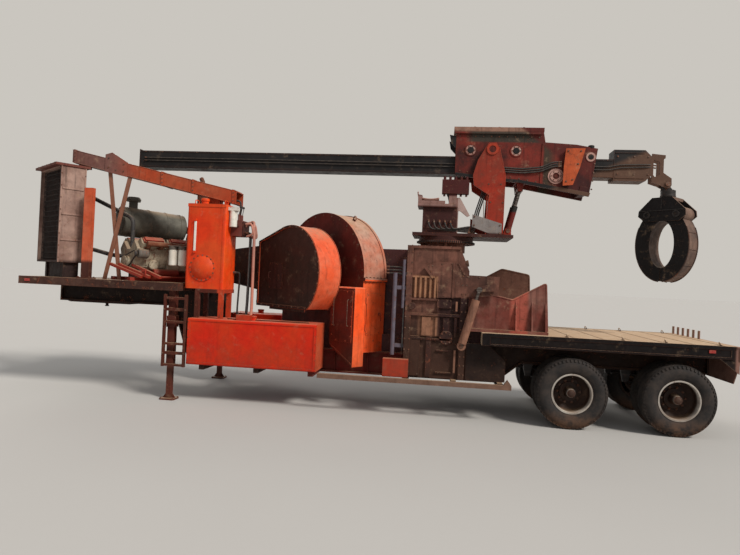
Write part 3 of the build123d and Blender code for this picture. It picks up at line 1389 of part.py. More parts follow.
# Operator's station on the turret's front edge, with the loader's valve bank above its shelf
station_x_low = turret_x - 400
station_top_z = 3330.0
station_shelf_z = 3385.0
valve_low_z = 3560.0
valve_top_z = 3790.0
valve_spools = 5
with BuildPart() as operator_station:
    station_z = turret_base_z + turret_plate
    block(station_x_low, turret_x + 180, -420, -60, station_z, station_top_z)
    block(station_x_low - 86, turret_x + 155, -470, -40, station_top_z, station_shelf_z)
    block(station_x_low - 30, station_x_low + 360, -430, -90, station_shelf_z, station_shelf_z + 55)
    side_plate([
        (station_x_low - 86, station_shelf_z), (station_x_low - 30, station_shelf_z),
        (station_x_low - 20, station_shelf_z + 140), (station_x_low - 90, station_shelf_z + 150),
    ], -430, -90)
    side_plate([
        (turret_x + 110, station_shelf_z - 20), (turret_x + 125, station_shelf_z + 110),
        (turret_x + 200, station_shelf_z + 115), (turret_x + 370, station_top_z - 120),
        (turret_x + 330, station_top_z - 145), (turret_x + 210, station_top_z - 50),
        (turret_x + 110, station_top_z - 50),
    ], -415, -385)
    block(turret_x + 20, turret_x + 150, -440, -330, station_shelf_z, valve_low_z)
    block(turret_x - 100, turret_x + 340, -460, -310, valve_low_z, valve_top_z)
    for index in range(valve_spools):
        x = turret_x - 60 + index * 90
        bar((x, -385, valve_top_z), (x, -385, valve_top_z + 60), 22)
        bar((x, -385, valve_low_z), (x, -385, valve_low_z - 40), 18)
operator_station.part.label = "operator_station"

# Boom head: two cheek plates, roof, cross ties, stub pins
head_outline = [
    (head_front_x, 3900.0),
    (2280.0, 3825.0),
    (2650.0, 3800.0),
    (3780.0, head_rear_bottom_z),
    (head_rear_x, head_rear_top_z),
    (3560.0, 4450.0),
    (3060.0, 4480.0),
    (head_roof_rear_x, head_roof_z),
    (head_front_x, head_roof_z),
]
sleeve_band = [
    (3383.0, 4374.0), (3690.0, 4379.0), (3609.0, 4051.0), (3510.0, 3775.0), (3350.0, 3760.0), (3358.0, 4095.0),
]
head_holes = [
    # x, z, radius
    (1848.0, 4330.0, 85.0),
    (2594.0, 4330.0, 85.0),
]
head_y_outer = head_y_inner + head_plate
with BuildPart() as boom_head:
    for y_low, y_high in pair(head_y_inner, head_y_outer):
        side_plate(head_outline, y_low, y_high)
        for x, z, radius in head_holes:
            bar((x, y_low, z), (x, y_high, z), radius, Mode.SUBTRACT)
        outer_low, outer_high = (y_high, y_high + 18) if y_low > 0 else (y_low - 18, y_low)
        bar((hub_ring_x, outer_low, hub_ring_z), (hub_ring_x, outer_high, hub_ring_z), hub_ring_r)
        rim_low, rim_high = (y_high + 8, outer_high) if y_low > 0 else (outer_low, y_low - 8)
        bar((hub_ring_x, rim_low, hub_ring_z), (hub_ring_x, rim_high, hub_ring_z), hub_ring_r - 35, Mode.SUBTRACT)
        bar((hub_ring_x, rim_low, hub_ring_z), (hub_ring_x, rim_high, hub_ring_z), hub_ring_r - 70)
        pin_low, pin_high = (y_high, upright_y_inner + upright_plate + 10) if y_low > 0 else (
            -upright_y_inner - upright_plate - 10, y_low)
        bar((head_pivot_x, pin_low, head_pivot_z), (head_pivot_x, pin_high, head_pivot_z), head_pin_r)
    for y_low, y_high in pair(head_y_outer + 50, head_y_outer + 66):
        side_plate(sleeve_band, y_low, y_high)
        tie_low, tie_high = (head_y_outer, y_low) if y_low > 0 else (y_high, -head_y_outer)
        block(3400, 3425, tie_low, tie_high, 3790, 4360)
        block(3570, 3595, tie_low, tie_high, 4070, 4360)
    block(head_front_x - 40, head_roof_rear_x, -head_y_outer - 40, head_y_outer + 40, head_roof_z, head_roof_top_z)
    block(lift_head_x - 90, lift_head_x + 90, -head_y_inner, head_y_inner, 3800, 3840)
    for lug_y in (lift_y - lug_shift, lift_y + lug_shift):
        for y_low, y_high in pair(lug_y - lug_plate / 2, lug_y + lug_plate / 2):
            side_plate([
                (lift_head_x - 60, 3800), (lift_head_x + 60, 3800),
                (lift_head_x + 42, lift_head_z - 35), (lift_head_x - 42, lift_head_z - 35),
            ], y_low, y_high)
            cap_low, cap_high = (y_low, y_high + 10) if abs(lug_y) > lift_y else (y_low - 10, y_high)
            if y_low < 0:
                cap_low, cap_high = (y_low - 10, y_high) if abs(lug_y) > lift_y else (y_low, y_high + 10)
            bar((lift_head_x, cap_low, lift_head_z), (lift_head_x, cap_high, lift_head_z), lift_pin_r + 7)
    block(3650, 3760, -head_y_inner, head_y_inner, 3640, 3690)
    block(1640, 1700, -head_y_inner, head_y_inner, 4470, 4600)
boom_head.part.label = "boom_head"

lift_base = (lift_base_x, 0, lift_base_z)
lift_head = (lift_head_x, 0, lift_head_z)
lift_barrels = cylinder_barrels("lift_barrels", lift_base, lift_head, lift_y, lift_eye_half, lift_pin_r, 52, 32,
                                (32, 120, 440))
lift_rods = cylinder_rods("lift_rods", lift_base, lift_head, lift_y, lift_eye_half, lift_pin_r, 32, 252)

# Boom rollers on their axles across the head, two above the boom and one below
rollers = [
    # x, z, radius
    (head_front_x + 160, boom_top_z + roller_r + seat_gap, roller_r),
    (head_rear_x - 460, boom_top_z + roller_r + seat_gap, roller_r),
    (head_rear_x - 200, boom_bottom_z - lower_roller_r - seat_gap, lower_roller_r),
]
with BuildPart() as boom_rollers:
    for x, z, radius in rollers:
        bar((x, -roller_half_width, z), (x, roller_half_width, z), radius)
        bar((x, -head_y_inner, z), (x, head_y_inner, z), 35)
boom_rollers.part.label = "boom_rollers"

# Slide boom: welded box tube with a deeper tip and a fork
with BuildPart() as slide_boom:
    block(boom_front_x, tip_front_x, -boom_half_width, boom_half_width, boom_bottom_z, boom_top_z)
    block(boom_front_x - 1, tip_front_x + 1, -boom_half_width + boom_wall, boom_half_width - boom_wall,
          boom_bottom_z + boom_wall, boom_top_z - boom_wall, Mode.SUBTRACT)
    block(boom_front_x, boom_front_x + 20, -boom_half_width, boom_half_width, boom_bottom_z, boom_top_z)
    side_plate([
        (tip_front_x, tip_bottom_z), (boom_rear_x - 120, tip_bottom_z), (boom_rear_x, tip_bottom_z + 120),
        (boom_rear_x, tip_top_z - 130), (boom_rear_x - 130, tip_top_z), (tip_front_x, tip_top_z),
    ], -boom_half_width - 6, boom_half_width + 6)
    for y_low, y_high in pair(tip_cheek_y, tip_cheek_y + tip_cheek):
        side_plate([
            (boom_rear_x, tip_top_z - 40), (boom_rear_x + 100, tip_top_z - 50), (tip_pin_x - 50, tip_top_z - 60),
            (tip_pin_x - 50, tip_top_z - 110), (tip_pin_x - 75, tip_top_z - 130), (tip_pin_x - 75, tip_pin_z + 180),
            (tip_pin_x + 55, tip_pin_z + 90), (tip_pin_x + 60, tip_pin_z - 20), (tip_pin_x + 40, tip_pin_z - 60),
            (tip_pin_x, tip_pin_z - 74), (tip_pin_x - 50, tip_pin_z - 60), (tip_pin_x - 130, tip_pin_z - 20),
            (boom_rear_x, tip_bottom_z),
        ], y_low, y_high)
        side_plate([
            (boom_rear_x + 25, tip_top_z - 140), (tip_pin_x - 135, tip_top_z - 170),
            (tip_pin_x - 135, tip_pin_z + 140), (boom_rear_x + 50, tip_pin_z + 110),
            (boom_rear_x + 25, tip_pin_z + 140),
        ], y_low, y_high, Mode.SUBTRACT)
        bar((tip_pin_x, y_low, tip_pin_z), (tip_pin_x, y_high, tip_pin_z), tip_pin_r + pin_clearance, Mode.SUBTRACT)
slide_boom.part.label = "slide_boom"

# Hanger under the boom's tip, with the body of the rotator
with BuildPart() as hanger:
    pin_half = tip_cheek_y + tip_cheek + 12
    bar((tip_pin_x, -pin_half, tip_pin_z), (tip_pin_x, pin_half, tip_pin_z), tip_pin_r)
    swivel_top_z = swivel_z + swivel_height
    side_plate([
        (tip_pin_x - 52, tip_pin_z - 40), (tip_pin_x - 40, tip_pin_z + 42), (tip_pin_x + 40, tip_pin_z + 42),
        (tip_pin_x + 52, tip_pin_z - 40), (swivel_x + 60, swivel_top_z), (swivel_x - 80, swivel_top_z),
    ], side_gap - tip_cheek_y, tip_cheek_y - side_gap)
    bar((swivel_x, 0, swivel_top_z), (swivel_x, 0, swivel_z), swivel_r)
hanger.part.label = "hanger"

# Directions of the grapple: it hangs turned away from the boom's line
jaw_reach = Vector(math.cos(grapple_turn), math.sin(grapple_turn), 0)
jaw_axis = Vector(-math.sin(grapple_turn), math.cos(grapple_turn), 0)


def grapple_point(reach, width, z):
    """Point by its distance along the jaws' reach and along their hinge axis from the swivel."""
    return Vector(swivel_x, 0, z) + jaw_reach * reach + jaw_axis * width


def grapple_plane(width):
    """Upright plane square to the jaws' hinge axis; its x runs along the jaws' reach."""
    return Plane(origin=grapple_point(0, width, 0), x_dir=jaw_reach, z_dir=-jaw_axis)


# Grapple head: two flared cheeks under a top plate and the rotator's disc
cheek_low = jaw_width / 2 + cheek_gap
grapple_top_z = swivel_z - swivel_disc
with BuildPart() as grapple_head:
    bar((swivel_x, 0, swivel_z - seat_gap), (swivel_x, 0, grapple_top_z), swivel_r - 15)
    for inner, outer in pair(cheek_low, cheek_low + grapple_cheek):
        prism(grapple_plane(outer), [
            (-160, grapple_top_z), (-cheek_reach + 10, jaw_pivot_z + 70), (-cheek_reach, jaw_pivot_z - 20),
            (-jaw_pivot_reach - 40, jaw_pivot_z - 110), (jaw_pivot_reach + 40, jaw_pivot_z - 110),
            (cheek_reach, jaw_pivot_z - 20), (cheek_reach - 10, jaw_pivot_z + 70), (160, grapple_top_z),
        ], grapple_cheek)
    prism(grapple_plane(cheek_low), [
        (-170, grapple_top_z - 50), (170, grapple_top_z - 50), (170, grapple_top_z), (-170, grapple_top_z),
    ], 2 * cheek_low)
    for reach in (-jaw_pivot_reach, jaw_pivot_reach):
        bar(grapple_point(reach, -cheek_low - grapple_cheek - 1, jaw_pivot_z),
            grapple_point(reach, cheek_low + grapple_cheek + 1, jaw_pivot_z), jaw_pin_r + pin_clearance,
            Mode.SUBTRACT)
grapple_head.part.label = "grapple_head"


def jaw(side):
    """Half of the grapple's ring: an elliptical band from the pivot's hub down to the tip."""
    with BuildPart() as tine:
        with BuildSketch(grapple_plane(jaw_width / 2)) as band:
            with Locations((0, jaw_centre_z)):
                Ellipse(jaw_outer_half, jaw_outer_height)
                Ellipse(jaw_inner_half, jaw_inner_height, mode=Mode.SUBTRACT)
            with Locations((side * (jaw_tip_gap / 2 + jaw_outer_half), jaw_pivot_z - jaw_outer_height)):
                Rectangle(2 * jaw_outer_half, 2 * jaw_outer_height, mode=Mode.INTERSECT)
            with Locations((side * jaw_pivot_reach, jaw_pivot_z)):
                Circle(jaw_hub_r)
        extrude(band.sketch, amount=jaw_width)
        bar(grapple_point(side * jaw_pivot_reach, -jaw_pin_half, jaw_pivot_z),
            grapple_point(side * jaw_pivot_reach, jaw_pin_half, jaw_pivot_z), jaw_pin_r)
    tine.part.label = "jaw_front" if side < 0 else "jaw_rear"
    return tine


jaw_front = jaw(-1)
jaw_rear = jaw(1)

pieces = [
    main_frame, engine_deck, coupling_plate, landing_legs, access_steps, side_tanks, hydraulic_tank,
    tank_stand, filter_and_valves, belt_guard, belt_tunnel, disc_hood, disc_base, bearing_housing,
    feed_throat, feed_frame, lower_feed_roll, upper_feed_roll, feed_yoke, feed_barrels, feed_rods,
    infeed_trough, rear_deck, lamps, side_skirts, axles, springs, cooler_shroud, cooler_core, cooling_fan,
    engine, air_cleaner, front_frame, discharge_spout, tool_box, loader_pedestal, turret, operator_station,
    lift_barrels, lift_rods, boom_head, boom_rollers, slide_boom, hanger, grapple_head, jaw_front,
    jaw_rear, *wheel_parts,
]

os.makedirs("parts", exist_ok=True)
for piece in pieces:
    export_step(piece.part, "parts/" + piece.part.label + ".step")
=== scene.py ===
"""Looks of a weathered whole tree chipper trailer, laid out as an add-on and run as a script."""
import math

import bmesh
import bpy
import numpy as np
from bpy.props import FloatProperty, FloatVectorProperty, IntProperty, PointerProperty
from mathutils import Matrix, Vector


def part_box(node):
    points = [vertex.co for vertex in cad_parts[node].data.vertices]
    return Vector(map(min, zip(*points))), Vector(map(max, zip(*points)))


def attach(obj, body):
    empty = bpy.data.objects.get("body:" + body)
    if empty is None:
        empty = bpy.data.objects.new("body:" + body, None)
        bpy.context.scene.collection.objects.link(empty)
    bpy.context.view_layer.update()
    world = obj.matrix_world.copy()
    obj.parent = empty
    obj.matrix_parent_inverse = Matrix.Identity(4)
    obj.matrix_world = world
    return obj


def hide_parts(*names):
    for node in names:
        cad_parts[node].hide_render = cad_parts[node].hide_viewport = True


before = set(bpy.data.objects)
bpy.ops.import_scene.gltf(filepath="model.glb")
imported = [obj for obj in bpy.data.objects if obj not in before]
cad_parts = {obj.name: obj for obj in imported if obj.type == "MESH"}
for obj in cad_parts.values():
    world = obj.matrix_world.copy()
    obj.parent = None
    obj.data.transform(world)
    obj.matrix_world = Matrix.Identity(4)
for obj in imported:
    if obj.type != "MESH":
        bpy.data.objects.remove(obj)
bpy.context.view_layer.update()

bl_info = {
    "name": "Tree chipper looks",
    "version": (1, 0, 0),
    "blender": (4, 5, 0),
    "location": "View3D > Sidebar > Chipper",
    "description": "Dresses the packed tree chipper trailer with its finishes and small pieces",
    "category": "Object",
}

# Directions of the trailer
rear, right, up = np.eye(3)
# The skewed drive line, the same as in the solids: along its shaft, and across it
skew = math.radians(37.5)
along = np.array([math.sin(skew), math.cos(skew), 0.0])
across = np.array([math.cos(skew), -math.sin(skew), 0.0])

# Radius that closes a turned outline at its axis
AXIS = 0.001


def rgb(red, green, blue):
    """Linear colour with alpha from display values of 0 to 255."""
    values = np.array([red, green, blue]) / 255
    linear = np.where(values <= 0.04045, values / 12.92, ((values + 0.055) / 1.055) ** 2.4)
    return (*linear.tolist(), 1.0)


def grey(level):
    """Neutral colour that darkens what it multiplies."""
    return (level, level, level, 1.0)


# Settings that a user would change


class PaintSettings(bpy.types.PropertyGroup):
    """Colours and weathering of the paint and steel."""

    orange: FloatVectorProperty(
        name="Orange", description="Orange enamel where it is still sound", subtype="COLOR", size=4,
        min=0.0, max=1.0, default=rgb(204, 34, 6))
    rust: FloatVectorProperty(
        name="Rust", description="Surface rust", subtype="COLOR", size=4,
        min=0.0, max=1.0, default=rgb(92, 50, 34))
    dust: FloatVectorProperty(
        name="Dust", description="Wood dust on faces that look up", subtype="COLOR", size=4,
        min=0.0, max=1.0, default=rgb(176, 146, 116))
    rust_share: FloatProperty(
        name="Rust share", description="How far rust patches spread", subtype="FACTOR",
        min=0.0, max=1.0, default=0.5)


class WheelSettings(bpy.types.PropertyGroup):
    """Tyres and their tread."""

    tread_depth: FloatProperty(
        name="Tread depth", description="Depth of the grooves between the tread's ribs", unit="LENGTH",
        min=0.0, max=0.03, default=0.012)
    groove_width: FloatProperty(
        name="Groove width", description="Width of one groove", unit="LENGTH",
        min=0.004, max=0.03, default=0.011)
    steps: IntProperty(
        name="Steps", description="Steps round one tyre", min=48, max=240, default=144)


class StageSettings(bpy.types.PropertyGroup):
    """Floor, lamps and camera."""

    floor_colour: FloatVectorProperty(
        name="Floor", description="Colour of the plain floor", subtype="COLOR", size=4,
        min=0.0, max=1.0, default=rgb(178, 175, 170))
    key_strength: FloatProperty(
        name="Key", description="Strength of the soft sun", min=0.0, max=20.0, default=3.3)
    fill_level: FloatProperty(
        name="Fill", description="Strength of the world's light on the object", min=0.0, max=2.0, default=0.5)
    lens: FloatProperty(
        name="Lens", description="Focal length of the camera", unit="CAMERA",
        min=10.0, max=200.0, default=28.216)


# Node recipes


class Finish:
    """Recipe of one material. Each method adds one node and returns its output."""

    def __init__(self, name):
        self.material = bpy.data.materials.new(name + "_finish")
        self.material.use_nodes = True
        self.tree = self.material.node_tree
        self.tree.nodes.clear()
        self.shader = self.node("BsdfPrincipled")
        self.node("OutputMaterial", {"Surface": self.shader.outputs[0]})
        texture = self.node("TexCoord")
        self.place = texture.outputs["Object"]
        self.facing = texture.outputs["Normal"]

    def give(self, socket, value):
        """Link an output to the socket, or write a plain value on it."""
        if isinstance(value, bpy.types.NodeSocket):
            self.tree.links.new(value, socket)
        else:
            socket.default_value = value

    def node(self, kind, inputs=None, **settings):
        """New node with its settings, and with a value or an output for each input that is named."""
        made = self.tree.nodes.new("ShaderNode" + kind)
        for name, value in settings.items():
            setattr(made, name, value)
        for socket, value in (inputs or {}).items():
            self.give(made.inputs[socket], value)
        return made

    def surface(self, **values):
        """Give the shader's sockets their values by name."""
        for name, value in values.items():
            self.give(self.shader.inputs[name.replace("_", " ").title().replace("Ior", "IOR")], value)

    def noise(self, scale, detail=5.0, roughness=0.6, distortion=0.0, stretch=None):
        """Cloudy pattern of 0 to 1; scale is the number of patches in a metre, stretch a factor per axis."""
        place = self.place
        if stretch:
            place = self.node("Mapping", {"Vector": place, "Scale": stretch}).outputs[0]
        inputs = {"Vector": place, "Scale": scale, "Detail": detail, "Roughness": roughness}
        return self.node("TexNoise", {**inputs, "Distortion": distortion}).outputs["Fac"]

    def cells(self, scale, feature="F1"):
        """Distance to the nearest of scattered points."""
        return self.node("TexVoronoi", {"Vector": self.place, "Scale": scale},
                         feature=feature).outputs["Distance"]

    def sum(self, operation, first, second=0.0):
        """One arithmetic step on two values."""
        return self.node("Math", {0: first, 1: second}, operation=operation).outputs[0]

    def times(self, first, second):
        """Product of two values."""
        return self.sum("MULTIPLY", first, second)

    def band(self, value, low, high, from_value=0.0, to_value=1.0):
        """Smooth step from one value to another while the input goes from low to high."""
        return self.node("MapRange", {"Value": value, "From Min": low, "From Max": high, "To Min": from_value,
                                      "To Max": to_value}, interpolation_type="SMOOTHSTEP").outputs[0]

    def mix(self, share, first, second, blend="MIX"):
        """Mix of two colours."""
        made = self.node("Mix", data_type="RGBA", blend_type=blend)
        self.give(made.inputs["Factor"], share)
        self.give(made.inputs[6], first)
        self.give(made.inputs[7], second)
        return made.outputs[2]

    def along_direction(self, direction, source=None):
        """Dot product of a vector, or else the place, with a fixed direction."""
        return self.node("VectorMath", {0: source or self.place, 1: tuple(float(v) for v in direction)},
                         operation="DOT_PRODUCT").outputs["Value"]

    def height(self):
        """Height above the ground."""
        return self.node("SeparateXYZ", {0: self.place}).outputs[2]

    def lying(self, low, high, share=1.0):
        """Share that comes in where the surface looks up."""
        return self.band(self.node("SeparateXYZ", {0: self.facing}).outputs[2], low, high, 0.0, share)

    def edges(self, radius):
        """1 near sharp edges, from how far a rounded normal leaves the true one."""
        rounded = self.node("Bevel", {"Radius": radius}, samples=4).outputs[0]
        true = self.node("NewGeometry").outputs["Normal"]
        same = self.node("VectorMath", {0: rounded, 1: true}, operation="DOT_PRODUCT").outputs["Value"]
        return self.sum("SUBTRACT", 1.0, same)

    def bump(self, height, strength, distance):
        """Surface relief from a height value; distance is in metres."""
        return self.node("Bump", {"Height": height, "Strength": strength, "Distance": distance}).outputs[0]


def painted(name, sound, bleached, wear, rust=None, grime_top=1.3, face=None, patches=(), mottle=0.4):
    """Old enamel on steel plate: bleached clouds, runs, rust that breaks through, worn edges and dust on top.

    Colours are display values. Without a sound colour, it is the orange of the settings.
    wear is (rust's share, dust's share, worn edges, streaks, roughness).
    face gives other colours where the plate looks along a direction: (direction, sound, bleached).
    For most paints these are painted light and shade: lit and shaded copies of the paint.
    mottle is how far small clouds darken the paint and larger ones bleach it.
    patches give another colour by place: (colour, band, band…). A band is (direction, from, to), where from
    and to are the distances along the direction between which the colour comes in; with True behind them,
    it counts the distance to both sides.
    """
    paint = bpy.context.scene.chipper_paint
    finish = Finish(name)
    rust_share, dust_share, edge_share, streak_share, roughness = wear
    sound = rgb(*sound) if sound else tuple(paint.orange)
    bleached = rgb(*bleached)
    rust = rgb(*rust) if rust else tuple(paint.rust)
    # Colours by facing: for most paints these are painted light and shade, lit and shaded copies of the paint
    if face:
        direction, face_sound, face_bleached = face
        looking = finish.sum("ABSOLUTE", finish.along_direction(direction, finish.facing))
        towards = finish.band(looking, 0.72, 0.8)
        sound = finish.mix(towards, sound, rgb(*face_sound))
        bleached = finish.mix(towards, bleached, rgb(*face_bleached))
    clouds = finish.noise(1.7, 6.0, 0.62)
    blotches = finish.noise(9.0, 8.0, 0.68, 0.4)
    specks = finish.noise(70.0, 4.0, 0.6)
    runs = finish.noise(16.0, 6.0, 0.6, stretch=(1.0, 1.0, 0.07))
    colour = finish.mix(finish.band(clouds, 0.38, 0.66), sound, bleached)
    for patch, *bands in patches:
        share = 1.0
        for way, low, high, *both_sides in bands:
            distance = finish.along_direction(way)
            if both_sides:
                distance = finish.sum("ABSOLUTE", distance)
            share = finish.times(finish.band(distance, low, high), share)
        colour = finish.mix(share, colour, rgb(*patch))
    colour = finish.mix(finish.band(blotches, 0.3, 0.75, 0.0, mottle), colour, grey(0.5), "MULTIPLY")
    pale = finish.band(finish.noise(5.0, 8.0, 0.74, 0.1), 0.55, 0.72, 0.0, 0.5 * mottle)
    colour = finish.mix(pale, colour, tuple(paint.dust))
    stain = finish.times(finish.band(runs, 0.52, 0.72), streak_share)
    colour = finish.mix(stain, colour, grey(0.3), "MULTIPLY")
    breakout = finish.sum("ADD", finish.times(blotches, 0.62), finish.times(specks, 0.38))
    threshold = 0.66 - 0.44 * rust_share * paint.rust_share
    rusty = finish.band(breakout, threshold, threshold + 0.05)
    rim_wear = finish.times(finish.edges(0.012), finish.sum("ADD", blotches, 0.35))
    worn = finish.times(finish.band(rim_wear, 0.03, 0.16), edge_share)
    bare = finish.sum("MAXIMUM", rusty, worn)
    bright_rust = tuple(min(1.0, value * 1.7) for value in rust[:3]) + (1.0,)
    colour = finish.mix(bare, colour, finish.mix(finish.band(specks, 0.35, 0.7), rust, bright_rust))
    low = finish.band(finish.height(), grime_top, 0.4, 0.0, 0.55)
    grime = finish.times(low, finish.band(finish.noise(5.0, 6.0, 0.7), 0.25, 0.7))
    colour = finish.mix(grime, colour, rgb(70, 48, 36))
    dusty = finish.times(finish.lying(0.55, 0.95), finish.band(blotches, 0.25, 0.6, 0.15, dust_share))
    colour = finish.mix(dusty, colour, tuple(paint.dust))
    sheen = finish.band(blotches, 0.2, 0.8, roughness - 0.1, roughness + 0.2)
    relief = finish.sum("SUBTRACT", specks, finish.times(bare, 0.8))
    relief = finish.sum("ADD", finish.times(clouds, 3.0), relief)
    finish.surface(base_color=colour, roughness=finish.sum("MAXIMUM", sheen, finish.times(bare, 0.85)),
                   specular_ior_level=0.2, normal=finish.bump(relief, 0.35, 0.004))
    return finish.material


def rubber(name):
    """Dusty grey tyre rubber with cracked sidewalls and earth on its lower part."""
    finish = Finish(name)
    dusting = finish.noise(7.0, 7.0, 0.7)
    cracks = finish.cells(90.0, "DISTANCE_TO_EDGE")
    grains = finish.noise(220.0, 3.0, 0.5)
    colour = finish.mix(finish.band(dusting, 0.3, 0.72), rgb(27, 25, 25), rgb(60, 52, 47))
    colour = finish.mix(finish.band(cracks, 0.03, 0.0, 0.0, 0.35), colour, rgb(15, 14, 14))
    low = finish.times(finish.band(finish.height(), 0.32, 0.0, 0.0, 0.8), finish.band(dusting, 0.3, 0.6))
    colour = finish.mix(low, colour, rgb(104, 74, 54))
    relief = finish.sum("ADD", grains, finish.times(cracks, 2.0))
    finish.surface(base_color=colour, roughness=finish.band(dusting, 0.2, 0.8, 0.72, 0.94),
                   specular_ior_level=0.3, normal=finish.bump(relief, 0.3, 0.0015))
    return finish.material


def bare_steel(name, light, dark, roughness=0.45, rust_low=0.5, rust_high=0.62, metallic=0.75):
    """Steel that wear keeps bright here and there under brown rust. Colours are display values."""
    finish = Finish(name)
    blotches = finish.noise(11.0, 8.0, 0.66, 0.3)
    fine = finish.noise(90.0, 4.0, 0.6)
    scratches = finish.noise(34.0, 3.0, 0.5, stretch=(0.1, 1.0, 1.0))
    breakout = finish.sum("ADD", finish.times(blotches, 0.7), finish.times(fine, 0.3))
    rusty = finish.band(breakout, rust_low, rust_high)
    steel = finish.mix(finish.band(scratches, 0.4, 0.7), rgb(*dark), rgb(*light))
    brown = finish.mix(fine, rgb(74, 44, 32), rgb(128, 78, 52))
    finish.surface(base_color=finish.mix(rusty, steel, brown),
                   metallic=finish.band(rusty, 0.0, 1.0, metallic, 0.05),
                   roughness=finish.band(rusty, 0.0, 1.0, roughness, 0.9),
                   normal=finish.bump(finish.sum("ADD", fine, scratches), 0.25, 0.0015))
    return finish.material


def lens(name):
    """Dusty red lamp lens with moulded ridges."""
    finish = Finish(name)
    ridges = finish.sum("PINGPONG", finish.times(finish.height(), 140.0), 1.0)
    dusting = finish.noise(30.0, 6.0, 0.6)
    colour = finish.mix(finish.band(dusting, 0.35, 0.8, 0.0, 0.6), rgb(150, 20, 12), rgb(140, 96, 74))
    finish.surface(coat_weight=0.5, base_color=colour, roughness=finish.band(dusting, 0.3, 0.8, 0.15, 0.5),
                   normal=finish.bump(ridges, 0.4, 0.002))
    return finish.material


def lines(name):
    """Black rubber sleeve of lines and belts, scuffed grey and dusty on top."""
    finish = Finish(name)
    scuffs = finish.noise(26.0, 6.0, 0.65)
    colour = finish.mix(finish.band(scuffs, 0.42, 0.75), rgb(30, 28, 28), rgb(78, 70, 64))
    colour = finish.mix(finish.lying(0.4, 0.95, 0.45), colour, rgb(122, 100, 80))
    finish.surface(base_color=colour, roughness=finish.band(scuffs, 0.3, 0.7, 0.5, 0.85),
                   normal=finish.bump(finish.cells(420.0), 0.2, 0.0006))
    return finish.material


# The direction that the grapple's front face looks to
grapple_face = (math.cos(math.radians(45)), math.sin(math.radians(45)), 0.0)

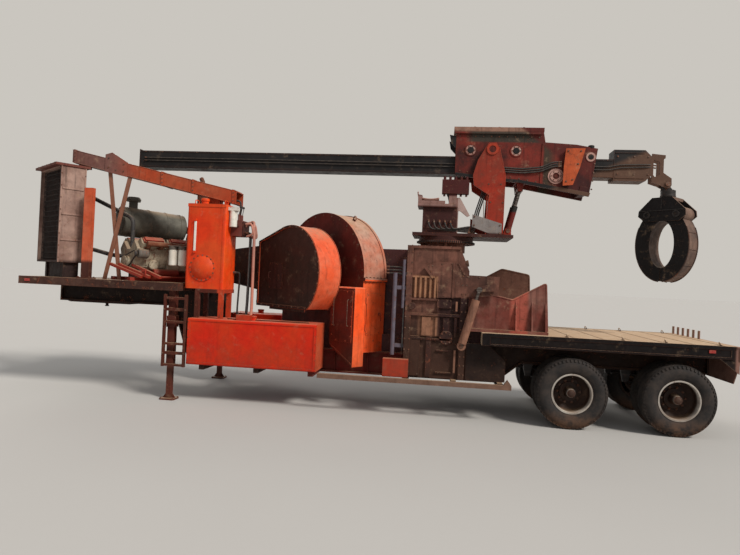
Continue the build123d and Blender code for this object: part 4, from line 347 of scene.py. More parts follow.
# Paints, as painted takes them: sound colour, bleached colour, wear, and what is different by facing or place
PAINTS = {
    "orange": (None, (198, 50, 14), (0.1, 0.4, 0.6, 0.25, 0.46), {
        # Painted light: faces that look rearwards get a lighter orange, as lit from the rear
        "face": (rear, (208, 78, 42), (204, 98, 66))}),
    "tank_orange": ((212, 54, 14), (208, 74, 28), (0.1, 0.4, 0.6, 0.3, 0.46), {
        # Painted light: faces that look rearwards get a brighter orange, as lit from the rear
        "face": (rear, (238, 70, 18), (234, 90, 34))}),
    "post": ((190, 78, 44), (196, 102, 72), (0.2, 0.4, 0.6, 0.3, 0.48), {"mottle": 0.5, "patches": [
        ((70, 36, 28), (up, 2.22, 2.14)),
        ((138, 92, 72), (right, -0.86, -0.8))]}),
    "guard": ((222, 88, 50), (224, 116, 82), (0.25, 0.5, 0.6, 0.5, 0.45), {
        # Painted shade with dirt: faces that look along the drive line take a dark brown, their shade on top
        # of their grime
        "mottle": 0.5, "face": (along, (62, 32, 24), (46, 30, 22))}),
    "hood": ((188, 112, 86), (186, 144, 124), (0.35, 0.6, 0.6, 0.5, 0.5), {
        # Painted shade: faces that look along the drive line take a dark red, as they lie in shade
        "mottle": 0.6, "face": (along, (106, 31, 22), (78, 28, 22))}),
    # Painted light and shade: faces that look along the drive line take a dark red, as in shade, the others a
    # bright orange, as lit
    "base": ((244, 86, 36), (240, 102, 56), (0.25, 0.6, 0.6, 0.5, 0.45), {
        "mottle": 0.5, "face": (along, (112, 34, 22), (80, 32, 25))}),
    "throat": ((74, 40, 38), (56, 34, 36), (0.4, 0.5, 0.5, 0.4, 0.6), {"mottle": 0.6, "patches": [
        ((98, 90, 100), (right, -0.88, -0.92))]}),
    "spout": ((172, 68, 36), (166, 78, 48), (0.3, 0.5, 0.6, 0.5, 0.55), {
        "mottle": 0.6, "face": (up, (136, 92, 72), (116, 82, 68)),
        "patches": [((118, 80, 72), (rear, -3.6, -4.3))]}),
    "brown": ((120, 78, 64), (78, 50, 41), (0.32, 0.6, 0.5, 0.6, 0.62), {
        "mottle": 0.85, "rust": (88, 50, 36), "patches": [
            ((66, 42, 32), (up, 1.7, 1.35)),
            # Painted shade: a dark patch where the wall's open recess lies in shade
            ((50, 27, 24), (rear, 1.4, 1.46), (up, 1.28, 1.34), (up, 1.88, 1.84)),
            # Painted light: lighter tan where the louvres and the plates below them catch the light
            ((164, 116, 86), (rear, 1.0, 1.03), (rear, 1.42, 1.38), (up, 1.83, 1.86), (up, 2.2, 2.16)),
            ((146, 102, 78), (rear, 1.1, 1.16), (rear, 1.44, 1.4), (up, 1.22, 1.28), (up, 1.6, 1.52))]}),
    "dark_brown": ((66, 38, 31), (40, 25, 22), (0.5, 0.5, 0.5, 0.4, 0.6), {"mottle": 0.6}),
    "skirt": ((32, 20, 17), (24, 16, 14), (0.3, 0.5, 0.4, 0.3, 0.65), {"patches": [
        ((126, 96, 80), (right, 1.13, 1.15, True))]}),
    "trough": ((112, 54, 44), (132, 88, 76), (0.4, 0.6, 0.6, 0.6, 0.55), {"mottle": 0.75, "patches": [
        ((112, 76, 62), (right, 0.1, 0.4)),
        ((164, 82, 66), (rear, 2.5, 2.56), (rear, 2.82, 2.76), (right, -0.5, -0.6))]}),
    "turret": ((156, 44, 24), (128, 50, 34), (0.35, 0.6, 0.6, 0.4, 0.5), {"mottle": 0.6, "patches": [
        ((136, 128, 124), (right, 0.342, 0.346, True)),
        ((64, 34, 30), (up, 2.96, 2.92))]}),
    "station": ((58, 26, 23), (76, 44, 40), (0.4, 0.9, 0.6, 0.4, 0.55), {"mottle": 0.7, "patches": [
        # Painted light: a lighter band on the station's tops, where the sun falls on them
        ((140, 106, 98), (up, 3.33, 3.36)),
        ((72, 27, 26), (up, 3.5, 3.54)),
        ((172, 146, 138), (rear, 1.665, 1.675), (right, -0.36, -0.38), (up, 3.54, 3.52))]}),
    "valves": ((104, 44, 36), (128, 84, 76), (0.3, 0.6, 0.6, 0.4, 0.5), {"mottle": 0.7, "patches": [
        ((222, 216, 204), (right, -0.865, -0.87))]}),
    "head": ((124, 43, 32), (56, 26, 23), (0.35, 0.6, 0.6, 0.6, 0.5), {"mottle": 0.8, "patches": [
        ((64, 26, 24), (rear, 3.45, 3.62)),
        ((62, 54, 46), (up, 4.45, 4.49), (rear, 1.7, 1.9)),
        ((66, 52, 40), (rear, 3.02, 3.06), (rear, 3.3, 3.1)),
        # Painted light: the top of the head is paler, where the sun falls on it
        ((150, 112, 94), (up, 4.62, 4.65)),
        ((92, 34, 28), ((0.6, 0.0, 0.8), 5.32, 5.4)),
        ((188, 84, 44), (right, 0.29, 0.293, True), (rear, 3.3, 3.32))]}),
    "boom": ((26, 25, 26), (38, 35, 35), (0.12, 0.3, 0.5, 0.3, 0.46), {"patches": [
        ((92, 66, 52), ((0.45, 0.0, -1.0), -2.32, -2.22))]}),
    "frame": ((30, 20, 17), (42, 29, 24), (0.4, 0.6, 0.5, 0.3, 0.68), {"grime_top": 1.8, "patches": [
        ((104, 22, 17), (rear, 0.98, 0.88, True))]}),
    "deck_plate": ((176, 154, 130), (198, 180, 154), (0.2, 0.9, 0.3, 0.2, 0.8), {
        # Painted shade: faces that look sideways are near black, as the deck's sides lie in shade
        "face": (right, (20, 12, 11), (14, 9, 9)),
        "patches": [((134, 98, 86), (rear, 5.66, 5.7))]}),
    "engine_deck": ((56, 32, 26), (84, 58, 48), (0.5, 0.7, 0.5, 0.4, 0.65), {"mottle": 0.7}),
    "leg": ((96, 34, 24), (78, 38, 28), (0.5, 0.5, 0.5, 0.4, 0.6), {"mottle": 0.7}),
    "steps": ((84, 30, 19), (74, 38, 28), (0.45, 0.8, 0.6, 0.3, 0.6), {"mottle": 0.7}),
    "stand": ((84, 30, 19), (74, 38, 28), (0.45, 0.5, 0.6, 0.3, 0.6), {"mottle": 0.7, "patches": [
        ((186, 60, 28), (rear, -2.14, -2.1))]}),
    "pale": ((164, 134, 120), (138, 108, 96), (0.3, 0.4, 0.6, 0.6, 0.6), {}),
    "cooler": ((164, 134, 120), (132, 102, 90), (0.3, 0.4, 0.6, 0.6, 0.6), {
        # Painted shade: faces that look along the drive line are dark, as they lie in shade
        "mottle": 0.7, "face": (along, (72, 44, 38), (56, 38, 34)), "patches": [
            ((44, 28, 25), (up, 2.2, 2.13)),
            ((108, 58, 48), (up, 3.73, 3.75))]}),
    "core": ((48, 37, 34), (36, 29, 28), (0.3, 0.4, 0.4, 0.5, 0.7), {}),
    "green_grey": ((84, 82, 74), (104, 101, 90), (0.2, 0.5, 0.4, 0.3, 0.6), {"mottle": 0.7}),
    "engine": ((140, 124, 104), (188, 176, 152), (0.45, 0.6, 0.5, 0.5, 0.55), {"mottle": 0.9, "patches": [
        ((128, 44, 32), (up, 2.12, 2.02))]}),
    "engine_red": ((150, 48, 34), (128, 56, 44), (0.3, 0.4, 0.5, 0.4, 0.5), {}),
    "white": ((226, 222, 212), (212, 204, 190), (0.06, 0.3, 0.4, 0.3, 0.45), {}),
    "tan": ((152, 108, 86), (124, 86, 70), (0.3, 0.5, 0.5, 0.5, 0.55), {"mottle": 0.6}),
    "rim": ((196, 190, 180), (168, 158, 146), (0.28, 0.3, 0.5, 0.3, 0.55), {"patches": [
        # Painted shade: the rims are dark further in, where the deep dish lies in shade
        ((44, 34, 30), (right, 1.155, 1.08, True))]}),
    "hub": ((58, 42, 36), (84, 62, 52), (0.3, 0.3, 0.5, 0.3, 0.6), {}),
    "tool_box": ((176, 52, 26), (148, 58, 38), (0.3, 0.5, 0.6, 0.3, 0.55), {}),
    "ring": ((186, 146, 134), (150, 104, 94), (0.25, 0.3, 0.5, 0.3, 0.55), {}),
    "salmon": ((196, 128, 108), (170, 120, 106), (0.2, 0.4, 0.4, 0.3, 0.5), {}),
    # Painted shade with dirt: the dark brown of the guard's shaded face, for the cover that sits on it
    "guard_dark": ((66, 34, 28), (48, 27, 24), (0.35, 0.5, 0.7, 0.5, 0.5), {}),
    "rusty_iron": ((96, 58, 42), (122, 76, 54), (0.7, 0.4, 0.4, 0.3, 0.75), {}),
    "engine_grey": ((112, 106, 98), (90, 82, 74), (0.35, 0.4, 0.5, 0.3, 0.5), {}),
    # Painted light: the pale pink stands for the seat's sunlit top
    "seat": ((196, 156, 146), (164, 122, 112), (0.2, 0.5, 0.4, 0.2, 0.55), {}),
    "barrel": ((30, 31, 29), (42, 40, 37), (0.3, 0.4, 0.6, 0.4, 0.5), {"patches": [
        ((98, 30, 24), (up, 3.34, 3.3))]}),
    "jaw_edge": ((98, 76, 66), (58, 46, 42), (0.4, 0.3, 0.5, 0.3, 0.55), {}),
    "jaw": ((116, 90, 76), (80, 62, 54), (0.35, 0.3, 0.4, 0.3, 0.55), {
        # Painted shade: faces that look along the pins are near black, as the jaws' sides lie in shade
        "mottle": 0.7, "rust": (62, 48, 42), "face": (grapple_face, (30, 26, 27), (22, 19, 20))}),
}
# Steels, as bare_steel takes them
STEELS = {
    "steel": ((150, 142, 136), (86, 76, 70)),
    "dark_steel": ((58, 52, 50), (34, 30, 29), 0.5, 0.56, 0.74, 0.4),
    "bolt": ((132, 116, 104), (78, 62, 54), 0.5, 0.42, 0.56),
    "rod": ((132, 124, 118), (74, 66, 62), 0.3, 0.62, 0.8, 0.85),
}
OTHER_FINISHES = {"lamp": lens, "hose": lines, "rubber_black": lines, "rubber": rubber}

# Solids of each finish
FINISHED_NODES = {
    "frame": ("main_frame", "coupling_plate", "axles"),
    "brown": ("feed_frame", "feed_yoke", "loader_pedestal"),
    "base": ("disc_base", "bearing_housing"),
    "steel": ("lower_feed_roll", "upper_feed_roll"),
    "rod": ("feed_rods", "lift_rods"),
    "dark_steel": ("springs", "cooling_fan", "boom_rollers", "hanger"),
    "jaw": ("grapple_head", "jaw_front", "jaw_rear"),
    "engine_deck": ("engine_deck",), "leg": ("landing_legs",), "steps": ("access_steps",),
    "orange": ("side_tanks",), "tank_orange": ("hydraulic_tank",), "stand": ("tank_stand",),
    "valves": ("filter_and_valves",), "guard": ("belt_guard",), "dark_brown": ("belt_tunnel",),
    "hood": ("disc_hood",), "throat": ("feed_throat",), "tan": ("feed_barrels",),
    "trough": ("infeed_trough",), "deck_plate": ("rear_deck",), "skirt": ("side_skirts",),
    "cooler": ("cooler_shroud",), "core": ("cooler_core",), "engine": ("engine",),
    "green_grey": ("air_cleaner",), "post": ("front_frame",), "spout": ("discharge_spout",),
    "tool_box": ("tool_box",), "lamp": ("lamps",), "turret": ("turret",), "station": ("operator_station",),
    "barrel": ("lift_barrels",), "head": ("boom_head",), "boom": ("slide_boom",),
}

# Materials by name, filled by the finishes operator
LIBRARY = {}


def make_finishes():
    """Fill the library with every material."""
    for name, (sound, bleached, wear, others) in PAINTS.items():
        LIBRARY[name] = painted(name, sound, bleached, wear, **others)
    for name, values in STEELS.items():
        LIBRARY[name] = bare_steel(name, *values)
    for name, recipe in OTHER_FINISHES.items():
        LIBRARY[name] = recipe(name)


# Places and outlines


def unit(vector):
    """The same direction with a length of 1."""
    vector = np.asarray(vector, float)
    return vector / np.linalg.norm(vector)


def square_to(direction):
    """Two directions at right angles to one and to each other."""
    side = unit(np.cross(direction, up if abs(direction[2]) < 0.9 else rear))
    return side, np.cross(direction, side)


def skew_at(p, a, z):
    """Point by its distance across and along the skewed drive line, and its height."""
    return across * p + along * a + up * z


def on_plane(flat, origin, first, second):
    """Points of a plane, given along its two directions, as points in space."""
    flat = np.asarray(flat, float)
    return np.asarray(origin, float) + flat[:, :1] * np.asarray(first) + flat[:, 1:] * np.asarray(second)


def on_skew(flat, a):
    """Points (p, z) of the plane square to the drive line at one distance along it."""
    return on_plane(flat, along * a, across, up)


def on_side(flat, y):
    """Points (x, z) of a face that looks sideways at y."""
    return on_plane(flat, right * y, rear, up)


def about(middle, half):
    """Both ends of a span, given by its middle."""
    return middle - half, middle + half


def oblong(u_low, u_high, v_low, v_high):
    """Corners of a rectangle."""
    return [(u_low, v_low), (u_high, v_low), (u_high, v_high), (u_low, v_high)]


def ring_outline(radius, sides, first=0.0):
    """Regular outline round the origin."""
    angle = first + np.arange(sides) * 2 * np.pi / sides
    return np.stack([radius * np.cos(angle), radius * np.sin(angle)], axis=1)


def row(start, end, count):
    """Evenly spaced points from start to end."""
    return np.linspace(np.asarray(start, float), np.asarray(end, float), count)


def circle(centre, axis, radius, count, first=0.0):
    """Evenly spaced points round a circle square to the axis."""
    return on_plane(ring_outline(radius, count, first), centre, *square_to(unit(axis)))


def closed(path):
    """The path with its first point again at the end."""
    return np.vstack([path, path[:1]])


def walk(start, *moves):
    """Corners of a path: its start, then the place after each move."""
    return np.cumsum(np.array([start, *moves], float), axis=0)


def bent(corners, reach=0.06, steps=5):
    """Path through the corners; each inner corner is cut by a parabola that starts and ends at the reach."""
    corners = np.asarray(corners, float)
    path = [corners[0]]
    for before, corner, after in zip(corners, corners[1:], corners[2:]):
        start = corner + unit(before - corner) * min(reach, np.linalg.norm(before - corner) * 0.45)
        end = corner + unit(after - corner) * min(reach, np.linalg.norm(after - corner) * 0.45)
        for share in np.linspace(0.0, 1.0, steps):
            path.append(start * (1 - share) ** 2 + 2 * corner * share * (1 - share) + end * share ** 2)
    path.append(corners[-1])
    return np.array(path)


def along_outline(outline, pitch):
    """Points at about one pitch along a closed straight-sided outline."""
    outline = np.asarray(outline, float)
    places = []
    for start, end in zip(outline, np.roll(outline, -1, axis=0)):
        count = max(1, int(np.linalg.norm(end - start) / pitch))
        places.extend(start + (end - start) * (i + 0.5) / count for i in range(count))
    return np.array(places)


# Meshes from numpy arrays


class Shape:
    """Collects patches of vertices and faces, and makes one object of them."""

    def __init__(self):
        self.points, self.faces, self.count = [], [], 0

    def add(self, points, faces):
        """Add one patch; its faces count from its own first point."""
        points = np.asarray(points, float).reshape(-1, 3)
        self.points.append(points)
        self.faces.extend([tuple(int(i) + self.count for i in face) for face in faces])
        self.count += len(points)

    def grid(self, points, wrap_u=False, wrap_v=False):
        """Quads over a grid of points [u, v]; an edge may wrap onto the first row or column."""
        rows, columns = points.shape[:2]
        u = np.arange(rows if wrap_u else rows - 1)
        v = np.arange(columns if wrap_v else columns - 1)
        u, v = (a.ravel() for a in np.meshgrid(u, v, indexing="ij"))
        after_u, after_v = (u + 1) % rows, (v + 1) % columns
        quads = np.stack([u * columns + v, after_u * columns + v, after_u * columns + after_v,
                          u * columns + after_v], axis=1)
        self.add(points, quads.tolist())

    def tube(self, path, radius, sides=8):
        """Circle carried along a path, its frame turned as little as possible, with both ends closed."""
        path = np.asarray(path, float)
        heading = np.gradient(path, axis=0)
        heading /= np.linalg.norm(heading, axis=1, keepdims=True)
        side = np.cross(heading[0], up if abs(heading[0][2]) < 0.9 else rear)
        outline = ring_outline(radius, sides)
        rings = []
        for centre, direction in zip(path, heading):
            side = unit(side - direction * side.dot(direction))
            rings.append(on_plane(outline, centre, side, np.cross(direction, side)))
        rings = np.array(rings)
        self.grid(rings, wrap_v=True)
        self.add(rings[0], [list(range(sides))])
        self.add(rings[-1], [list(range(sides))[::-1]])

    def bar(self, start, end, radius, sides=8, rings=2):
        """Straight tube between two points."""
        self.tube(row(start, end, rings), radius, sides)

    def handle(self, start, end, lift, bend, radius):
        """Bent grip that stands off a face by the lift."""
        self.tube(bent([start, start + lift, end + lift, end], bend), radius)

    def turned(self, outline, centre, axis, steps):
        """Closed outline of (distance along the axis, radius) points turned about the axis."""
        outline = np.asarray(outline, float)
        axis = unit(axis)
        side, other = square_to(axis)
        angle = np.arange(steps) * 2 * np.pi / steps
        spokes = np.outer(np.cos(angle), side) + np.outer(np.sin(angle), other)
        points = (np.asarray(centre, float) + outline[None, :, :1] * axis
                  + outline[None, :, 1:] * spokes[:, None, :])
        self.grid(points, wrap_u=True, wrap_v=True)

    def knob(self, outline, centre, axis, steps=24, core=AXIS):
        """Solid turned piece: the outline is closed at the axis at both ends."""
        self.turned([(outline[0][0], core), *outline, (outline[-1][0], core)], centre, axis, steps)

    def collar(self, centre, axis, inner, outer, depth, chamfer=0.0, flare=0.0, steps=40):
        """Ring on a face: its outer edge narrows by the chamfer, its bore widens by the flare."""
        self.turned([(0.0, inner), (0.0, outer), (depth, outer - chamfer), (depth, inner + flare)],
                    centre, axis, steps)

    def drum(self, start, end, radius, sides=24, round_over=0.0):
        """Round bar between two points, with its rims rounded over by a short cone."""
        run = np.asarray(end, float) - start
        length = np.linalg.norm(run)
        outline = [(0, radius - round_over), (round_over, radius), (length - round_over, radius),
                   (length, radius - round_over)]
        self.knob(outline if round_over else outline[::3], start, run, sides, AXIS / 10)

    def hinge(self, middle, radius):
        """Upright hinge pin."""
        self.drum(middle - up * 0.05, middle + up * 0.05, radius, 12, 0.002)

    def prism(self, outline, origin, first, second, depth):
        """Outline in the plane of two directions, thickened by a depth vector."""
        low = on_plane(outline, origin, first, second)
        high = low + np.asarray(depth, float)
        count = len(low)
        faces = [list(range(count))[::-1], list(range(count, 2 * count))]
        faces += [[i, (i + 1) % count, count + (i + 1) % count, count + i] for i in range(count)]
        self.add(np.vstack([low, high]), faces)

    def plate(self, corner, opposite):
        """Flat bar or plate between two corners."""
        low, high = np.sort(np.array([corner, opposite], float), axis=0)
        size = high - low
        self.prism(oblong(0, size[0], 0, size[1]), low, rear, right, up * size[2])

    def side_plate(self, outline, y, depth):
        """Outline of (x, z) points on a face that looks sideways at y."""
        self.prism(outline, right * y, rear, up, right * depth)

    def skew_plate(self, outline, a, depth):
        """Outline of (p, z) points on a face square to the drive line."""
        self.prism(outline, along * a, across, up, along * depth)

    def plate_skew(self, p, a, z):
        """Bar between two corners whose sides follow the skewed drive line."""
        self.skew_plate(oblong(*p, *z), a[0], a[1] - a[0])

    def bolts(self, places, direction, radius=0.010, height=0.009):
        """Hexagon heads with a washer at every place, standing along the direction."""
        direction = unit(direction)
        for place in np.asarray(places, float).reshape(-1, 3):
            for size, low, high, sides in ((radius * 1.35, 0.0, 0.003, 12), (radius, 0.003, height, 6)):
                self.prism(ring_outline(size, sides), place + direction * low, *square_to(direction),
                           direction * (high - low))

    def line_end(self, place, direction, radius):
        """Crimped sleeve and hexagon of a hydraulic line's end."""
        direction = unit(direction)
        self.drum(place, place + direction * radius * 3.2, radius * 1.35, 12, radius * 0.2)
        self.prism(ring_outline(radius * 1.6, 6), place - direction * radius * 1.2, *square_to(direction),
                   direction * radius * 1.2)

    def piece(self, name, body, finish, slot, smooth_deg=30.0, bevel=0.0):
        """Make the object, give it its finish and let it ride on its body."""
        mesh = bpy.data.meshes.new(name)
        mesh.from_pydata(np.vstack(self.points).tolist(), [], self.faces)
        mesh.materials.append(LIBRARY[finish])
        mesh.validate()
        work = bmesh.new()
        work.from_mesh(mesh)
        bmesh.ops.remove_doubles(work, verts=work.verts, dist=0.00002)
        bmesh.ops.recalc_face_normals(work, faces=work.faces)
        work.to_mesh(mesh)
        work.free()
        made = bpy.data.objects.new(name, mesh)
        bpy.context.scene.collection.objects.link(made)
        mesh.shade_smooth()
        mesh.set_sharp_from_angle(angle=math.radians(smooth_deg))
        if bevel:
            rounding = made.modifiers.new("rounding", "BEVEL")
            rounding.width = bevel
            rounding.segments = 2
            rounding.limit_method = "ANGLE"
        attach(made, body)
        return made


def line_set(name, body, runs, radius, finish="hose", slot="tyre_rubber"):
    """Formed hydraulic lines with an end fitting at both ends of each run."""
    pipes, ends = Shape(), Shape()
    for corners in runs:
        path = bent(corners)
        pipes.tube(path, radius, 10)
        ends.line_end(path[0], path[1] - path[0], radius)
        ends.line_end(path[-1], path[-2] - path[-1], radius)
    pipes.piece(name, body, finish, slot, 50.0)
    ends.piece(name + "_ends", body, "bolt", slot, 40.0)


# Operators, one for each piece or group of like pieces


class CHIPPER_OT_stage(bpy.types.Operator):
    """Plain floor, soft lamps and the camera at the photograph's viewing angle"""

    bl_idname = "chipper.stage"
    bl_label = "Stage"

    def execute(self, context):
        stage = context.scene.chipper_stage
        self.floor(stage)
        self.world(stage)
        self.suns(stage)
        self.camera(stage)
        context.scene.view_settings.view_transform = "Standard"
        return {"FINISHED"}

    def floor(self, stage):
        """Plain floor that reaches past the view."""
        reach = 400.0
        mesh = bpy.data.meshes.new("floor")
        corners = [(x, y, 0.0) for x, y in oblong(-reach, reach, -reach, reach)]
        mesh.from_pydata(corners, [], [(0, 1, 2, 3)])
        finish = Finish("floor")
        clouds = finish.band(finish.noise(0.6, 3.0, 0.5), 0.3, 0.7, 0.0, 0.04)
        finish.surface(base_color=finish.mix(clouds, tuple(stage.floor_colour), rgb(166, 161, 154)),
                       roughness=0.95, specular_ior_level=0.1)
        mesh.materials.append(finish.material)
        floor = bpy.data.objects.new("floor", mesh)
        bpy.context.scene.collection.objects.link(floor)

    def world(self, stage):
        """Even light on the object, and a backdrop that continues the far floor."""
        world = bpy.data.worlds.new("studio")
        bpy.context.scene.world = world
        world.use_nodes = True
        tree = world.node_tree
        tree.nodes.clear()
        light, shown = (tree.nodes.new("ShaderNodeBackground") for _ in range(2))
        light.inputs["Color"].default_value = rgb(246, 248, 252)
        light.inputs["Strength"].default_value = stage.fill_level
        shown.inputs["Color"].default_value = rgb(202, 198, 191)
        path = tree.nodes.new("ShaderNodeLightPath")
        seen = path.outputs["Is Camera Ray"]
        for ray in ("Is Glossy Ray", "Is Transmission Ray"):
            either = tree.nodes.new("ShaderNodeMath")
            either.operation = "MAXIMUM"
            tree.links.new(seen, either.inputs[0])
            tree.links.new(path.outputs[ray], either.inputs[1])
            seen = either.outputs[0]
        choice = tree.nodes.new("ShaderNodeMixShader")
        output = tree.nodes.new("ShaderNodeOutputWorld")
        for index, source in enumerate((seen, light.outputs[0], shown.outputs[0])):
            tree.links.new(source, choice.inputs[index])
        tree.links.new(choice.outputs[0], output.inputs["Surface"])

    def suns(self, stage):
        """A soft key from the right, and a wider, weaker light from behind."""
        suns = (
            # name, the way that the light comes from, width in degrees, share of the key's strength
            ("key_sun", (0.62, -0.42, 0.66), 14.0, 1.0),
            ("back_sun", (-0.5, 0.7, 0.55), 30.0, 0.22),
        )
        for name, source, width, share in suns:
            data = bpy.data.lights.new(name, "SUN")
            data.angle = math.radians(width)
            data.energy = stage.key_strength * share
            data.color = (1.0, 0.965, 0.92)
            lamp = bpy.data.objects.new(name, data)
            bpy.context.scene.collection.objects.link(lamp)
            lamp.rotation_euler = (-Vector(source)).to_track_quat("-Z", "Y").to_euler()

    def camera(self, stage):
        """Camera found from the wheels, the deck and the frame in the photograph."""
        place = (1.4335, -10.069, 2.0458)
        yaw, pitch, roll = -0.1203, 0.0075, 0.0458
        forward = Vector((math.sin(yaw) * math.cos(pitch), math.cos(yaw) * math.cos(pitch), math.sin(pitch)))
        level = Vector((math.cos(yaw), -math.sin(yaw), 0.0))
        upright = level.cross(forward)
        camera_x = math.cos(roll) * level + math.sin(roll) * upright
        camera_y = -math.sin(roll) * level + math.cos(roll) * upright
        data = bpy.data.cameras.new("camera")
        data.sensor_width = 36.0
        data.lens = stage.lens
        camera = bpy.data.objects.new("camera", data)
        bpy.context.scene.collection.objects.link(camera)
        camera.matrix_world = Matrix([(*column, 0.0) for column in (camera_x, camera_y, -forward)]
                                     + [(*place, 1.0)]).transposed()
        bpy.context.scene.camera = camera


class CHIPPER_OT_finishes(bpy.types.Operator):
    """Gives every solid its paint, steel or rubber"""

    bl_idname = "chipper.finishes"
    bl_label = "Finishes"

    def execute(self, context):
        make_finishes()
        kinds = {node: kind for kind, nodes in FINISHED_NODES.items() for node in nodes}
        for name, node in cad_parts.items():
            if name.startswith("tyres"):
                kind = "rubber"
            elif name.startswith("rims"):
                kind = "rim"
            else:
                kind = kinds[name]
            node.data.materials.clear()
            node.data.materials.append(LIBRARY[kind])
        return {"FINISHED"}


WHEELS = (
    # corner, x of the axle, side of the trailer
    ("front_left", 3.442, -1), ("front_right", 3.442, 1), ("rear_left", 4.947, -1), ("rear_right", 4.947, 1),
)
# Distances of the two tyres of a wheel pair from the trailer's middle
INNER_TYRE_Y, OUTER_TYRE_Y = 0.745, 1.08
WHEEL_HEIGHT = 0.525


class CHIPPER_OT_tyres(bpy.types.Operator):
    """Eight ribbed highway tyres with rounded shoulders and beads"""

    bl_idname = "chipper.tyres"
    bl_label = "Tyres"

    crown = 0.525
    tread_half = 0.108

    def execute(self, context):
        wheel = context.scene.chipper_wheels
        half, bead, shoulder_y, shoulder_drop = 0.14, 0.29, 0.092, 0.022
        # Section from bead to bead: sidewalls bulge as a half sine, the crown is a shallow arc with grooves.
        wall = np.linspace(0.0, 1.0, 14)
        wall_radius = bead + (self.crown - shoulder_drop - bead) * wall
        bulge = np.sin(np.pi * np.clip(wall * 0.94, 0, 1)) ** 0.8
        rim_ridge = 0.003 * (np.abs(wall - 0.2) < 0.05)
        wall_y = -(shoulder_y + (half - shoulder_y) * bulge) - rim_ridge
        grooves = np.array([-0.066, -0.022, 0.022, 0.066])
        lip, slope = wheel.groove_width / 2, 0.001
        groove_edges = (grooves[:, None] + [-lip - slope, -lip, lip, lip + slope]).ravel()
        ribs = np.linspace(-self.tread_half, self.tread_half, 7)
        tread_y = np.unique(np.round(np.concatenate([ribs, groove_edges]), 5))
        nearest = np.abs(tread_y[:, None] - grooves).min(axis=1)
        tread_radius = self.crown - 0.010 * (tread_y / self.tread_half) ** 2
        tread_radius = tread_radius - wheel.tread_depth * (nearest <= lip + 1e-6)
        outline = np.concatenate([
            np.stack([wall_y, wall_radius], axis=1),
            np.stack([tread_y, tread_radius], axis=1),
            np.stack([-wall_y[::-1], wall_radius[::-1]], axis=1),
            [(0.08, bead - 0.004), (-0.08, bead - 0.004)],
        ])
        for corner, x, side in WHEELS:
            shape = Shape()
            for y in (INNER_TYRE_Y, OUTER_TYRE_Y):
                centre = np.array([x, side * y, WHEEL_HEIGHT])
                shape.turned(outline, centre, right, wheel.steps)
                self.shoulder_lugs(shape, centre)
            tyres = shape.piece("treaded_tyres_" + corner, "wheels_" + corner, "rubber", "tyre_rubber", 40.0)
            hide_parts("tyres_" + corner)
        return {"FINISHED"}

    def shoulder_lugs(self, shape, centre):
        """Short blocks along both shoulders, as wide as the gaps between them."""
        count, width = 54, 0.028
        section = [(-0.004, 0.021), (0.014, 0.014), (0.026, -0.012), (-0.004, -0.004)]
        for turn in np.arange(count) * 2 * np.pi / count:
            outward = rear * np.cos(turn) + up * np.sin(turn)
            onward = up * np.cos(turn) - rear * np.sin(turn)
            base = centre + outward * (self.crown - 0.034)
            for edge in (-1, 1):
                outline = [(edge * (self.tread_half + y), z) for y, z in section]
                shape.prism(outline, base - onward * width / 2, right, outward, onward * width)


class CHIPPER_OT_wheel_nuts(bpy.types.Operator):
    """Studs and nuts round the wheel discs, oil caps on the hubs and tyre valves"""

    bl_idname = "chipper.wheel_nuts"
    bl_label = "Wheel nuts"

    def execute(self, context):
        disc_y = (INNER_TYRE_Y + OUTER_TYRE_Y) / 2 + 0.009
        hub_y, valve_y = OUTER_TYRE_Y + 0.05, OUTER_TYRE_Y + 0.09
        arc = np.linspace(0.0, np.pi / 2, 7)
        dome = [(0.012 + 0.016 * np.sin(a), 0.046 * np.cos(a) + 0.0005) for a in arc]
        for corner, x, side in WHEELS:
            outward = right * side
            centre = np.array([x, 0.0, WHEEL_HEIGHT])
            nuts = Shape()
            places = circle(centre + outward * disc_y, outward, 0.166, 10)
            nuts.bolts(places, outward, 0.021, 0.026)
            for place in places:
                nuts.drum(place + outward * 0.02, place + outward * 0.046, 0.011, 12, 0.002)
            nuts.piece("wheel_nuts_" + corner, "wheels_" + corner, "bolt", "rim_paint")
            caps = Shape()
            face = centre + outward * hub_y
            caps.turned([(-0.004, 0.0005), (-0.004, 0.058), (0.012, 0.058)] + dome, face, outward, 32)
            caps.bolts(circle(face + outward * 0.01, outward, 0.052, 6), outward, 0.0065, 0.007)
            valve = centre + outward * valve_y + up * 0.262
            caps.bar(valve - outward * 0.03, valve + outward * 0.018 - up * 0.02, 0.0045, 8, 4)
            caps.piece("hub_cap_" + corner, "wheels_" + corner, "hub", "rim_paint")
        return {"FINISHED"}


# Middle of the shaft, across the drive line and above the ground
SHAFT_P, SHAFT_Z = -0.374, 2.145


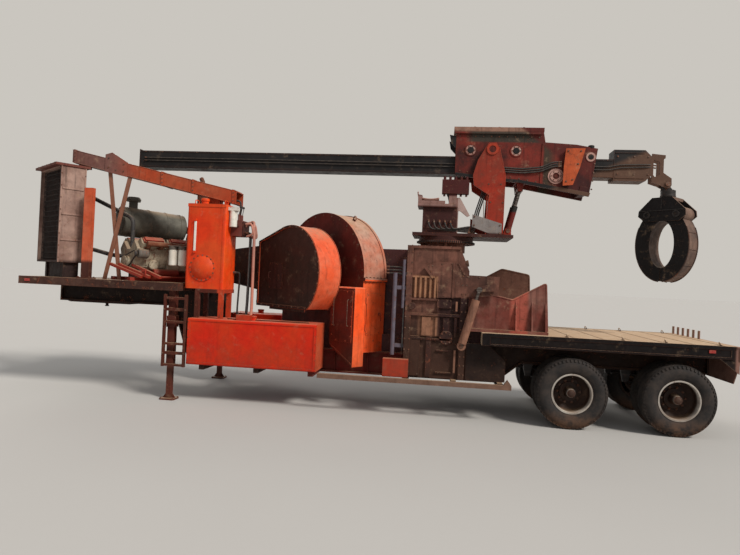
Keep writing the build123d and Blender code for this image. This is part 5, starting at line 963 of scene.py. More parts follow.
class CHIPPER_OT_guard_trim(bpy.types.Operator):
    """Bolts round the belt guard's face, its inspection cover, hinges, and the drip lip below"""

    bl_idname = "chipper.guard_trim"
    bl_label = "Belt guard trim"

    radius = 0.77
    front_p, top_z, bottom_z, near_a, far_a = -1.244, 2.67, 1.56, -1.237, -0.767

    def outline(self, shrink):
        """Teardrop of the guard's face: an arc round the sheave, the flat bottom, and the front edge."""
        size = self.radius - shrink
        front_p, top_z, bottom_z = self.front_p + shrink, self.top_z - shrink, self.bottom_z + shrink
        run = np.array([front_p - SHAFT_P, top_z - SHAFT_Z])
        start = math.atan2(run[1], run[0]) - math.acos(size / np.linalg.norm(run))
        angle = np.linspace(start, math.asin((bottom_z - SHAFT_Z) / size), 40)
        arc = np.stack([SHAFT_P + size * np.cos(angle), SHAFT_Z + size * np.sin(angle)], axis=1)
        return np.vstack([arc, [(front_p, bottom_z), (front_p, top_z)]])

    def execute(self, context):
        near_a, pan_a = self.near_a, self.near_a + 0.022
        bolts = Shape()
        edge = closed(self.outline(0.016))
        gone = np.concatenate([[0.0], np.cumsum(np.linalg.norm(np.diff(edge, axis=0), axis=1))])
        marks = np.arange(0.06, gone[-1], 0.17)
        places = np.stack([np.interp(marks, gone, edge[:, i]) for i in range(2)], axis=1)
        bolts.bolts(on_skew(places, near_a), -along, 0.0125, 0.01)
        bolts.piece("guard_bolts", "trailer", "bolt", "brown_paint")

        trim = Shape()
        trim.tube(closed(on_skew(self.outline(0.036), near_a + 0.02)), 0.005)
        trim.skew_plate(oblong(-0.92, -0.56, 1.86, 2.3), pan_a, -0.008)
        for z in (1.95, 2.08, 2.21):
            trim.skew_plate(oblong(-0.545, -0.53, z - 0.03, z + 0.03), pan_a, -0.014)
        trim.handle(*on_skew([(-0.88, 2.02), (-0.88, 2.14)], pan_a - 0.008), -along * 0.04, 0.02, 0.006)
        cover_bolts = oblong(-0.9, -0.58, 1.88, 2.28) + [(-0.74, 1.88), (-0.74, 2.28)]
        trim.bolts(on_skew(cover_bolts, pan_a - 0.008), -along)
        # The cover's dark finish is painted shade with dirt, the colour of the guard's shaded face
        trim.piece("guard_cover", "trailer", "guard_dark", "brown_paint", 30.0, 0.0015)

        edging = Shape()
        for a in (near_a + 0.012, self.far_a - 0.012):
            edging.tube(on_skew(self.outline(-0.004), a)[:41], 0.006)
        edging.skew_plate(oblong(self.front_p + 0.35, 0.05, self.bottom_z - 0.05, self.bottom_z - 0.002),
                          near_a + 0.03, 0.008)
        edging.plate((-1.95, -1.03, 1.345), (-0.6, -0.955, 1.356))
        for z in (2.35, 2.5):
            edging.hinge(skew_at(self.front_p - 0.012, near_a + 0.02, z), 0.011)
        edging.piece("guard_edging", "trailer", "guard", "orange_paint", 40.0)
        return {"FINISHED"}


class CHIPPER_OT_hood_trim(bpy.types.Operator):
    """Bands, bolts, lifting eyes, side door and weld beads of the disc housing"""

    bl_idname = "chipper.hood_trim"
    bl_label = "Disc housing trim"

    radius = 1.05
    near_a, far_a, joint_z, base_z = -0.527, -0.007, 2.08, 0.9

    def rim(self, turn, rise, a):
        """Point on the hood's round, higher than its skin by the rise."""
        reach = self.radius + rise
        return skew_at(SHAFT_P + reach * np.cos(turn), a, SHAFT_Z + reach * np.sin(turn))

    def execute(self, context):
        near_a, far_a, joint_z, base_z = self.near_a, self.far_a, self.joint_z, self.base_z
        half = math.sqrt(self.radius ** 2 - (joint_z - SHAFT_Z) ** 2)
        side_p = SHAFT_P + half
        start = math.asin((joint_z + 0.03 - SHAFT_Z) / self.radius)
        bands = Shape()
        for a_low, a_high in ((near_a - 0.006, near_a + 0.045), (far_a - 0.045, far_a + 0.006)):
            section = oblong(a_low, a_high, -0.004, 0.012)
            points = np.array([[self.rim(turn, rise, a) for a, rise in section]
                               for turn in np.linspace(start, math.pi - start, 49)])
            bands.grid(points, wrap_v=True)
            bands.add(points[0], [(0, 1, 2, 3)])
            bands.add(points[-1], [(3, 2, 1, 0)])
        for turn in np.radians([62, 118]):
            foot = self.rim(turn, 0.0, (near_a + far_a) / 2)
            outward = across * np.cos(turn) + up * np.sin(turn)
            tangent = up * np.cos(turn) - across * np.sin(turn)
            ring = circle(foot + outward * 0.05, np.cross(outward, tangent), 0.035, 20)
            bands.tube(closed(ring), 0.010)
            bands.prism([(-0.05, -0.02), (0.05, -0.02), (0.03, 0.03), (-0.03, 0.03)], foot - along * 0.008,
                        tangent, outward, along * 0.016)
        bands.piece("hood_bands", "trailer", "hood", "faded_orange", 40.0)

        bolts = Shape()
        for edge_p in (SHAFT_P - half - 0.024, side_p + 0.024):
            places = row(skew_at(edge_p, near_a + 0.05, joint_z + 0.026),
                         skew_at(edge_p, far_a - 0.05, joint_z + 0.026), 6)
            bolts.bolts(places, up, 0.015, 0.016)
            bolts.bolts(places - up * 0.052, -up, 0.015, 0.014)
        for a, outward in ((near_a, -along), (far_a, along)):
            turns = np.linspace(start + 0.12, math.pi - start - 0.12, 15)
            places = [self.rim(turn, -0.035, a) for turn in turns]
            for z in np.arange(base_z + 0.12, joint_z - 0.05, 0.18):
                # The base's front is cut away below
                if z > base_z + 0.34:
                    places.append(skew_at(SHAFT_P - half + 0.04, a, z))
                places.append(skew_at(side_p - 0.04, a, z))
            bolts.bolts(places, outward, 0.012, 0.01)
        bolts.piece("disc_housing_bolts", "trailer", "bolt", "orange_paint")

        doors = Shape()
        door_p = side_p + 0.01
        door = oblong(near_a + 0.09, far_a - 0.09, 1.18, 1.86)
        doors.prism(door, across * side_p, along, up, across * 0.01)
        for z in (1.3, 1.74):
            doors.hinge(skew_at(side_p + 0.014, near_a + 0.075, z), 0.013)
        latch = skew_at(door_p, far_a - 0.13, 1.52)
        doors.bolts([latch], across, 0.024, 0.02)
        doors.tube(bent(walk(latch + across * 0.02, across * 0.025 + up * 0.01, -up * 0.12), 0.02), 0.007)
        doors.bolts(on_plane(oblong(near_a + 0.12, far_a - 0.12, 1.21, 1.83), across * door_p, along, up),
                    across, 0.009, 0.008)
        doors.piece("disc_base_door", "trailer", "base", "orange_paint", 30.0, 0.002)

        seams = Shape()
        foot_p, foot_z = side_p - 0.001, base_z + 0.002
        seams.bar(skew_at(foot_p, near_a, foot_z), skew_at(foot_p, far_a, foot_z), 0.007, 8, 5)
        for p, low_z in ((0.18, 1.06), (0.74, 1.03)):
            seams.bar(skew_at(p, near_a - 0.001, low_z), skew_at(p, near_a - 0.001, 1.93), 0.006, 8, 12)
        seams.piece("disc_housing_welds", "trailer", "base", "orange_paint", 60.0)
        return {"FINISHED"}


class CHIPPER_OT_bearing_trim(bpy.types.Operator):
    """Cover plate with its bolts, and grease lines of the bearing housing"""

    bl_idname = "chipper.bearing_trim"
    bl_label = "Bearing housing trim"

    def execute(self, context):
        face_a, p_low, p_high, low_z, high_z = -0.767, 0.18, 0.74, 1.02, 1.95
        cover_a = face_a - 0.008
        trim = Shape()
        trim.skew_plate(oblong(p_low + 0.04, p_high - 0.04, low_z + 0.05, high_z - 0.06), face_a, -0.008)
        bolt_line = oblong(p_low + 0.06, p_high - 0.06, low_z + 0.07, high_z - 0.08)
        trim.bolts(on_skew(along_outline(bolt_line, 0.15), cover_a), -along)
        strip = [(p_low, low_z), (p_low + 0.02, low_z), (p_high, low_z - 0.29), (p_high, low_z - 0.33)]
        trim.skew_plate(strip, face_a - 0.004, 0.004)
        trim.piece("bearing_cover", "trailer", "base", "brown_paint", 30.0, 0.002)
        line_set("grease_lines", "trailer", [
            walk(skew_at(p, face_a - gap, z), -along * 0.03, -up * drop, along * 0.03)
            for p, gap, z, drop in ((p_low + 0.12, 0.01, high_z - 0.1, 0.53),
                                    (p_high - 0.12, 0.012, high_z - 0.2, 0.42))
        ], 0.006, "bolt", "brown_paint")
        return {"FINISHED"}


# Middles of the air cleaner's near and far end
AIR_CLEANER = np.array([(-4.29, -0.33, 2.93), (-3.54, 0.52, 2.88)])


class CHIPPER_OT_engine_trim(bpy.types.Operator):
    """Valve covers, manifolds, silencer, filters, alternator, belt, duct and pipes of the engine"""

    bl_idname = "chipper.engine_trim"
    bl_label = "Engine trim"

    middle_p, near_a, crank_z, length = -2.56, -2.96, 2.18, 1.46

    def at(self, p, a, z):
        """Point by its distances from the engine's middle, its near end and its crank."""
        return skew_at(self.middle_p + p, self.near_a + a, self.crank_z + z)

    def slab(self, shape, p, a, z):
        """Bar between two corners that are given like the engine's points."""
        shape.plate_skew(np.add(p, self.middle_p), np.add(a, self.near_a), np.add(z, self.crank_z))

    def execute(self, context):
        self.heads()
        self.silencer()
        self.block()
        self.skid()
        self.ancillaries()
        self.belt()
        self.intake()
        self.coolant()
        return {"FINISHED"}

    def heads(self):
        """Valve covers with their bolts, and the exhaust manifolds beside them."""
        covers, bolts, manifolds = Shape(), Shape(), Shape()
        for side in (-1, 1):
            away = across * side
            outward = unit(away * 0.62 + up * 0.78)
            edge = unit(up * 0.62 - away * 0.78)
            for a in (0.06, 0.52, 0.98):
                foot = self.at(side * 0.343, a + 0.21, 0.382)
                top = foot + outward * 0.022
                covers.prism(oblong(-0.18, 0.18, -0.062, 0.062), foot, along, edge, outward * 0.022)
                covers.prism(oblong(-0.16, 0.16, -0.045, 0.045), top, along, edge, outward * 0.03)
                rim = oblong(-0.168, 0.168, -0.053, 0.053) + [(0.0, 0.053), (0.0, -0.053)]
                bolts.bolts(on_plane(rim, top, along, edge), outward, 0.008, 0.009)
                for step in (0.1, 0.32):
                    port = self.at(side * 0.345, a + step, 0.265)
                    pipe = walk(port - away * 0.03, away * 0.105 + up * 0.01, up * 0.05 + away * 0.02)
                    manifolds.tube(bent(pipe, 0.03), 0.026, 12)
                    manifolds.bolts(about(port + away * 0.012, along * 0.045), away, 0.009, 0.012)
            start, end = self.at(side * 0.44, 0.12, 0.33), self.at(side * 0.44, self.length + 0.02, 0.33)
            manifolds.bar(start, end, 0.042, 16, 7)
            for place in row(start + along * 0.4, end - along * 0.4, 3):
                manifolds.drum(*about(place, along * 0.014), 0.054, 16, 0.004)
        near, far = (self.at(p, self.length + 0.02, 0.33) for p in (-0.44, 0.44))
        crossing = walk(far, along * 0.1, up * 0.24, -across * 0.88, up * 0.26)
        manifolds.tube(bent(crossing, 0.09), 0.045, 16)
        manifolds.tube(bent(walk(near, along * 0.1, up * 0.26), 0.08), 0.044, 16)
        manifolds.piece("engine_manifolds", "trailer", "rusty_iron", "engine_red", 45.0)
        covers.piece("valve_covers", "trailer", "engine_red", "engine_red", 35.0, 0.006)
        bolts.piece("valve_cover_bolts", "trailer", "bolt", "engine_red")

    def silencer(self):
        """Upright silencer with its bent outlet."""
        shape = Shape()
        foot = self.at(-0.44, self.length + 0.12, 0.81)
        shape.knob([(0.0, 0.075), (0.06, 0.1), (0.62, 0.1), (0.68, 0.07)], foot, up, 28, 0.04)
        shape.tube(bent(walk(foot + up * 0.66, up * 0.16, up * 0.1 - across * 0.08), 0.05), 0.042, 16)
        shape.piece("silencer", "trailer", "rusty_iron", "engine_red", 40.0)

    def block(self):
        """Ribs, covers and ledges on the block's side."""
        shape = Shape()
        lean = unit(up * 0.95 + across * 0.3)
        for a in 0.2 + 0.12 * np.arange(9):
            rib = [(-0.018, 0.0), (0.018, 0.0), (0.010, 0.17), (-0.010, 0.17)]
            shape.prism(rib, self.at(0.24, a, -0.02), along, lean, across * 0.02)
        for a, z, radius in ((0.32, -0.02, 0.085), (1.12, 0.02, 0.11)):
            cover = self.at(0.3, a, z)
            shape.drum(self.at(0.19, a, z), cover, radius, 24, 0.01)
            shape.bolts(circle(cover, across, radius * 0.75, 6), across, 0.008, 0.008)
        self.slab(shape, (0.19, 0.3), (0.55, 0.95), (-0.1, 0.07))
        for p in (-0.194, 0.194):
            self.slab(shape, about(p, 0.006), (0.11, 1.27), (-0.09, -0.06))
        shape.piece("engine_side_parts", "trailer", "engine", "engine_red", 35.0, 0.003)

    def skid(self):
        """Beams, pipes and starter under the engine, and the three bars that slope down to the deck."""
        shape = Shape()
        for p in (-0.34, 0.34):
            self.slab(shape, about(p, 0.05), (-0.12, self.length + 0.1), (-0.292, -0.236))
        for index in range(4):
            pipe = walk(self.at(0.42 + 0.05 * index, 0.05, 0.012 * index - 0.13), -up * 0.12, along * 1.05,
                        along * 0.05 + up * 0.16 - across * 0.2)
            shape.tube(bent(pipe, 0.05), 0.014, 10)
        shape.drum(self.at(0.3, 0.3, -0.15), self.at(0.3, 0.75, -0.15), 0.07, 24, 0.012)
        for shift in (0.0, 0.16, 0.4):
            high_end = np.array([-4.1 + shift, -0.92, 2.13])
            run = np.array([-3.42 + shift * 0.8, -1.12, 1.935]) - high_end
            level = np.cross(up, unit(run))
            shape.prism(oblong(0.0, 0.06, 0.0, 0.045), high_end, level, unit(np.cross(run, level)), run)
        shape.piece("engine_skid", "trailer", "engine_red", "engine_red", 40.0, 0.002)

    def ancillaries(self):
        """Two filters on a bracket, and the alternator."""
        filters, shape = Shape(), Shape()
        for x in (-3.0, -2.835):
            foot = np.array([x, -0.86, 2.16])
            filters.knob([(0.0, 0.045), (0.014, 0.07), (0.26, 0.07), (0.275, 0.055)], foot, up, 28)
            shape.drum(foot + up * 0.275, foot + up * 0.335, 0.074, 24, 0.005)
        shape.plate((-3.07, -0.93, 2.485), (-2.68, -0.79, 2.5))
        shape.plate((-2.7, -0.93, 2.38), (-2.68, -0.79, 2.5))
        filters.piece("engine_filters", "trailer", "white", "pale_grey", 35.0)
        alternator = self.at(0.36, 0.06, 0.16)
        shape.knob([(-0.06, 0.06), (-0.045, 0.078), (0.1, 0.078), (0.12, 0.06)], alternator, along, 28)
        shape.knob([(-0.1, 0.042), (-0.09, 0.03), (-0.08, 0.042)], alternator, along)
        shape.piece("engine_ancillaries", "trailer", "engine_grey", "engine_red", 35.0, 0.002)

    def belt(self):
        """Belt round the crank's pulley and the alternator's: two arcs joined by their common tangents."""
        shape = Shape()
        run_p, run_z = 0.36, 0.16
        lean = math.atan2(run_z, run_p)
        opening = math.acos((0.122 - 0.044) / math.hypot(run_p, run_z))
        crank_turns = np.linspace(lean + opening, lean + 2 * math.pi - opening, 30)
        small_turns = np.linspace(lean - opening, lean + opening, 14)
        turns, counts = np.concatenate([crank_turns, small_turns]), (len(crank_turns), len(small_turns))
        spokes = np.outer(np.cos(turns), across) + np.outer(np.sin(turns), up)
        centres = np.repeat([self.at(0.0, -0.05, 0.0), self.at(run_p, -0.05, run_z)], counts, axis=0)
        ring = centres + np.repeat([0.124, 0.046], counts)[:, None] * spokes
        near, far = about(ring, along * 0.012)
        shape.grid(np.stack([near, far, far + spokes * 0.009, near + spokes * 0.009], axis=1),
                   wrap_u=True, wrap_v=True)
        shape.piece("alternator_belt", "trailer", "rubber_black", "tyre_rubber")

    def intake(self):
        """Duct from the air cleaner to the engine, with a clamp near each end."""
        duct, clamps = Shape(), Shape()
        start, end = AIR_CLEANER
        foot = walk(self.at(0.0, 1.11, 0.24), up * 0.3, up * 0.2 + along * 0.12)
        path = bent([*foot, end + unit(end - start) * 0.16, end], 0.16, 7)
        duct.tube(path, 0.07, 20)
        duct.piece("intake_duct", "trailer", "rubber_black", "tyre_rubber", 50.0)
        for index in (3, len(path) - 4):
            clamps.drum(*about(path[index], unit(path[index + 1] - path[index]) * 0.008), 0.0725)
        clamps.piece("duct_clamps", "trailer", "bolt", "worn_steel")

    def coolant(self):
        """Two pipes between the cooler and the engine."""
        shape = Shape()
        for port, reach, knee, end in (
            (skew_at(-3.9965, -3.4832, 3.45), 0.22, self.at(-0.1, 0.1, 0.77), self.at(-0.1, 0.1, 0.22)),
            (skew_at(-3.3465, -3.4832, 2.4), 0.2, self.at(-0.33, -0.12, 0.12), self.at(-0.2, 0.05, 0.12)),
        ):
            shape.tube(bent([port, port + along * reach, knee, end], 0.12, 7), 0.036, 14)
        shape.piece("coolant_pipes", "trailer", "rubber_black", "tyre_rubber", 50.0)


class CHIPPER_OT_cooler_trim(bpy.types.Operator):
    """Guard wires, fan guard, fins, edge bolts, filler cap and roof seams of the cooler"""

    bl_idname = "chipper.cooler_trim"
    bl_label = "Cooler trim"

    def execute(self, context):
        p_low, p_high, a_low, a_high, low_z, high_z = -4.2215, -3.1715, -3.8832, -3.4832, 2.14, 3.75
        middle_p, middle_z = (p_low + p_high) / 2, (low_z + high_z) / 2
        wires = Shape()
        for p in np.linspace(p_low + 0.06, p_high - 0.06, 15):
            wires.bar(*(skew_at(p, a_low + 0.05, z) for z in (low_z + 0.03, high_z - 0.03)), 0.004, 6)
        for radius in np.linspace(0.12, 0.45, 8):
            ring = circle(skew_at(middle_p, a_high + 0.012, middle_z), along, radius, 48)
            wires.tube(closed(ring), 0.0035, 6)
        hub = skew_at(middle_p, a_high + 0.018, middle_z)
        for turn in np.arange(8) * math.pi / 4 + 0.2:
            spoke = across * math.cos(turn) + up * math.sin(turn)
            wires.bar(hub + spoke * 0.09, hub + spoke * 0.48, 0.005, 6, 3)
        wires.piece("cooler_wires", "trailer", "dark_steel", "black_steel", 50.0)

        panels, bolts = Shape(), Shape()
        for p, side in ((p_high, 1), (p_low, -1)):
            for z in (2.52, 2.95, 3.38):
                panels.plate_skew((p, p + side * 0.014), (a_low + 0.03, a_high - 0.03), about(z, 0.016))
            for a in (a_low + 0.012, a_high - 0.012):
                panels.plate_skew((p, p + side * 0.01), about(a, 0.012), (low_z, high_z))
                places = [skew_at(p + side * 0.01, a, z) for z in np.arange(low_z + 0.08, high_z, 0.2)]
                bolts.bolts(places, across * side, 0.008, 0.007)
        lip_z = (high_z - 0.03, high_z - 0.002)
        panels.plate_skew((p_low + 0.05, p_high - 0.05), (a_low - 0.004, a_low), lip_z)
        panels.piece("cooler_side_ribs", "trailer", "pale", "pale_grey", 30.0, 0.003)
        for p in np.arange(p_low + 0.05, p_high, 0.19):
            bolts.bolts([skew_at(p, a_low - 0.09, high_z + 0.02)], -along, 0.008, 0.007)
            bolts.bolts([skew_at(p, a_high, z) for z in (low_z + 0.05, high_z - 0.05)], along, 0.008, 0.007)
        bolts.piece("cooler_bolts", "trailer", "bolt", "pale_grey")

        roof, roof_z = Shape(), high_z + 0.04
        for p in np.linspace(p_low + 0.1, p_high - 0.1, 5):
            roof.plate_skew(about(p, 0.018), (a_low - 0.08, a_high + 0.05), (roof_z, roof_z + 0.012))
        roof.knob([(0.0, 0.05), (0.035, 0.05), (0.035, 0.062), (0.055, 0.062), (0.06, 0.055)],
                  skew_at(p_low + 0.3, a_high - 0.12, roof_z), up)
        roof.piece("cooler_roof_ribs", "trailer", "brown", "brown_paint", 30.0, 0.003)

        fins = Shape()
        for p in np.linspace(p_low + 0.04, p_high - 0.04, 90):
            fins.plate_skew(about(p, 0.0012), (a_low + 0.082, a_low + 0.09), (low_z + 0.035, high_z - 0.035))
        fins.piece("cooler_fins", "trailer", "core", "dark_core")
        return {"FINISHED"}


class CHIPPER_OT_tank_trim(bpy.types.Operator):
    """Sight gauge, cover bolts, filler cap, breather, valve levers and lines of the oil tank"""

    bl_idname = "chipper.tank_trim"
    bl_label = "Oil tank trim"

    face_y, top_z = -1.08, 3.19

    def execute(self, context):
        low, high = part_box("hydraulic_tank")
        front_x, rear_x = low[0], high[0]
        self.tank(front_x, rear_x, low[2])
        self.side_tanks()
        self.valve_bank(rear_x)
        self.pipes(rear_x)
        return {"FINISHED"}

    def tank(self, front_x, rear_x, low_z):
        """Bolts, gauge, edge strips, caps and grips of the tank itself."""
        face_y, top_z = self.face_y, self.top_z
        bolts, gauge, trim = Shape(), Shape(), Shape()
        bolts.bolts(circle((-2.39, face_y - 0.014, 2.15), -right, 0.2025, 16), -right, 0.009, 0.009)
        top_edge = row((front_x + 0.06, face_y, top_z - 0.03), (rear_x - 0.06, face_y, top_z - 0.03), 7)
        bolts.bolts(top_edge, -right, 0.007, 0.006)
        bolts.piece("tank_cover_bolts", "trailer", "bolt", "orange_paint")
        gauge.plate((-2.553, face_y - 0.018, 2.42), (-2.517, face_y, 2.9))
        gauge.piece("sight_gauge", "trailer", "white", "pale_grey", 30.0, 0.004)

        for z in (2.4, 2.92):
            trim.drum((-2.535, face_y, z), (-2.535, face_y - 0.03, z), 0.022, 6)
        trim.plate((front_x + 0.004, face_y - 0.008, top_z - 0.055), (rear_x - 0.004, face_y, top_z - 0.004))
        for x in (front_x + 0.03, rear_x - 0.05):
            trim.plate((x, face_y - 0.006, low_z), (x + 0.02, face_y, top_z - 0.06))
        cap = [(0.0, 0.068), (0.02, 0.072), (0.045, 0.066), (0.052, 0.05)]
        trim.knob(cap, (-2.51, -0.8, top_z + 0.07), up, 28)
        breather = [(0.0, 0.02), (0.05, 0.02), (0.05, 0.045), (0.11, 0.045), (0.12, 0.035)]
        trim.knob(breather, (-2.16, -0.72, top_z), up)
        for x in (-2.60, -2.10):
            trim.handle(np.array([x, -0.98, top_z]), np.array([x, -0.84, top_z]), up * 0.07, 0.03, 0.008)
        trim.piece("tank_trim", "trailer", "tank_orange", "orange_paint", 35.0, 0.002)

    def side_tanks(self):
        """Hinges, caps and bolts of the two tanks beside the rails."""
        shape = Shape()
        for x in (-2.1, -1.25, -0.75):
            shape.plate((x, -1.213, 1.30), (x + 0.05, -1.205, 1.33))
        cap = [(0.0, AXIS), (0.0, 0.06), (0.018, 0.064), (0.03, 0.06), (0.034, AXIS)]
        for place in ((-1.53, -1.0, 1.38), (-2.03, 1.0, 1.38)):
            shape.turned(cap, place, up, 24)
        shape.plate((-1.75, -1.19, 1.34), (-1.52, -1.08, 1.43))
        for x in (-2.518, -0.442):
            shape.bolts(row((x, -1.22, 0.66), (x, -1.22, 1.28), 6), -right, 0.007, 0.006)
        shape.piece("side_tank_trim", "trailer", "tool_box", "orange_paint", 35.0, 0.003)

    def valve_bank(self, rear_x):
        """Sections and end fittings of the valve bank behind the tank, and its three levers."""
        valves, levers = Shape(), Shape()
        face_x = rear_x + 0.19
        for y in np.linspace(-0.83, -0.59, 6):
            valves.plate((face_x, y - 0.018, 2.72), (face_x + 0.03, y + 0.018, 2.94))
            for z in (2.76, 2.9):
                valves.drum((face_x + 0.03, y, z), (face_x + 0.055, y, z), 0.012, 6)
        for x in (rear_x + 0.05, rear_x + 0.12):
            valves.drum((x, -0.91, 2.86), (x, -0.86, 2.86), 0.022, 12, 0.003)
        valves.piece("valve_sections", "trailer", "station", "dark_red_paint", 30.0, 0.002)
        knob = [(0.0, AXIS), (0.004, 0.014), (0.02, 0.018), (0.036, 0.012), (0.04, AXIS)]
        for y in (-0.82, -0.74, -0.66):
            foot = np.array([rear_x + 0.12, y, 3.05])
            levers.bar(foot, foot + (0.02, 0.0, 0.12), 0.006, 8, 3)
            levers.turned(knob, foot + (0.02, 0.0, 0.115), up, 16)
        levers.piece("valve_levers", "trailer", "dark_steel", "black_steel", 40.0)

    def pipes(self, rear_x):
        """Pale formed pipes, and the dark lines of the tank and the valve bank."""
        top_z = self.top_z
        pale = Shape()
        for i in range(3):
            shifts = [(0.0, 0.0, 0.0), (0.1, 0.0, 0.02), (0.14, 0.0, -0.16 - 0.03 * i), (0.02, 0.02, -0.2)]
            port = (rear_x + 0.245, -0.83 + 0.1 * i, 2.9)
            pale.tube(bent(np.add(shifts, port), 0.07, 7), 0.018, 12)
        down = [(-1.66, -0.8, 2.86), (-1.64, -0.8, 2.7), (-1.63, -0.8, 1.5), (-1.63, -0.84, 1.345)]
        elbow = [(-1.66, -0.8, 2.84), (-1.66, -0.76, 2.96), (-1.78, -0.74, 2.92), (-1.83, -0.73, 2.86)]
        pale.tube(bent(down, 0.08), 0.024, 14)
        pale.tube(bent(elbow, 0.06), 0.022, 14)
        pale.piece("pale_pipes", "trailer", "salmon", "faded_orange", 50.0)
        line_set("tank_lines", "trailer", [
            [(rear_x + 0.24, -0.77 + 0.055 * i, 2.76), (rear_x + 0.31, -0.77 + 0.055 * i, 2.76),
             (rear_x + 0.31, -0.79 + 0.05 * i, 1.62), (rear_x + 0.3, -0.8 + 0.05 * i, 1.345)]
            for i in range(2)
        ] + [
            walk((rear_x - 0.1, -0.7, top_z), up * 0.11, rear * 0.2, -up * 0.33),
            [(rear_x, -0.64, 2.1), (rear_x + 0.12, -0.64, 2.1), (rear_x + 0.12, -0.7, 1.5),
             (rear_x + 0.12, -0.7, 1.35)],
        ], 0.015)


class CHIPPER_OT_works_trim(bpy.types.Operator):
    """Bolts, louvres, lamps, lines and edge bars of the feed works, throat and trough"""

    bl_idname = "chipper.works_trim"
    bl_label = "Feed works trim"

    def execute(self, context):
        self.walls()
        self.closing_plates()
        self.louvres()
        self.lamps()
        self.trough()
        line_set("feed_lines", "trailer", [
            [(0.6, -0.93, 2.3 - 0.05 * i), (0.86, -0.96 - 0.01 * i, 2.3 - 0.05 * i),
             (0.885, -0.985, 2.2 - 0.05 * i), (0.885, -0.985 - 0.014 * i, 1.1), (0.885, -0.96, 0.95)]
            for i in range(3)
        ], 0.011)
        return {"FINISHED"}

    def walls(self):
        """Bolt rows, bars and round covers on both outer walls."""
        wall_y, plate_y, rib_y = 0.975, 1.004, 1.02
        bolts, bars = Shape(), Shape()
        cover = [(1.43, 1.88), (1.41, 2.17), (1.34, 2.19), (1.24, 2.31), (1.385, 2.37), (1.69, 2.385),
                 (1.785, 2.195), (2.29, 2.185), (2.285, 1.945), (2.01, 1.92)]
        for side in (-1, 1):
            outward = right * side
            for x, high_z in ((0.925, 2.55), (0.995, 2.55), (1.785, 2.2), (1.845, 2.2)):
                bolts.bolts(row((x, side * rib_y, 0.68), (x, side * rib_y, high_z), 12), outward)
            bolts.bolts(on_side(along_outline(cover, 0.13), side * rib_y), outward)
            for corners in (oblong(0.96, 1.14, 0.65, 1.215), oblong(1.42, 1.61, 1.705, 1.81)):
                bolts.bolts(on_side(corners, side * plate_y), outward, 0.009, 0.008)
            for x_low, x_high, low_z, high_z, depth in (
                (1.26, 1.34, 0.62, 1.24, 0.03), (1.405, 1.43, 1.62, 1.69, 0.05),
                (1.05, 1.62, 1.19, 1.215, 0.04), (1.42, 1.66, 0.68, 0.70, 0.03),
                (1.42, 1.66, 1.02, 1.04, 0.03),
            ):
                bars.plate((x_low, side * wall_y, low_z), (x_high, side * (wall_y + depth), high_z))
            place = np.array([1.02, side * rib_y, 1.7])
            bars.drum(place, place + outward * 0.03, 0.055, 24, 0.006)
            place = np.array([1.56, side * wall_y, 1.23])
            bars.drum(place, place + outward * 0.04, 0.11, 32, 0.008)
            bolts.bolts(circle(place + outward * 0.04, outward, 0.085, 8), outward, 0.010, 0.010)
            pin = np.array([1.8, side * 1.12, 1.13])
            bolts.drum(pin, pin + outward * 0.008, 0.034, 24, 0.002)
            bolts.bolts([(x, side * 0.95, 1.4) for x in (2.7, 2.95)], up, 0.012, 0.012)
            bolts.bolts(row((0.98, side * 0.94, 2.65), (1.68, side * 0.94, 2.65), 8), up, 0.011, 0.010)
        bolts.piece("feed_works_bolts", "trailer", "bolt", "brown_paint")
        bars.piece("feed_works_bars", "trailer", "dark_brown", "brown_paint", 30.0, 0.003)

    def closing_plates(self):
        """Plates that close the throat's sides and the trough's foot."""
        shape = Shape()
        for side in (-1, 1):
            shape.plate((0.3, side * 0.425, 0.9), (0.91, side * 0.437, 1.19))
            places = [(x, side * 0.437, z) for x in (0.4, 0.62, 0.84) for z in (0.95, 1.14)]
            shape.bolts(places, right * side, 0.009, 0.008)
            shape.plate((1.9, side * 0.86, 1.16), (3.0, side * 0.872, 1.39))
        shape.piece("throat_closing_plates", "trailer", "throat", "brown_paint", 30.0, 0.002)

    def louvres(self):
        """Upright louvres in the walls, and two short posts beside them."""
        shape = Shape()
        blade = [(0.0, 0.0), (0.036, 0.0), (0.036, 0.016), (0.02, 0.02)]
        for side in (-1, 1):
            for x in np.arange(1.017, 1.36, 0.076):
                shape.prism(blade, (x, side * 0.976, 1.84), rear, right * side, up * 0.30)
            for low_z, high_z in ((0.70, 1.05), (1.65, 1.80)):
                shape.plate((1.69, side * 1.0, low_z), (1.72, side * 1.022, high_z))
        shape.piece("feed_works_louvres", "trailer", "tan", "brown_paint")

    def lamps(self):
        """Work lamps under the roof, turned a little up."""
        shape = Shape()
        bowl = [(0.0, AXIS), (0.0, 0.03), (0.05, 0.05), (0.07, 0.05), (0.074, AXIS)]
        for side in (-1, 1):
            shape.turned(bowl, (1.795, side * 0.94, 2.39), (1, 0, 0.2), 24)
            shape.bar((1.74, side * 0.94, 2.36), (1.8, side * 0.94, 2.39), 0.014)
        shape.piece("work_lamps", "trailer", "boom", "near_black", 35.0)

    def trough(self):
        """Round bars along the trough's edges, its foot and its upright ribs."""
        shape = Shape()
        for side, dip_z, end_z in ((-1, 1.86, 2.14), (1, 2.39, 2.3)):
            edge = [(1.89, 2.0), (2.56, dip_z), (3.055, end_z), (3.1, 1.402)]
            shape.tube(bent(on_side(edge, side * 0.892), 0.03, 3), 0.016, 10)
            shape.bar((1.89, side * 0.9, 1.405), (3.1, side * 0.9, 1.405), 0.007, 6, 12)
            for x in (2.633, 2.873, 3.079):
                shape.bar((x, side * 0.904, 1.42), (x, side * 0.904, 1.8), 0.005, 6, 8)
        shape.piece("trough_edging", "trailer", "trough", "faded_orange", 50.0)


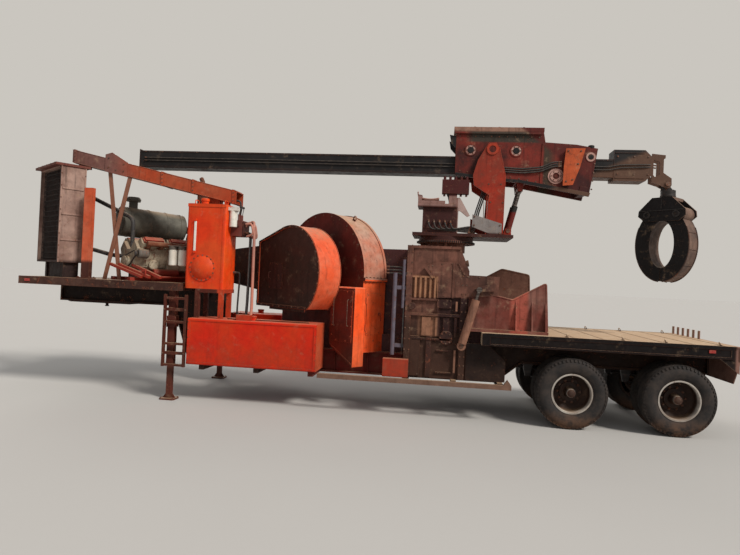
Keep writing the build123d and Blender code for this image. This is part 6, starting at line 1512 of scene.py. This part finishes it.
class CHIPPER_OT_frame_trim(bpy.types.Operator):
    """U-bolts, brake chambers, lamp bezels, deck cleats, couplings and rail gussets of the trailer"""

    bl_idname = "chipper.frame_trim"
    bl_label = "Trailer trim"

    def execute(self, context):
        self.axles()
        self.lamp_bezels()
        self.deck()
        self.couplings()
        self.rails()
        return {"FINISHED"}

    def axles(self):
        """U-bolts round the springs, and the brake chambers."""
        clamps, chambers = Shape(), Shape()
        chamber = [(-0.07, 0.05), (-0.04, 0.085), (-0.008, 0.088), (-0.008, 0.096), (0.008, 0.096),
                   (0.008, 0.088), (0.04, 0.08), (0.06, 0.05)]
        for _, x, side in WHEELS:
            y = side * 0.48
            for leg_x in about(x, 0.06):
                legs = walk((leg_x, y - 0.052, 0.71), -up * 0.26, right * 0.104, up * 0.26)
                clamps.tube(bent(legs, 0.05, 6), 0.011, 10)
                clamps.bolts([legs[0], legs[-1]], up, 0.018, 0.02)
            clamps.plate((x - 0.09, y - 0.065, 0.69), (x + 0.09, y + 0.065, 0.706))
            centre = np.array([x - 0.22, side * 0.3, 0.56])
            chambers.knob(chamber, centre, rear, 28)
            chambers.bar(centre + rear * 0.05, centre + (0.2, 0.0, 0.02), 0.011)
            chambers.plate(centre + (0.075, -0.03, -0.04), centre + (0.2, 0.03, -0.025))
        clamps.piece("spring_clamps", "trailer", "dark_steel", "black_steel", 40.0)
        chambers.piece("brake_chambers", "trailer", "frame", "black_steel", 40.0)

    def lamp_bezels(self):
        """Rubber rings round the tail lamps."""
        shape = Shape()
        ring = [(0.0, 0.05), (0.0, 0.066), (0.012, 0.064), (0.02, 0.056), (0.026, 0.0525), (0.02, 0.05)]
        for y in (-0.94, -0.8, 0.8, 0.94):
            shape.turned(ring, (5.75, y, 1.06), rear, 32)
        shape.piece("lamp_bezels", "trailer", "rubber_black", "tyre_rubber", 40.0)

    def deck(self):
        """Cross strips, edge beads and lashing rings of the rear deck."""
        shape = Shape()
        low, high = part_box("rear_deck")
        for x in np.arange(low[0] + 1.35, high[0] - 0.1, 0.42):
            shape.plate((x - 0.012, -1.19, 1.354), (x + 0.012, 1.19, 1.3595))
        for side in (-1, 1):
            shape.bar((low[0] + 0.03, side * 1.213, 1.352), (5.74, side * 1.213, 1.352), 0.008, 8, 24)
            for x in (3.35, 4.15, 4.75, 5.5):
                y = side * 1.1
                shape.tube(closed(circle((x, y, 1.372), (1, 0.2 * side, 0.3), 0.032, 16)), 0.007)
                shape.plate((x - 0.02, y - 0.03, 1.354), (x + 0.02, y + 0.03, 1.366))
        shape.piece("deck_cleats", "trailer", "deck_plate", "rusty_deck", 40.0)

    def couplings(self):
        """Air and electric couplings on the front."""
        shape = Shape()
        for y, radius in ((-0.32, 0.035), (-0.18, 0.045), (0.12, 0.035)):
            place = np.array([-5.3, y, 1.66])
            shape.drum(place, place + rear * 0.1, radius, 20, 0.004)
            shape.drum(place - rear * 0.018, place, radius * 1.18, 20, 0.004)
        shape.plate((-5.2, -0.4, 1.6), (-5.19, 0.4, 1.72))
        shape.piece("air_couplings", "trailer", "bolt", "worn_steel", 35.0)

    def rails(self):
        """Gussets and web stiffeners on the outside of both rails."""
        shape = Shape()
        for side in (-1, 1):
            outward = right * side
            for x in (-2.3, -1.4, -0.52, 0.96, 1.7, 2.4):
                gusset = [(0.0, 0.0), (0.12, 0.0), (0.0, 0.12)]
                shape.prism(gusset, (x - 0.006, side * 0.49, 0.6), outward, up, rear * 0.012)
            for x in np.arange(-1.9, 2.3, 0.55):
                shape.prism(oblong(0.0, 0.06, 0.0, 0.325), (x, side * 0.49, 0.545), outward, up, rear * 0.01)
        shape.piece("rail_gussets", "trailer", "frame", "black_steel", 30.0, 0.002)


class CHIPPER_OT_front_trim(bpy.types.Operator):
    """Spout bands and bolts, air cleaner straps, leg gear, and the bolts of legs and steps"""

    bl_idname = "chipper.front_trim"
    bl_label = "Spout, legs and steps trim"

    front_x, rear_x = -4.95, -1.99
    slope = (4.09 - 3.45) / (front_x - rear_x)

    def top(self, x):
        """Height of the spout's top edge at x."""
        return 3.45 + self.slope * (x - self.rear_x)

    def execute(self, context):
        self.spout()
        self.air_cleaner()
        self.legs_and_steps()
        return {"FINISHED"}

    def spout(self):
        """Bands round the spout, its edge beads and its bolts."""
        spout_y, half, depth, thick = -0.6, 0.17, 0.21, 0.014
        lean = unit([1.0, 0.0, self.slope])
        bands, bolts = Shape(), Shape()
        for x in (-4.9, -3.3, -2.75, -2.04):
            base = np.array([x, spout_y, self.top(x)])
            for y_low, y_high, z_low, z_high in (
                (-half - thick, half + thick, 0.0, thick),
                (-half - thick, half + thick, -depth - thick, -depth),
                (-half - thick, -half, -depth, 0.0),
                (half, half + thick, -depth, 0.0),
            ):
                bands.prism(oblong(-0.022, 0.022, z_low, z_high), base + right * y_low, lean, up,
                            right * (y_high - y_low))
            for side in (-1, 1):
                places = [base + (0.0, side * (half + thick), z) for z in (-0.04, -depth / 2, -depth + 0.04)]
                bolts.bolts(places, right * side, 0.008, 0.008)
        for side in (-1, 1):
            for z in (0.0, -depth):
                ends = ((x, spout_y + side * half, self.top(x) + z) for x in (self.front_x, self.rear_x))
                bands.bar(*ends, 0.006, 8, 16)
        bands.piece("spout_bands", "trailer", "spout", "faded_orange", 35.0)
        places = ((-4.28, -0.15), (-4.0, -0.15), (-4.28, 0.01), (-4.0, -0.03), (-4.14, -0.16))
        bolts.bolts([(x, -0.782, self.top(x) + rise) for x, rise in places], -right, 0.011, 0.010)
        bolts.piece("spout_bolts", "trailer", "bolt", "faded_orange")

    def air_cleaner(self):
        """Straps, end domes and rain cap of the air cleaner."""
        shape, radius = Shape(), 0.265
        start, end = AIR_CLEANER
        onward = unit(end - start)
        for share in (0.12, 0.42, 0.7, 0.93):
            shape.drum(*about(start + (end - start) * share, onward * 0.02), radius + 0.006, 48, 0.003)
        dome = [(-0.01, radius - 0.02), (0.02, radius - 0.03), (0.035, radius * 0.6)]
        for place, outward in ((start, -onward), (end, onward)):
            shape.knob(dome, place, outward, 40)
        rain_cap = [(0.2, AXIS), (0.2, 0.075), (0.38, 0.075), (0.38, 0.12), (0.42, 0.13), (0.46, 0.1),
                    (0.47, AXIS)]
        shape.turned(rain_cap, start + (end - start) * 0.2, up, 28)
        shape.piece("air_cleaner_bands", "trailer", "green_grey", "grey_green", 35.0)

    def legs_and_steps(self):
        """Gear boxes and crank of the landing legs, and the bolts of legs, steps and crossed legs."""
        legs, bright = Shape(), Shape()
        x = -2.85
        for side in (-1, 1):
            outward = right * side
            gear = np.array([x, side * 1.08, 1.26])
            legs.plate(*about(gear, np.array([0.075, 0.062, 0.09])))
            box_corners = on_plane(oblong(-0.06, 0.06, -0.075, 0.075), gear - outward * 0.062, rear, up)
            bright.bolts(box_corners, -outward, 0.008, 0.008)
            foot_corners = on_plane(oblong(-0.1, 0.1, -0.09, 0.09), (x, side * 1.08, 0.024), rear, right)
            bright.bolts(foot_corners, up, 0.012, 0.01)
            legs.bar((x, side * 1.03, 0.59), (x, side * 1.13, 0.59), 0.014, 10)
        legs.tube(bent(walk((x, 1.142, 1.26), right * 0.05, -up * 0.3, -rear * 0.12), 0.03), 0.011, 10)
        legs.piece("leg_gear", "trailer", "leg", "rusty_red", 35.0, 0.003)
        for z in (0.587, 0.927, 1.277, 1.657):
            bright.bolts(row((-2.89, -1.197, z), (-2.62, -1.197, z), 10), up, 0.007, 0.006)
        bright.bolts([(x, -1.22, z) for z in (0.76, 1.46) for x in (-2.93, -2.58)], -right, 0.011, 0.010)
        bright.bolts(on_plane(oblong(-0.095, 0.095, -0.065, 0.065), (-4.44, -1.01, 1.906), rear, right), up,
                     0.013, 0.014)
        bright.piece("leg_and_step_bolts", "trailer", "bolt", "rusty_red")


class CHIPPER_OT_loader_trim(bpy.types.Operator):
    """Slewing ring, motor, levers, seat, pin caps, stiffeners and lines of the turret and the head"""

    bl_idname = "chipper.loader_trim"
    bl_label = "Turret and head trim"

    def execute(self, context):
        self.slewing_ring()
        self.uprights()
        self.levers()
        self.seat()
        self.panels()
        self.head()
        return {"FINISHED"}

    def slewing_ring(self):
        """Teeth and bolts round the ring, and the motor that drives it."""
        turret_x, ring_z, deck_z = 1.5, 2.79, 2.91
        teeth, ring = Shape(), Shape()
        foot = np.array([turret_x, 0.0, ring_z - 0.036])
        for turn in np.arange(84) * 2 * np.pi / 84:
            outward = rear * np.cos(turn) + right * np.sin(turn)
            onward = right * np.cos(turn) - rear * np.sin(turn)
            tooth = [(-0.010, 0.0), (0.010, 0.0), (0.005, 0.016), (-0.005, 0.016)]
            teeth.prism(tooth, foot + outward * 0.479, onward, outward, up * 0.03)
        teeth.bolts(circle((turret_x, 0, ring_z - 0.04), up, 0.4, 20), -up, 0.012, 0.012)
        teeth.piece("slewing_teeth", "trailer", "dark_steel", "worn_steel")

        places = circle((turret_x, 0, deck_z), up, 0.39, 18, 0.1)
        # No bolts in the strip that the operator's station stands on
        ring.bolts(places[np.abs(places[:, 1] + 0.24) > 0.19], up, 0.014, 0.014)
        motor = np.array([turret_x - 0.2, 0.24, deck_z])
        ring.knob([(0.0, 0.11), (0.02, 0.11), (0.02, 0.075), (0.2, 0.075), (0.21, 0.065), (0.3, 0.065),
                   (0.31, 0.05)], motor, up, 28)
        ring.bolts(circle(motor + up * 0.02, up, 0.095, 6), up, 0.009, 0.009)
        ring.piece("slewing_motor", "loader_turret", "dark_steel", "worn_steel")

    def uprights(self):
        """Collars, bolts, pin caps and weld beads of the turret's uprights."""
        caps, plates = Shape(), Shape()
        for side in (-1, 1):
            outward = right * side
            plates.collar((2.2, side * 0.34, 4.33), outward, 0.0562, 0.1, 0.016, 0.004)
            caps.bolts(on_side([(2.2, 3.45), (2.4, 3.45), (2.16, 3.75), (2.36, 3.75)], side * 0.34), outward)
            brace = on_side([(1.95, 3.20), (2.37, 3.07), (2.37, 2.94), (1.95, 3.06)], side * 0.356)
            caps.bolts(brace, outward, 0.011, 0.010)
            plates.bar((2.142, side * 0.343, 2.92), (2.142, side * 0.343, 3.56), 0.006, 6, 8)
            plates.tube(on_side([(2.42, 2.93), (2.425, 3.9), (2.31, 4.36)], side * 0.338), 0.006, 6)
            lug = np.array([2.52, side * 0.192, 3.0])
            caps.drum(lug, lug + outward * 0.01, 0.036, 24, 0.003)
        plates.piece("upright_collars", "loader_turret", "tool_box", "orange_paint", 35.0)
        caps.piece("upright_bolts", "loader_turret", "bolt", "worn_steel")

    def levers(self):
        """Six levers with knobs and boots in the operator's station."""
        shape = Shape()
        knob = [(0.0, AXIS), (0.004, 0.014), (0.02, 0.019), (0.038, 0.013), (0.042, AXIS)]
        for index, y in enumerate(np.linspace(-0.40, -0.12, 6)):
            foot = np.array([1.53, y, 3.385])
            tip = foot + (-0.03 + 0.006 * (index % 3), 0.0, 0.17)
            shape.tube(bent([foot, foot + up * 0.05, tip], 0.03, 4), 0.006)
            shape.turned(knob, tip - up * 0.01, up, 14)
            shape.knob([(0.0, 0.02), (0.016, 0.014), (0.03, 0.009)], foot, up, 14)
        shape.piece("station_levers", "loader_turret", "dark_steel", "black_steel", 40.0)

    def seat(self):
        """Seat shell: a pan that rises into a back, its sides curled up by the fourth power of the width."""
        shape = Shape()
        u, v = np.meshgrid(np.linspace(-1, 1, 25), np.linspace(0, 1, 30), indexing="ij")
        back = np.clip((v - 0.5) / 0.5, 0, 1)
        x = 1.36 - 0.34 * np.clip(v / 0.55, 0, 1) - 0.03 * back + 0.02 * u ** 4 * back
        dip = 0.02 * np.sin(np.pi * np.clip(v / 0.5, 0, 1))
        z = 3.452 - dip + 0.13 * back ** 1.4 + 0.035 * u ** 4 * (1 - back)
        shape.grid(np.stack([x, -0.26 + 0.165 * u, z], axis=-1))
        # The seat's pale finish is painted light, for its sunlit top
        made = shape.piece("seat_shell", "loader_turret", "seat", "black_steel", 60.0)
        skin = made.modifiers.new("thickness", "SOLIDIFY")
        skin.thickness = 0.008
        skin.offset = 1.0

    def panels(self):
        """Panels, buttons and lines of the operator's station."""
        shape = Shape()
        face_y = -0.426
        shape.plate((1.66, -0.38, 3.0), (1.683, -0.1, 3.28))
        shape.plate((1.10, face_y, 2.98), (1.66, -0.42, 3.30))
        shape.bolts([(x, face_y, z) for x in (1.125, 1.38, 1.64) for z in (3.0, 3.28)], -right, 0.009, 0.008)
        shape.plate((1.014, -0.478, 3.33), (1.655, -0.47, 3.385))
        for x in 1.2 + 0.09 * np.arange(5):
            shape.drum((x, face_y, 3.1), (x, -0.45, 3.1), 0.014, 6)
        shape.piece("station_panel", "loader_turret", "station", "dark_red_paint", 30.0, 0.003)
        line_set("station_lines", "loader_turret", [
            [(1.2 + 0.09 * i, -0.44, 3.1), (1.2 + 0.09 * i, -0.47, 3.06), (1.24 + 0.09 * i, -0.455, 2.97),
             (1.75 + 0.03 * i, -0.40, 2.94 + 0.022 * i), (1.88, -0.3, 2.94 + 0.022 * i)]
            for i in range(5)
        ] + [
            [(1.9 + 0.03 * i, -0.24 + 0.02 * i, 2.93), (1.97 + 0.03 * i, -0.24 + 0.02 * i, 3.3),
             (2.06 + 0.03 * i, -0.18, 3.6), (2.1 + 0.02 * i, -0.18, 3.74)]
            for i in range(3)
        ], 0.012)

    def head(self):
        """Rollers' caps, flanges, stiffeners, bolts and lines of the boom head."""
        head, bolts, rings, flanges = Shape(), Shape(), Shape(), Shape()
        for side in (-1, 1):
            outward = right * side
            face = side * 0.244
            for x in (1.848, 2.594):
                place = np.array([x, face, 4.33])
                head.collar(place, outward, 0.084, 0.104, 0.012, 0.002)
                rings.collar(place - outward * 0.012, outward, 0.052, 0.0835, 0.018, 0.0, 0.002)
                flanges.knob([(-0.012, 0.053), (0.012, 0.053), (0.018, 0.046)], place, outward, 32)
                bolts.bolts(circle(place + outward * 0.006, outward, 0.067, 6), outward, 0.008, 0.007)
            low_flange = [(1.6, 3.9), (2.28, 3.825), (2.65, 3.8), (3.78, 3.6), (3.8, 3.66), (2.66, 3.85),
                          (2.28, 3.872), (1.61, 3.95)]
            flanges.side_plate(low_flange, face, side * 0.022)
            ear = [(1.6, 4.56), (1.49, 4.585), (1.515, 4.45), (1.6, 4.36)]
            flanges.side_plate(ear, side * 0.222, side * 0.02)
            flanges.drum((3.8, side * 0.2, 4.39), (3.8, side * 0.2, 4.45), 0.05, 20, 0.01)
            flanges.drum((3.79, face, 4.25), (3.79, face + side * 0.012, 4.25), 0.042, 24, 0.004)
            rings.collar((3.79, face, 4.25), outward, 0.044, 0.078, 0.01, 0.003, 0.002, 36)
            rings.collar((3.246, face, 3.923), outward, 0.097, 0.13, 0.012, 0.003, 0.003)
            rings.collar((3.246, side * 0.262, 3.923), outward, 0.05, 0.096, 0.008, 0.004, 0.004)
            for outline in (
                [(2.99, 3.78), (3.015, 3.777), (3.035, 4.46), (3.01, 4.46)],
                [(2.42, 4.02), (3.0, 4.00), (3.0, 4.015), (2.42, 4.035)],
                [(3.62, 3.66), (3.74, 3.645), (3.76, 3.75), (3.64, 3.77)],
            ):
                head.side_plate(outline, face, side * 0.012)
            head.plate((1.57, side * 0.27, 4.60), (3.02, side * 0.284, 4.645))
            for start, end, count in (((1.66, 4.56), (2.96, 4.56), 11), ((1.68, 3.98), (2.05, 3.93), 4),
                                      ((2.52, 3.89), (3.2, 3.78), 6), ((3.82, 3.72), (3.865, 4.28), 5)):
                bolts.bolts(on_side(row(start, end, count), face), outward)
            hub_plate = [(3.42, 4.33), (3.62, 4.33), (3.4, 3.83), (3.5, 3.86), (3.58, 4.12)]
            bolts.bolts(on_side(hub_plate, side * 0.31), outward, 0.012, 0.011)
            bolts.bolts(circle((3.246, side * 0.27, 3.923), outward, 0.073, 6), outward, 0.008, 0.007)
        rings.piece("roller_caps_and_hub_rings", "loader_head", "ring", "near_black", 35.0)
        flanges.piece("head_flanges_and_lugs", "loader_head", "boom", "near_black", 35.0, 0.002)
        head.plate((1.58, -0.02, 4.71), (3.02, 0.02, 4.722))
        for x in (1.9, 2.3, 2.7):
            head.plate((x - 0.015, -0.27, 4.71), (x + 0.015, 0.27, 4.72))
        head.piece("head_stiffeners", "loader_head", "head", "near_black", 35.0, 0.002)
        bolts.piece("head_bolts", "loader_head", "bolt", "near_black")
        line_set("head_lines", "loader_head", [
            [(2.1, -0.256, 3.99 + rise), (2.7, -0.262, 3.96 + rise), (3.0, -0.275, 3.99 + rise),
             (3.2, -0.275, 4.08 + rise), (3.31, -0.268, 4.08 + rise)]
            for rise in (0.0, 0.035, 0.07)
        ] + [
            [(1.62, 0.256, 4.48 + 0.04 * i), (2.9, 0.256, 4.42 + 0.04 * i), (3.3, 0.256, 4.30 + 0.04 * i)]
            for i in range(2)
        ], 0.012)


class CHIPPER_OT_boom_trim(bpy.types.Operator):
    """Wear strips, end plate, bolts and lines of the slide boom"""

    bl_idname = "chipper.boom_trim"
    bl_label = "Slide boom trim"

    def execute(self, context):
        low_z, high_z, half, thick = 3.936, 4.24, 0.15, 0.006
        front_x, rear_x = -4.05, 4.18
        strips, bolts = Shape(), Shape()
        for side in (-1, 1):
            outward = right * side
            strip_y = side * (half + thick)
            for z in (low_z + 0.006, high_z - 0.03):
                strips.plate((front_x + 0.03, side * half, z), (rear_x - 0.02, strip_y, z + 0.024))
            bolt_z = high_z - 0.018
            bolts.bolts(row((front_x + 0.1, strip_y, bolt_z), (rear_x - 0.1, strip_y, bolt_z), 26), outward,
                        0.007, 0.004)
            for z in (3.93, 4.34):
                strips.side_plate(oblong(4.2, 4.66, z, z + 0.015), strip_y, side * 0.008)
            tip_bolts = [(x, strip_y, z) for x in (4.24, 4.5, 4.72) for z in (4.0, 4.29)]
            bolts.bolts(tip_bolts, outward, 0.012, 0.010)
            pin = np.array([5.06, side * 0.0986, 3.87])
            bolts.drum(pin, pin + outward * 0.008, 0.042, 28, 0.003)
        end_x = front_x - 0.012
        strips.plate((end_x, -0.17, low_z - 0.02), (front_x, 0.17, high_z + 0.02))
        bolts.bolts([(end_x, y, z) for y in (-0.13, 0.0, 0.13) for z in (low_z + 0.02, high_z - 0.02)], -rear,
                    0.012, 0.010)
        strips.piece("boom_strips", "loader_boom", "boom", "near_black", 30.0, 0.001)
        bolts.piece("boom_bolts", "loader_boom", "bolt", "near_black")
        line_set("boom_lines", "loader_boom", [
            [(-3.95, side * 0.166, z), (4.1, side * 0.166, z), (4.3, side * 0.172, z + 0.04),
             (4.72, side * 0.172, end_z), (4.84, side * 0.11, end_z)]
            for side in (-1, 1) for z, end_z in ((4.06, 4.12), (4.11, 4.16))
        ], 0.009)
        return {"FINISHED"}


class CHIPPER_OT_grapple_trim(bpy.types.Operator):
    """Pin collars, edge bars, rotator bolts and lines of the grapple"""

    bl_idname = "chipper.grapple_trim"
    bl_label = "Grapple trim"

    turn = math.radians(-45)
    # The way that the jaws open, and the way of their pins
    reach = rear * math.cos(turn) + right * math.sin(turn)
    hinge = right * math.cos(turn) - rear * math.sin(turn)

    def at(self, reach, hinge, z):
        """Point by its distances from the rotator's axis and its height."""
        return rear * 5.1 + self.reach * reach + self.hinge * hinge + up * z

    def execute(self, context):
        head = Shape()
        for reach in (-0.235, 0.235):
            for side in (-1, 1):
                place = self.at(reach, side * 0.206, 3.36)
                head.collar(place, self.hinge * side, 0.0355, 0.062, 0.012, 0.004, steps=32)
        for side in (-1, 1):
            for outline in (oblong(-0.35, 0.35, 3.42, 3.432), oblong(-0.006, 0.006, 3.44, 3.6)):
                face = self.at(0.0, side * 0.205, 0.0)
                head.prism(outline, face, self.reach, up, self.hinge * side * 0.012)
        head.piece("grapple_collars", "grapple_body", "dark_steel", "worn_steel", 35.0)

        hanger = Shape()
        hanger.bolts(circle(self.at(0.0, 0.0, 3.77), up, 0.095, 10), up, 0.009, 0.009)
        hanger.collar(self.at(0.0, 0.0, 3.67), up, 0.116, 0.121, 0.014)
        hanger.piece("rotator_bolts", "grapple_hanger", "dark_steel", "worn_steel", 35.0)
        line_set("rotator_lines", "grapple_hanger", [
            [self.at(0.0, side * 0.07, 3.775), self.at(0.0, side * 0.09, 3.84),
             self.at(-0.06, side * 0.09, 3.84), self.at(-0.09, side * 0.05, 3.775)]
            for side in (-1, 1)
        ], 0.010)

        for side, name in ((-1, "front"), (1, "rear")):
            bars = Shape()
            for width in (-0.155, 0.155):
                turns = np.linspace(math.radians(28), math.radians(-86), 30)
                bars.tube([self.shell(side, width, 0.432, 0.607, turn) for turn in turns], 0.011)
            for turn in np.radians([18, -8, -34, -58]):
                start, end = (self.shell(side, width, 0.431, 0.606, turn) for width in (-0.15, 0.15))
                bars.bar(start, end, 0.008, 8, 3)
            for end in (-1, 1):
                place = self.at(side * 0.235, end * 0.165, 3.36)
                bars.collar(place, self.hinge * end, 0.036, 0.09, 0.004, 0.002, steps=36)
            bars.piece("jaw_bars_" + name, name + "_jaw", "jaw_edge", "worn_steel", 40.0)
        return {"FINISHED"}

    def shell(self, side, width, reach, height, turn):
        """Point of a closed jaw's shell, a part of an ellipse."""
        return self.at(side * reach * math.cos(turn), width, 2.875 + height * math.sin(turn))


class CHIPPER_PT_panel(bpy.types.Panel):
    """Lists the chipper's operators"""

    bl_label = "Tree chipper"
    bl_space_type = "VIEW_3D"
    bl_region_type = "UI"
    bl_category = "Chipper"

    def draw(self, context):
        for operator in OPERATORS:
            self.layout.operator(operator.bl_idname)


OPERATORS = (
    CHIPPER_OT_stage, CHIPPER_OT_finishes, CHIPPER_OT_tyres, CHIPPER_OT_wheel_nuts, CHIPPER_OT_guard_trim,
    CHIPPER_OT_hood_trim, CHIPPER_OT_bearing_trim, CHIPPER_OT_engine_trim, CHIPPER_OT_cooler_trim,
    CHIPPER_OT_tank_trim, CHIPPER_OT_works_trim, CHIPPER_OT_frame_trim, CHIPPER_OT_front_trim,
    CHIPPER_OT_loader_trim, CHIPPER_OT_boom_trim, CHIPPER_OT_grapple_trim,
)
GROUPS = (
    ("chipper_paint", PaintSettings),
    ("chipper_wheels", WheelSettings),
    ("chipper_stage", StageSettings),
)


def register():
    """Register the settings, the operators and the panel."""
    for name, group in GROUPS:
        bpy.utils.register_class(group)
        setattr(bpy.types.Scene, name, PointerProperty(type=group))
    for operator in OPERATORS:
        bpy.utils.register_class(operator)
    bpy.utils.register_class(CHIPPER_PT_panel)


def unregister():
    """Take everything out again."""
    bpy.utils.unregister_class(CHIPPER_PT_panel)
    for operator in reversed(OPERATORS):
        bpy.utils.unregister_class(operator)
    for name, group in reversed(GROUPS):
        delattr(bpy.types.Scene, name)
        bpy.utils.unregister_class(group)


def main():
    """Make the whole model."""
    register()
    for operator in OPERATORS:
        prefix, name = operator.bl_idname.split(".")
        getattr(getattr(bpy.ops, prefix), name)()


if __name__ == "__main__":
    main()
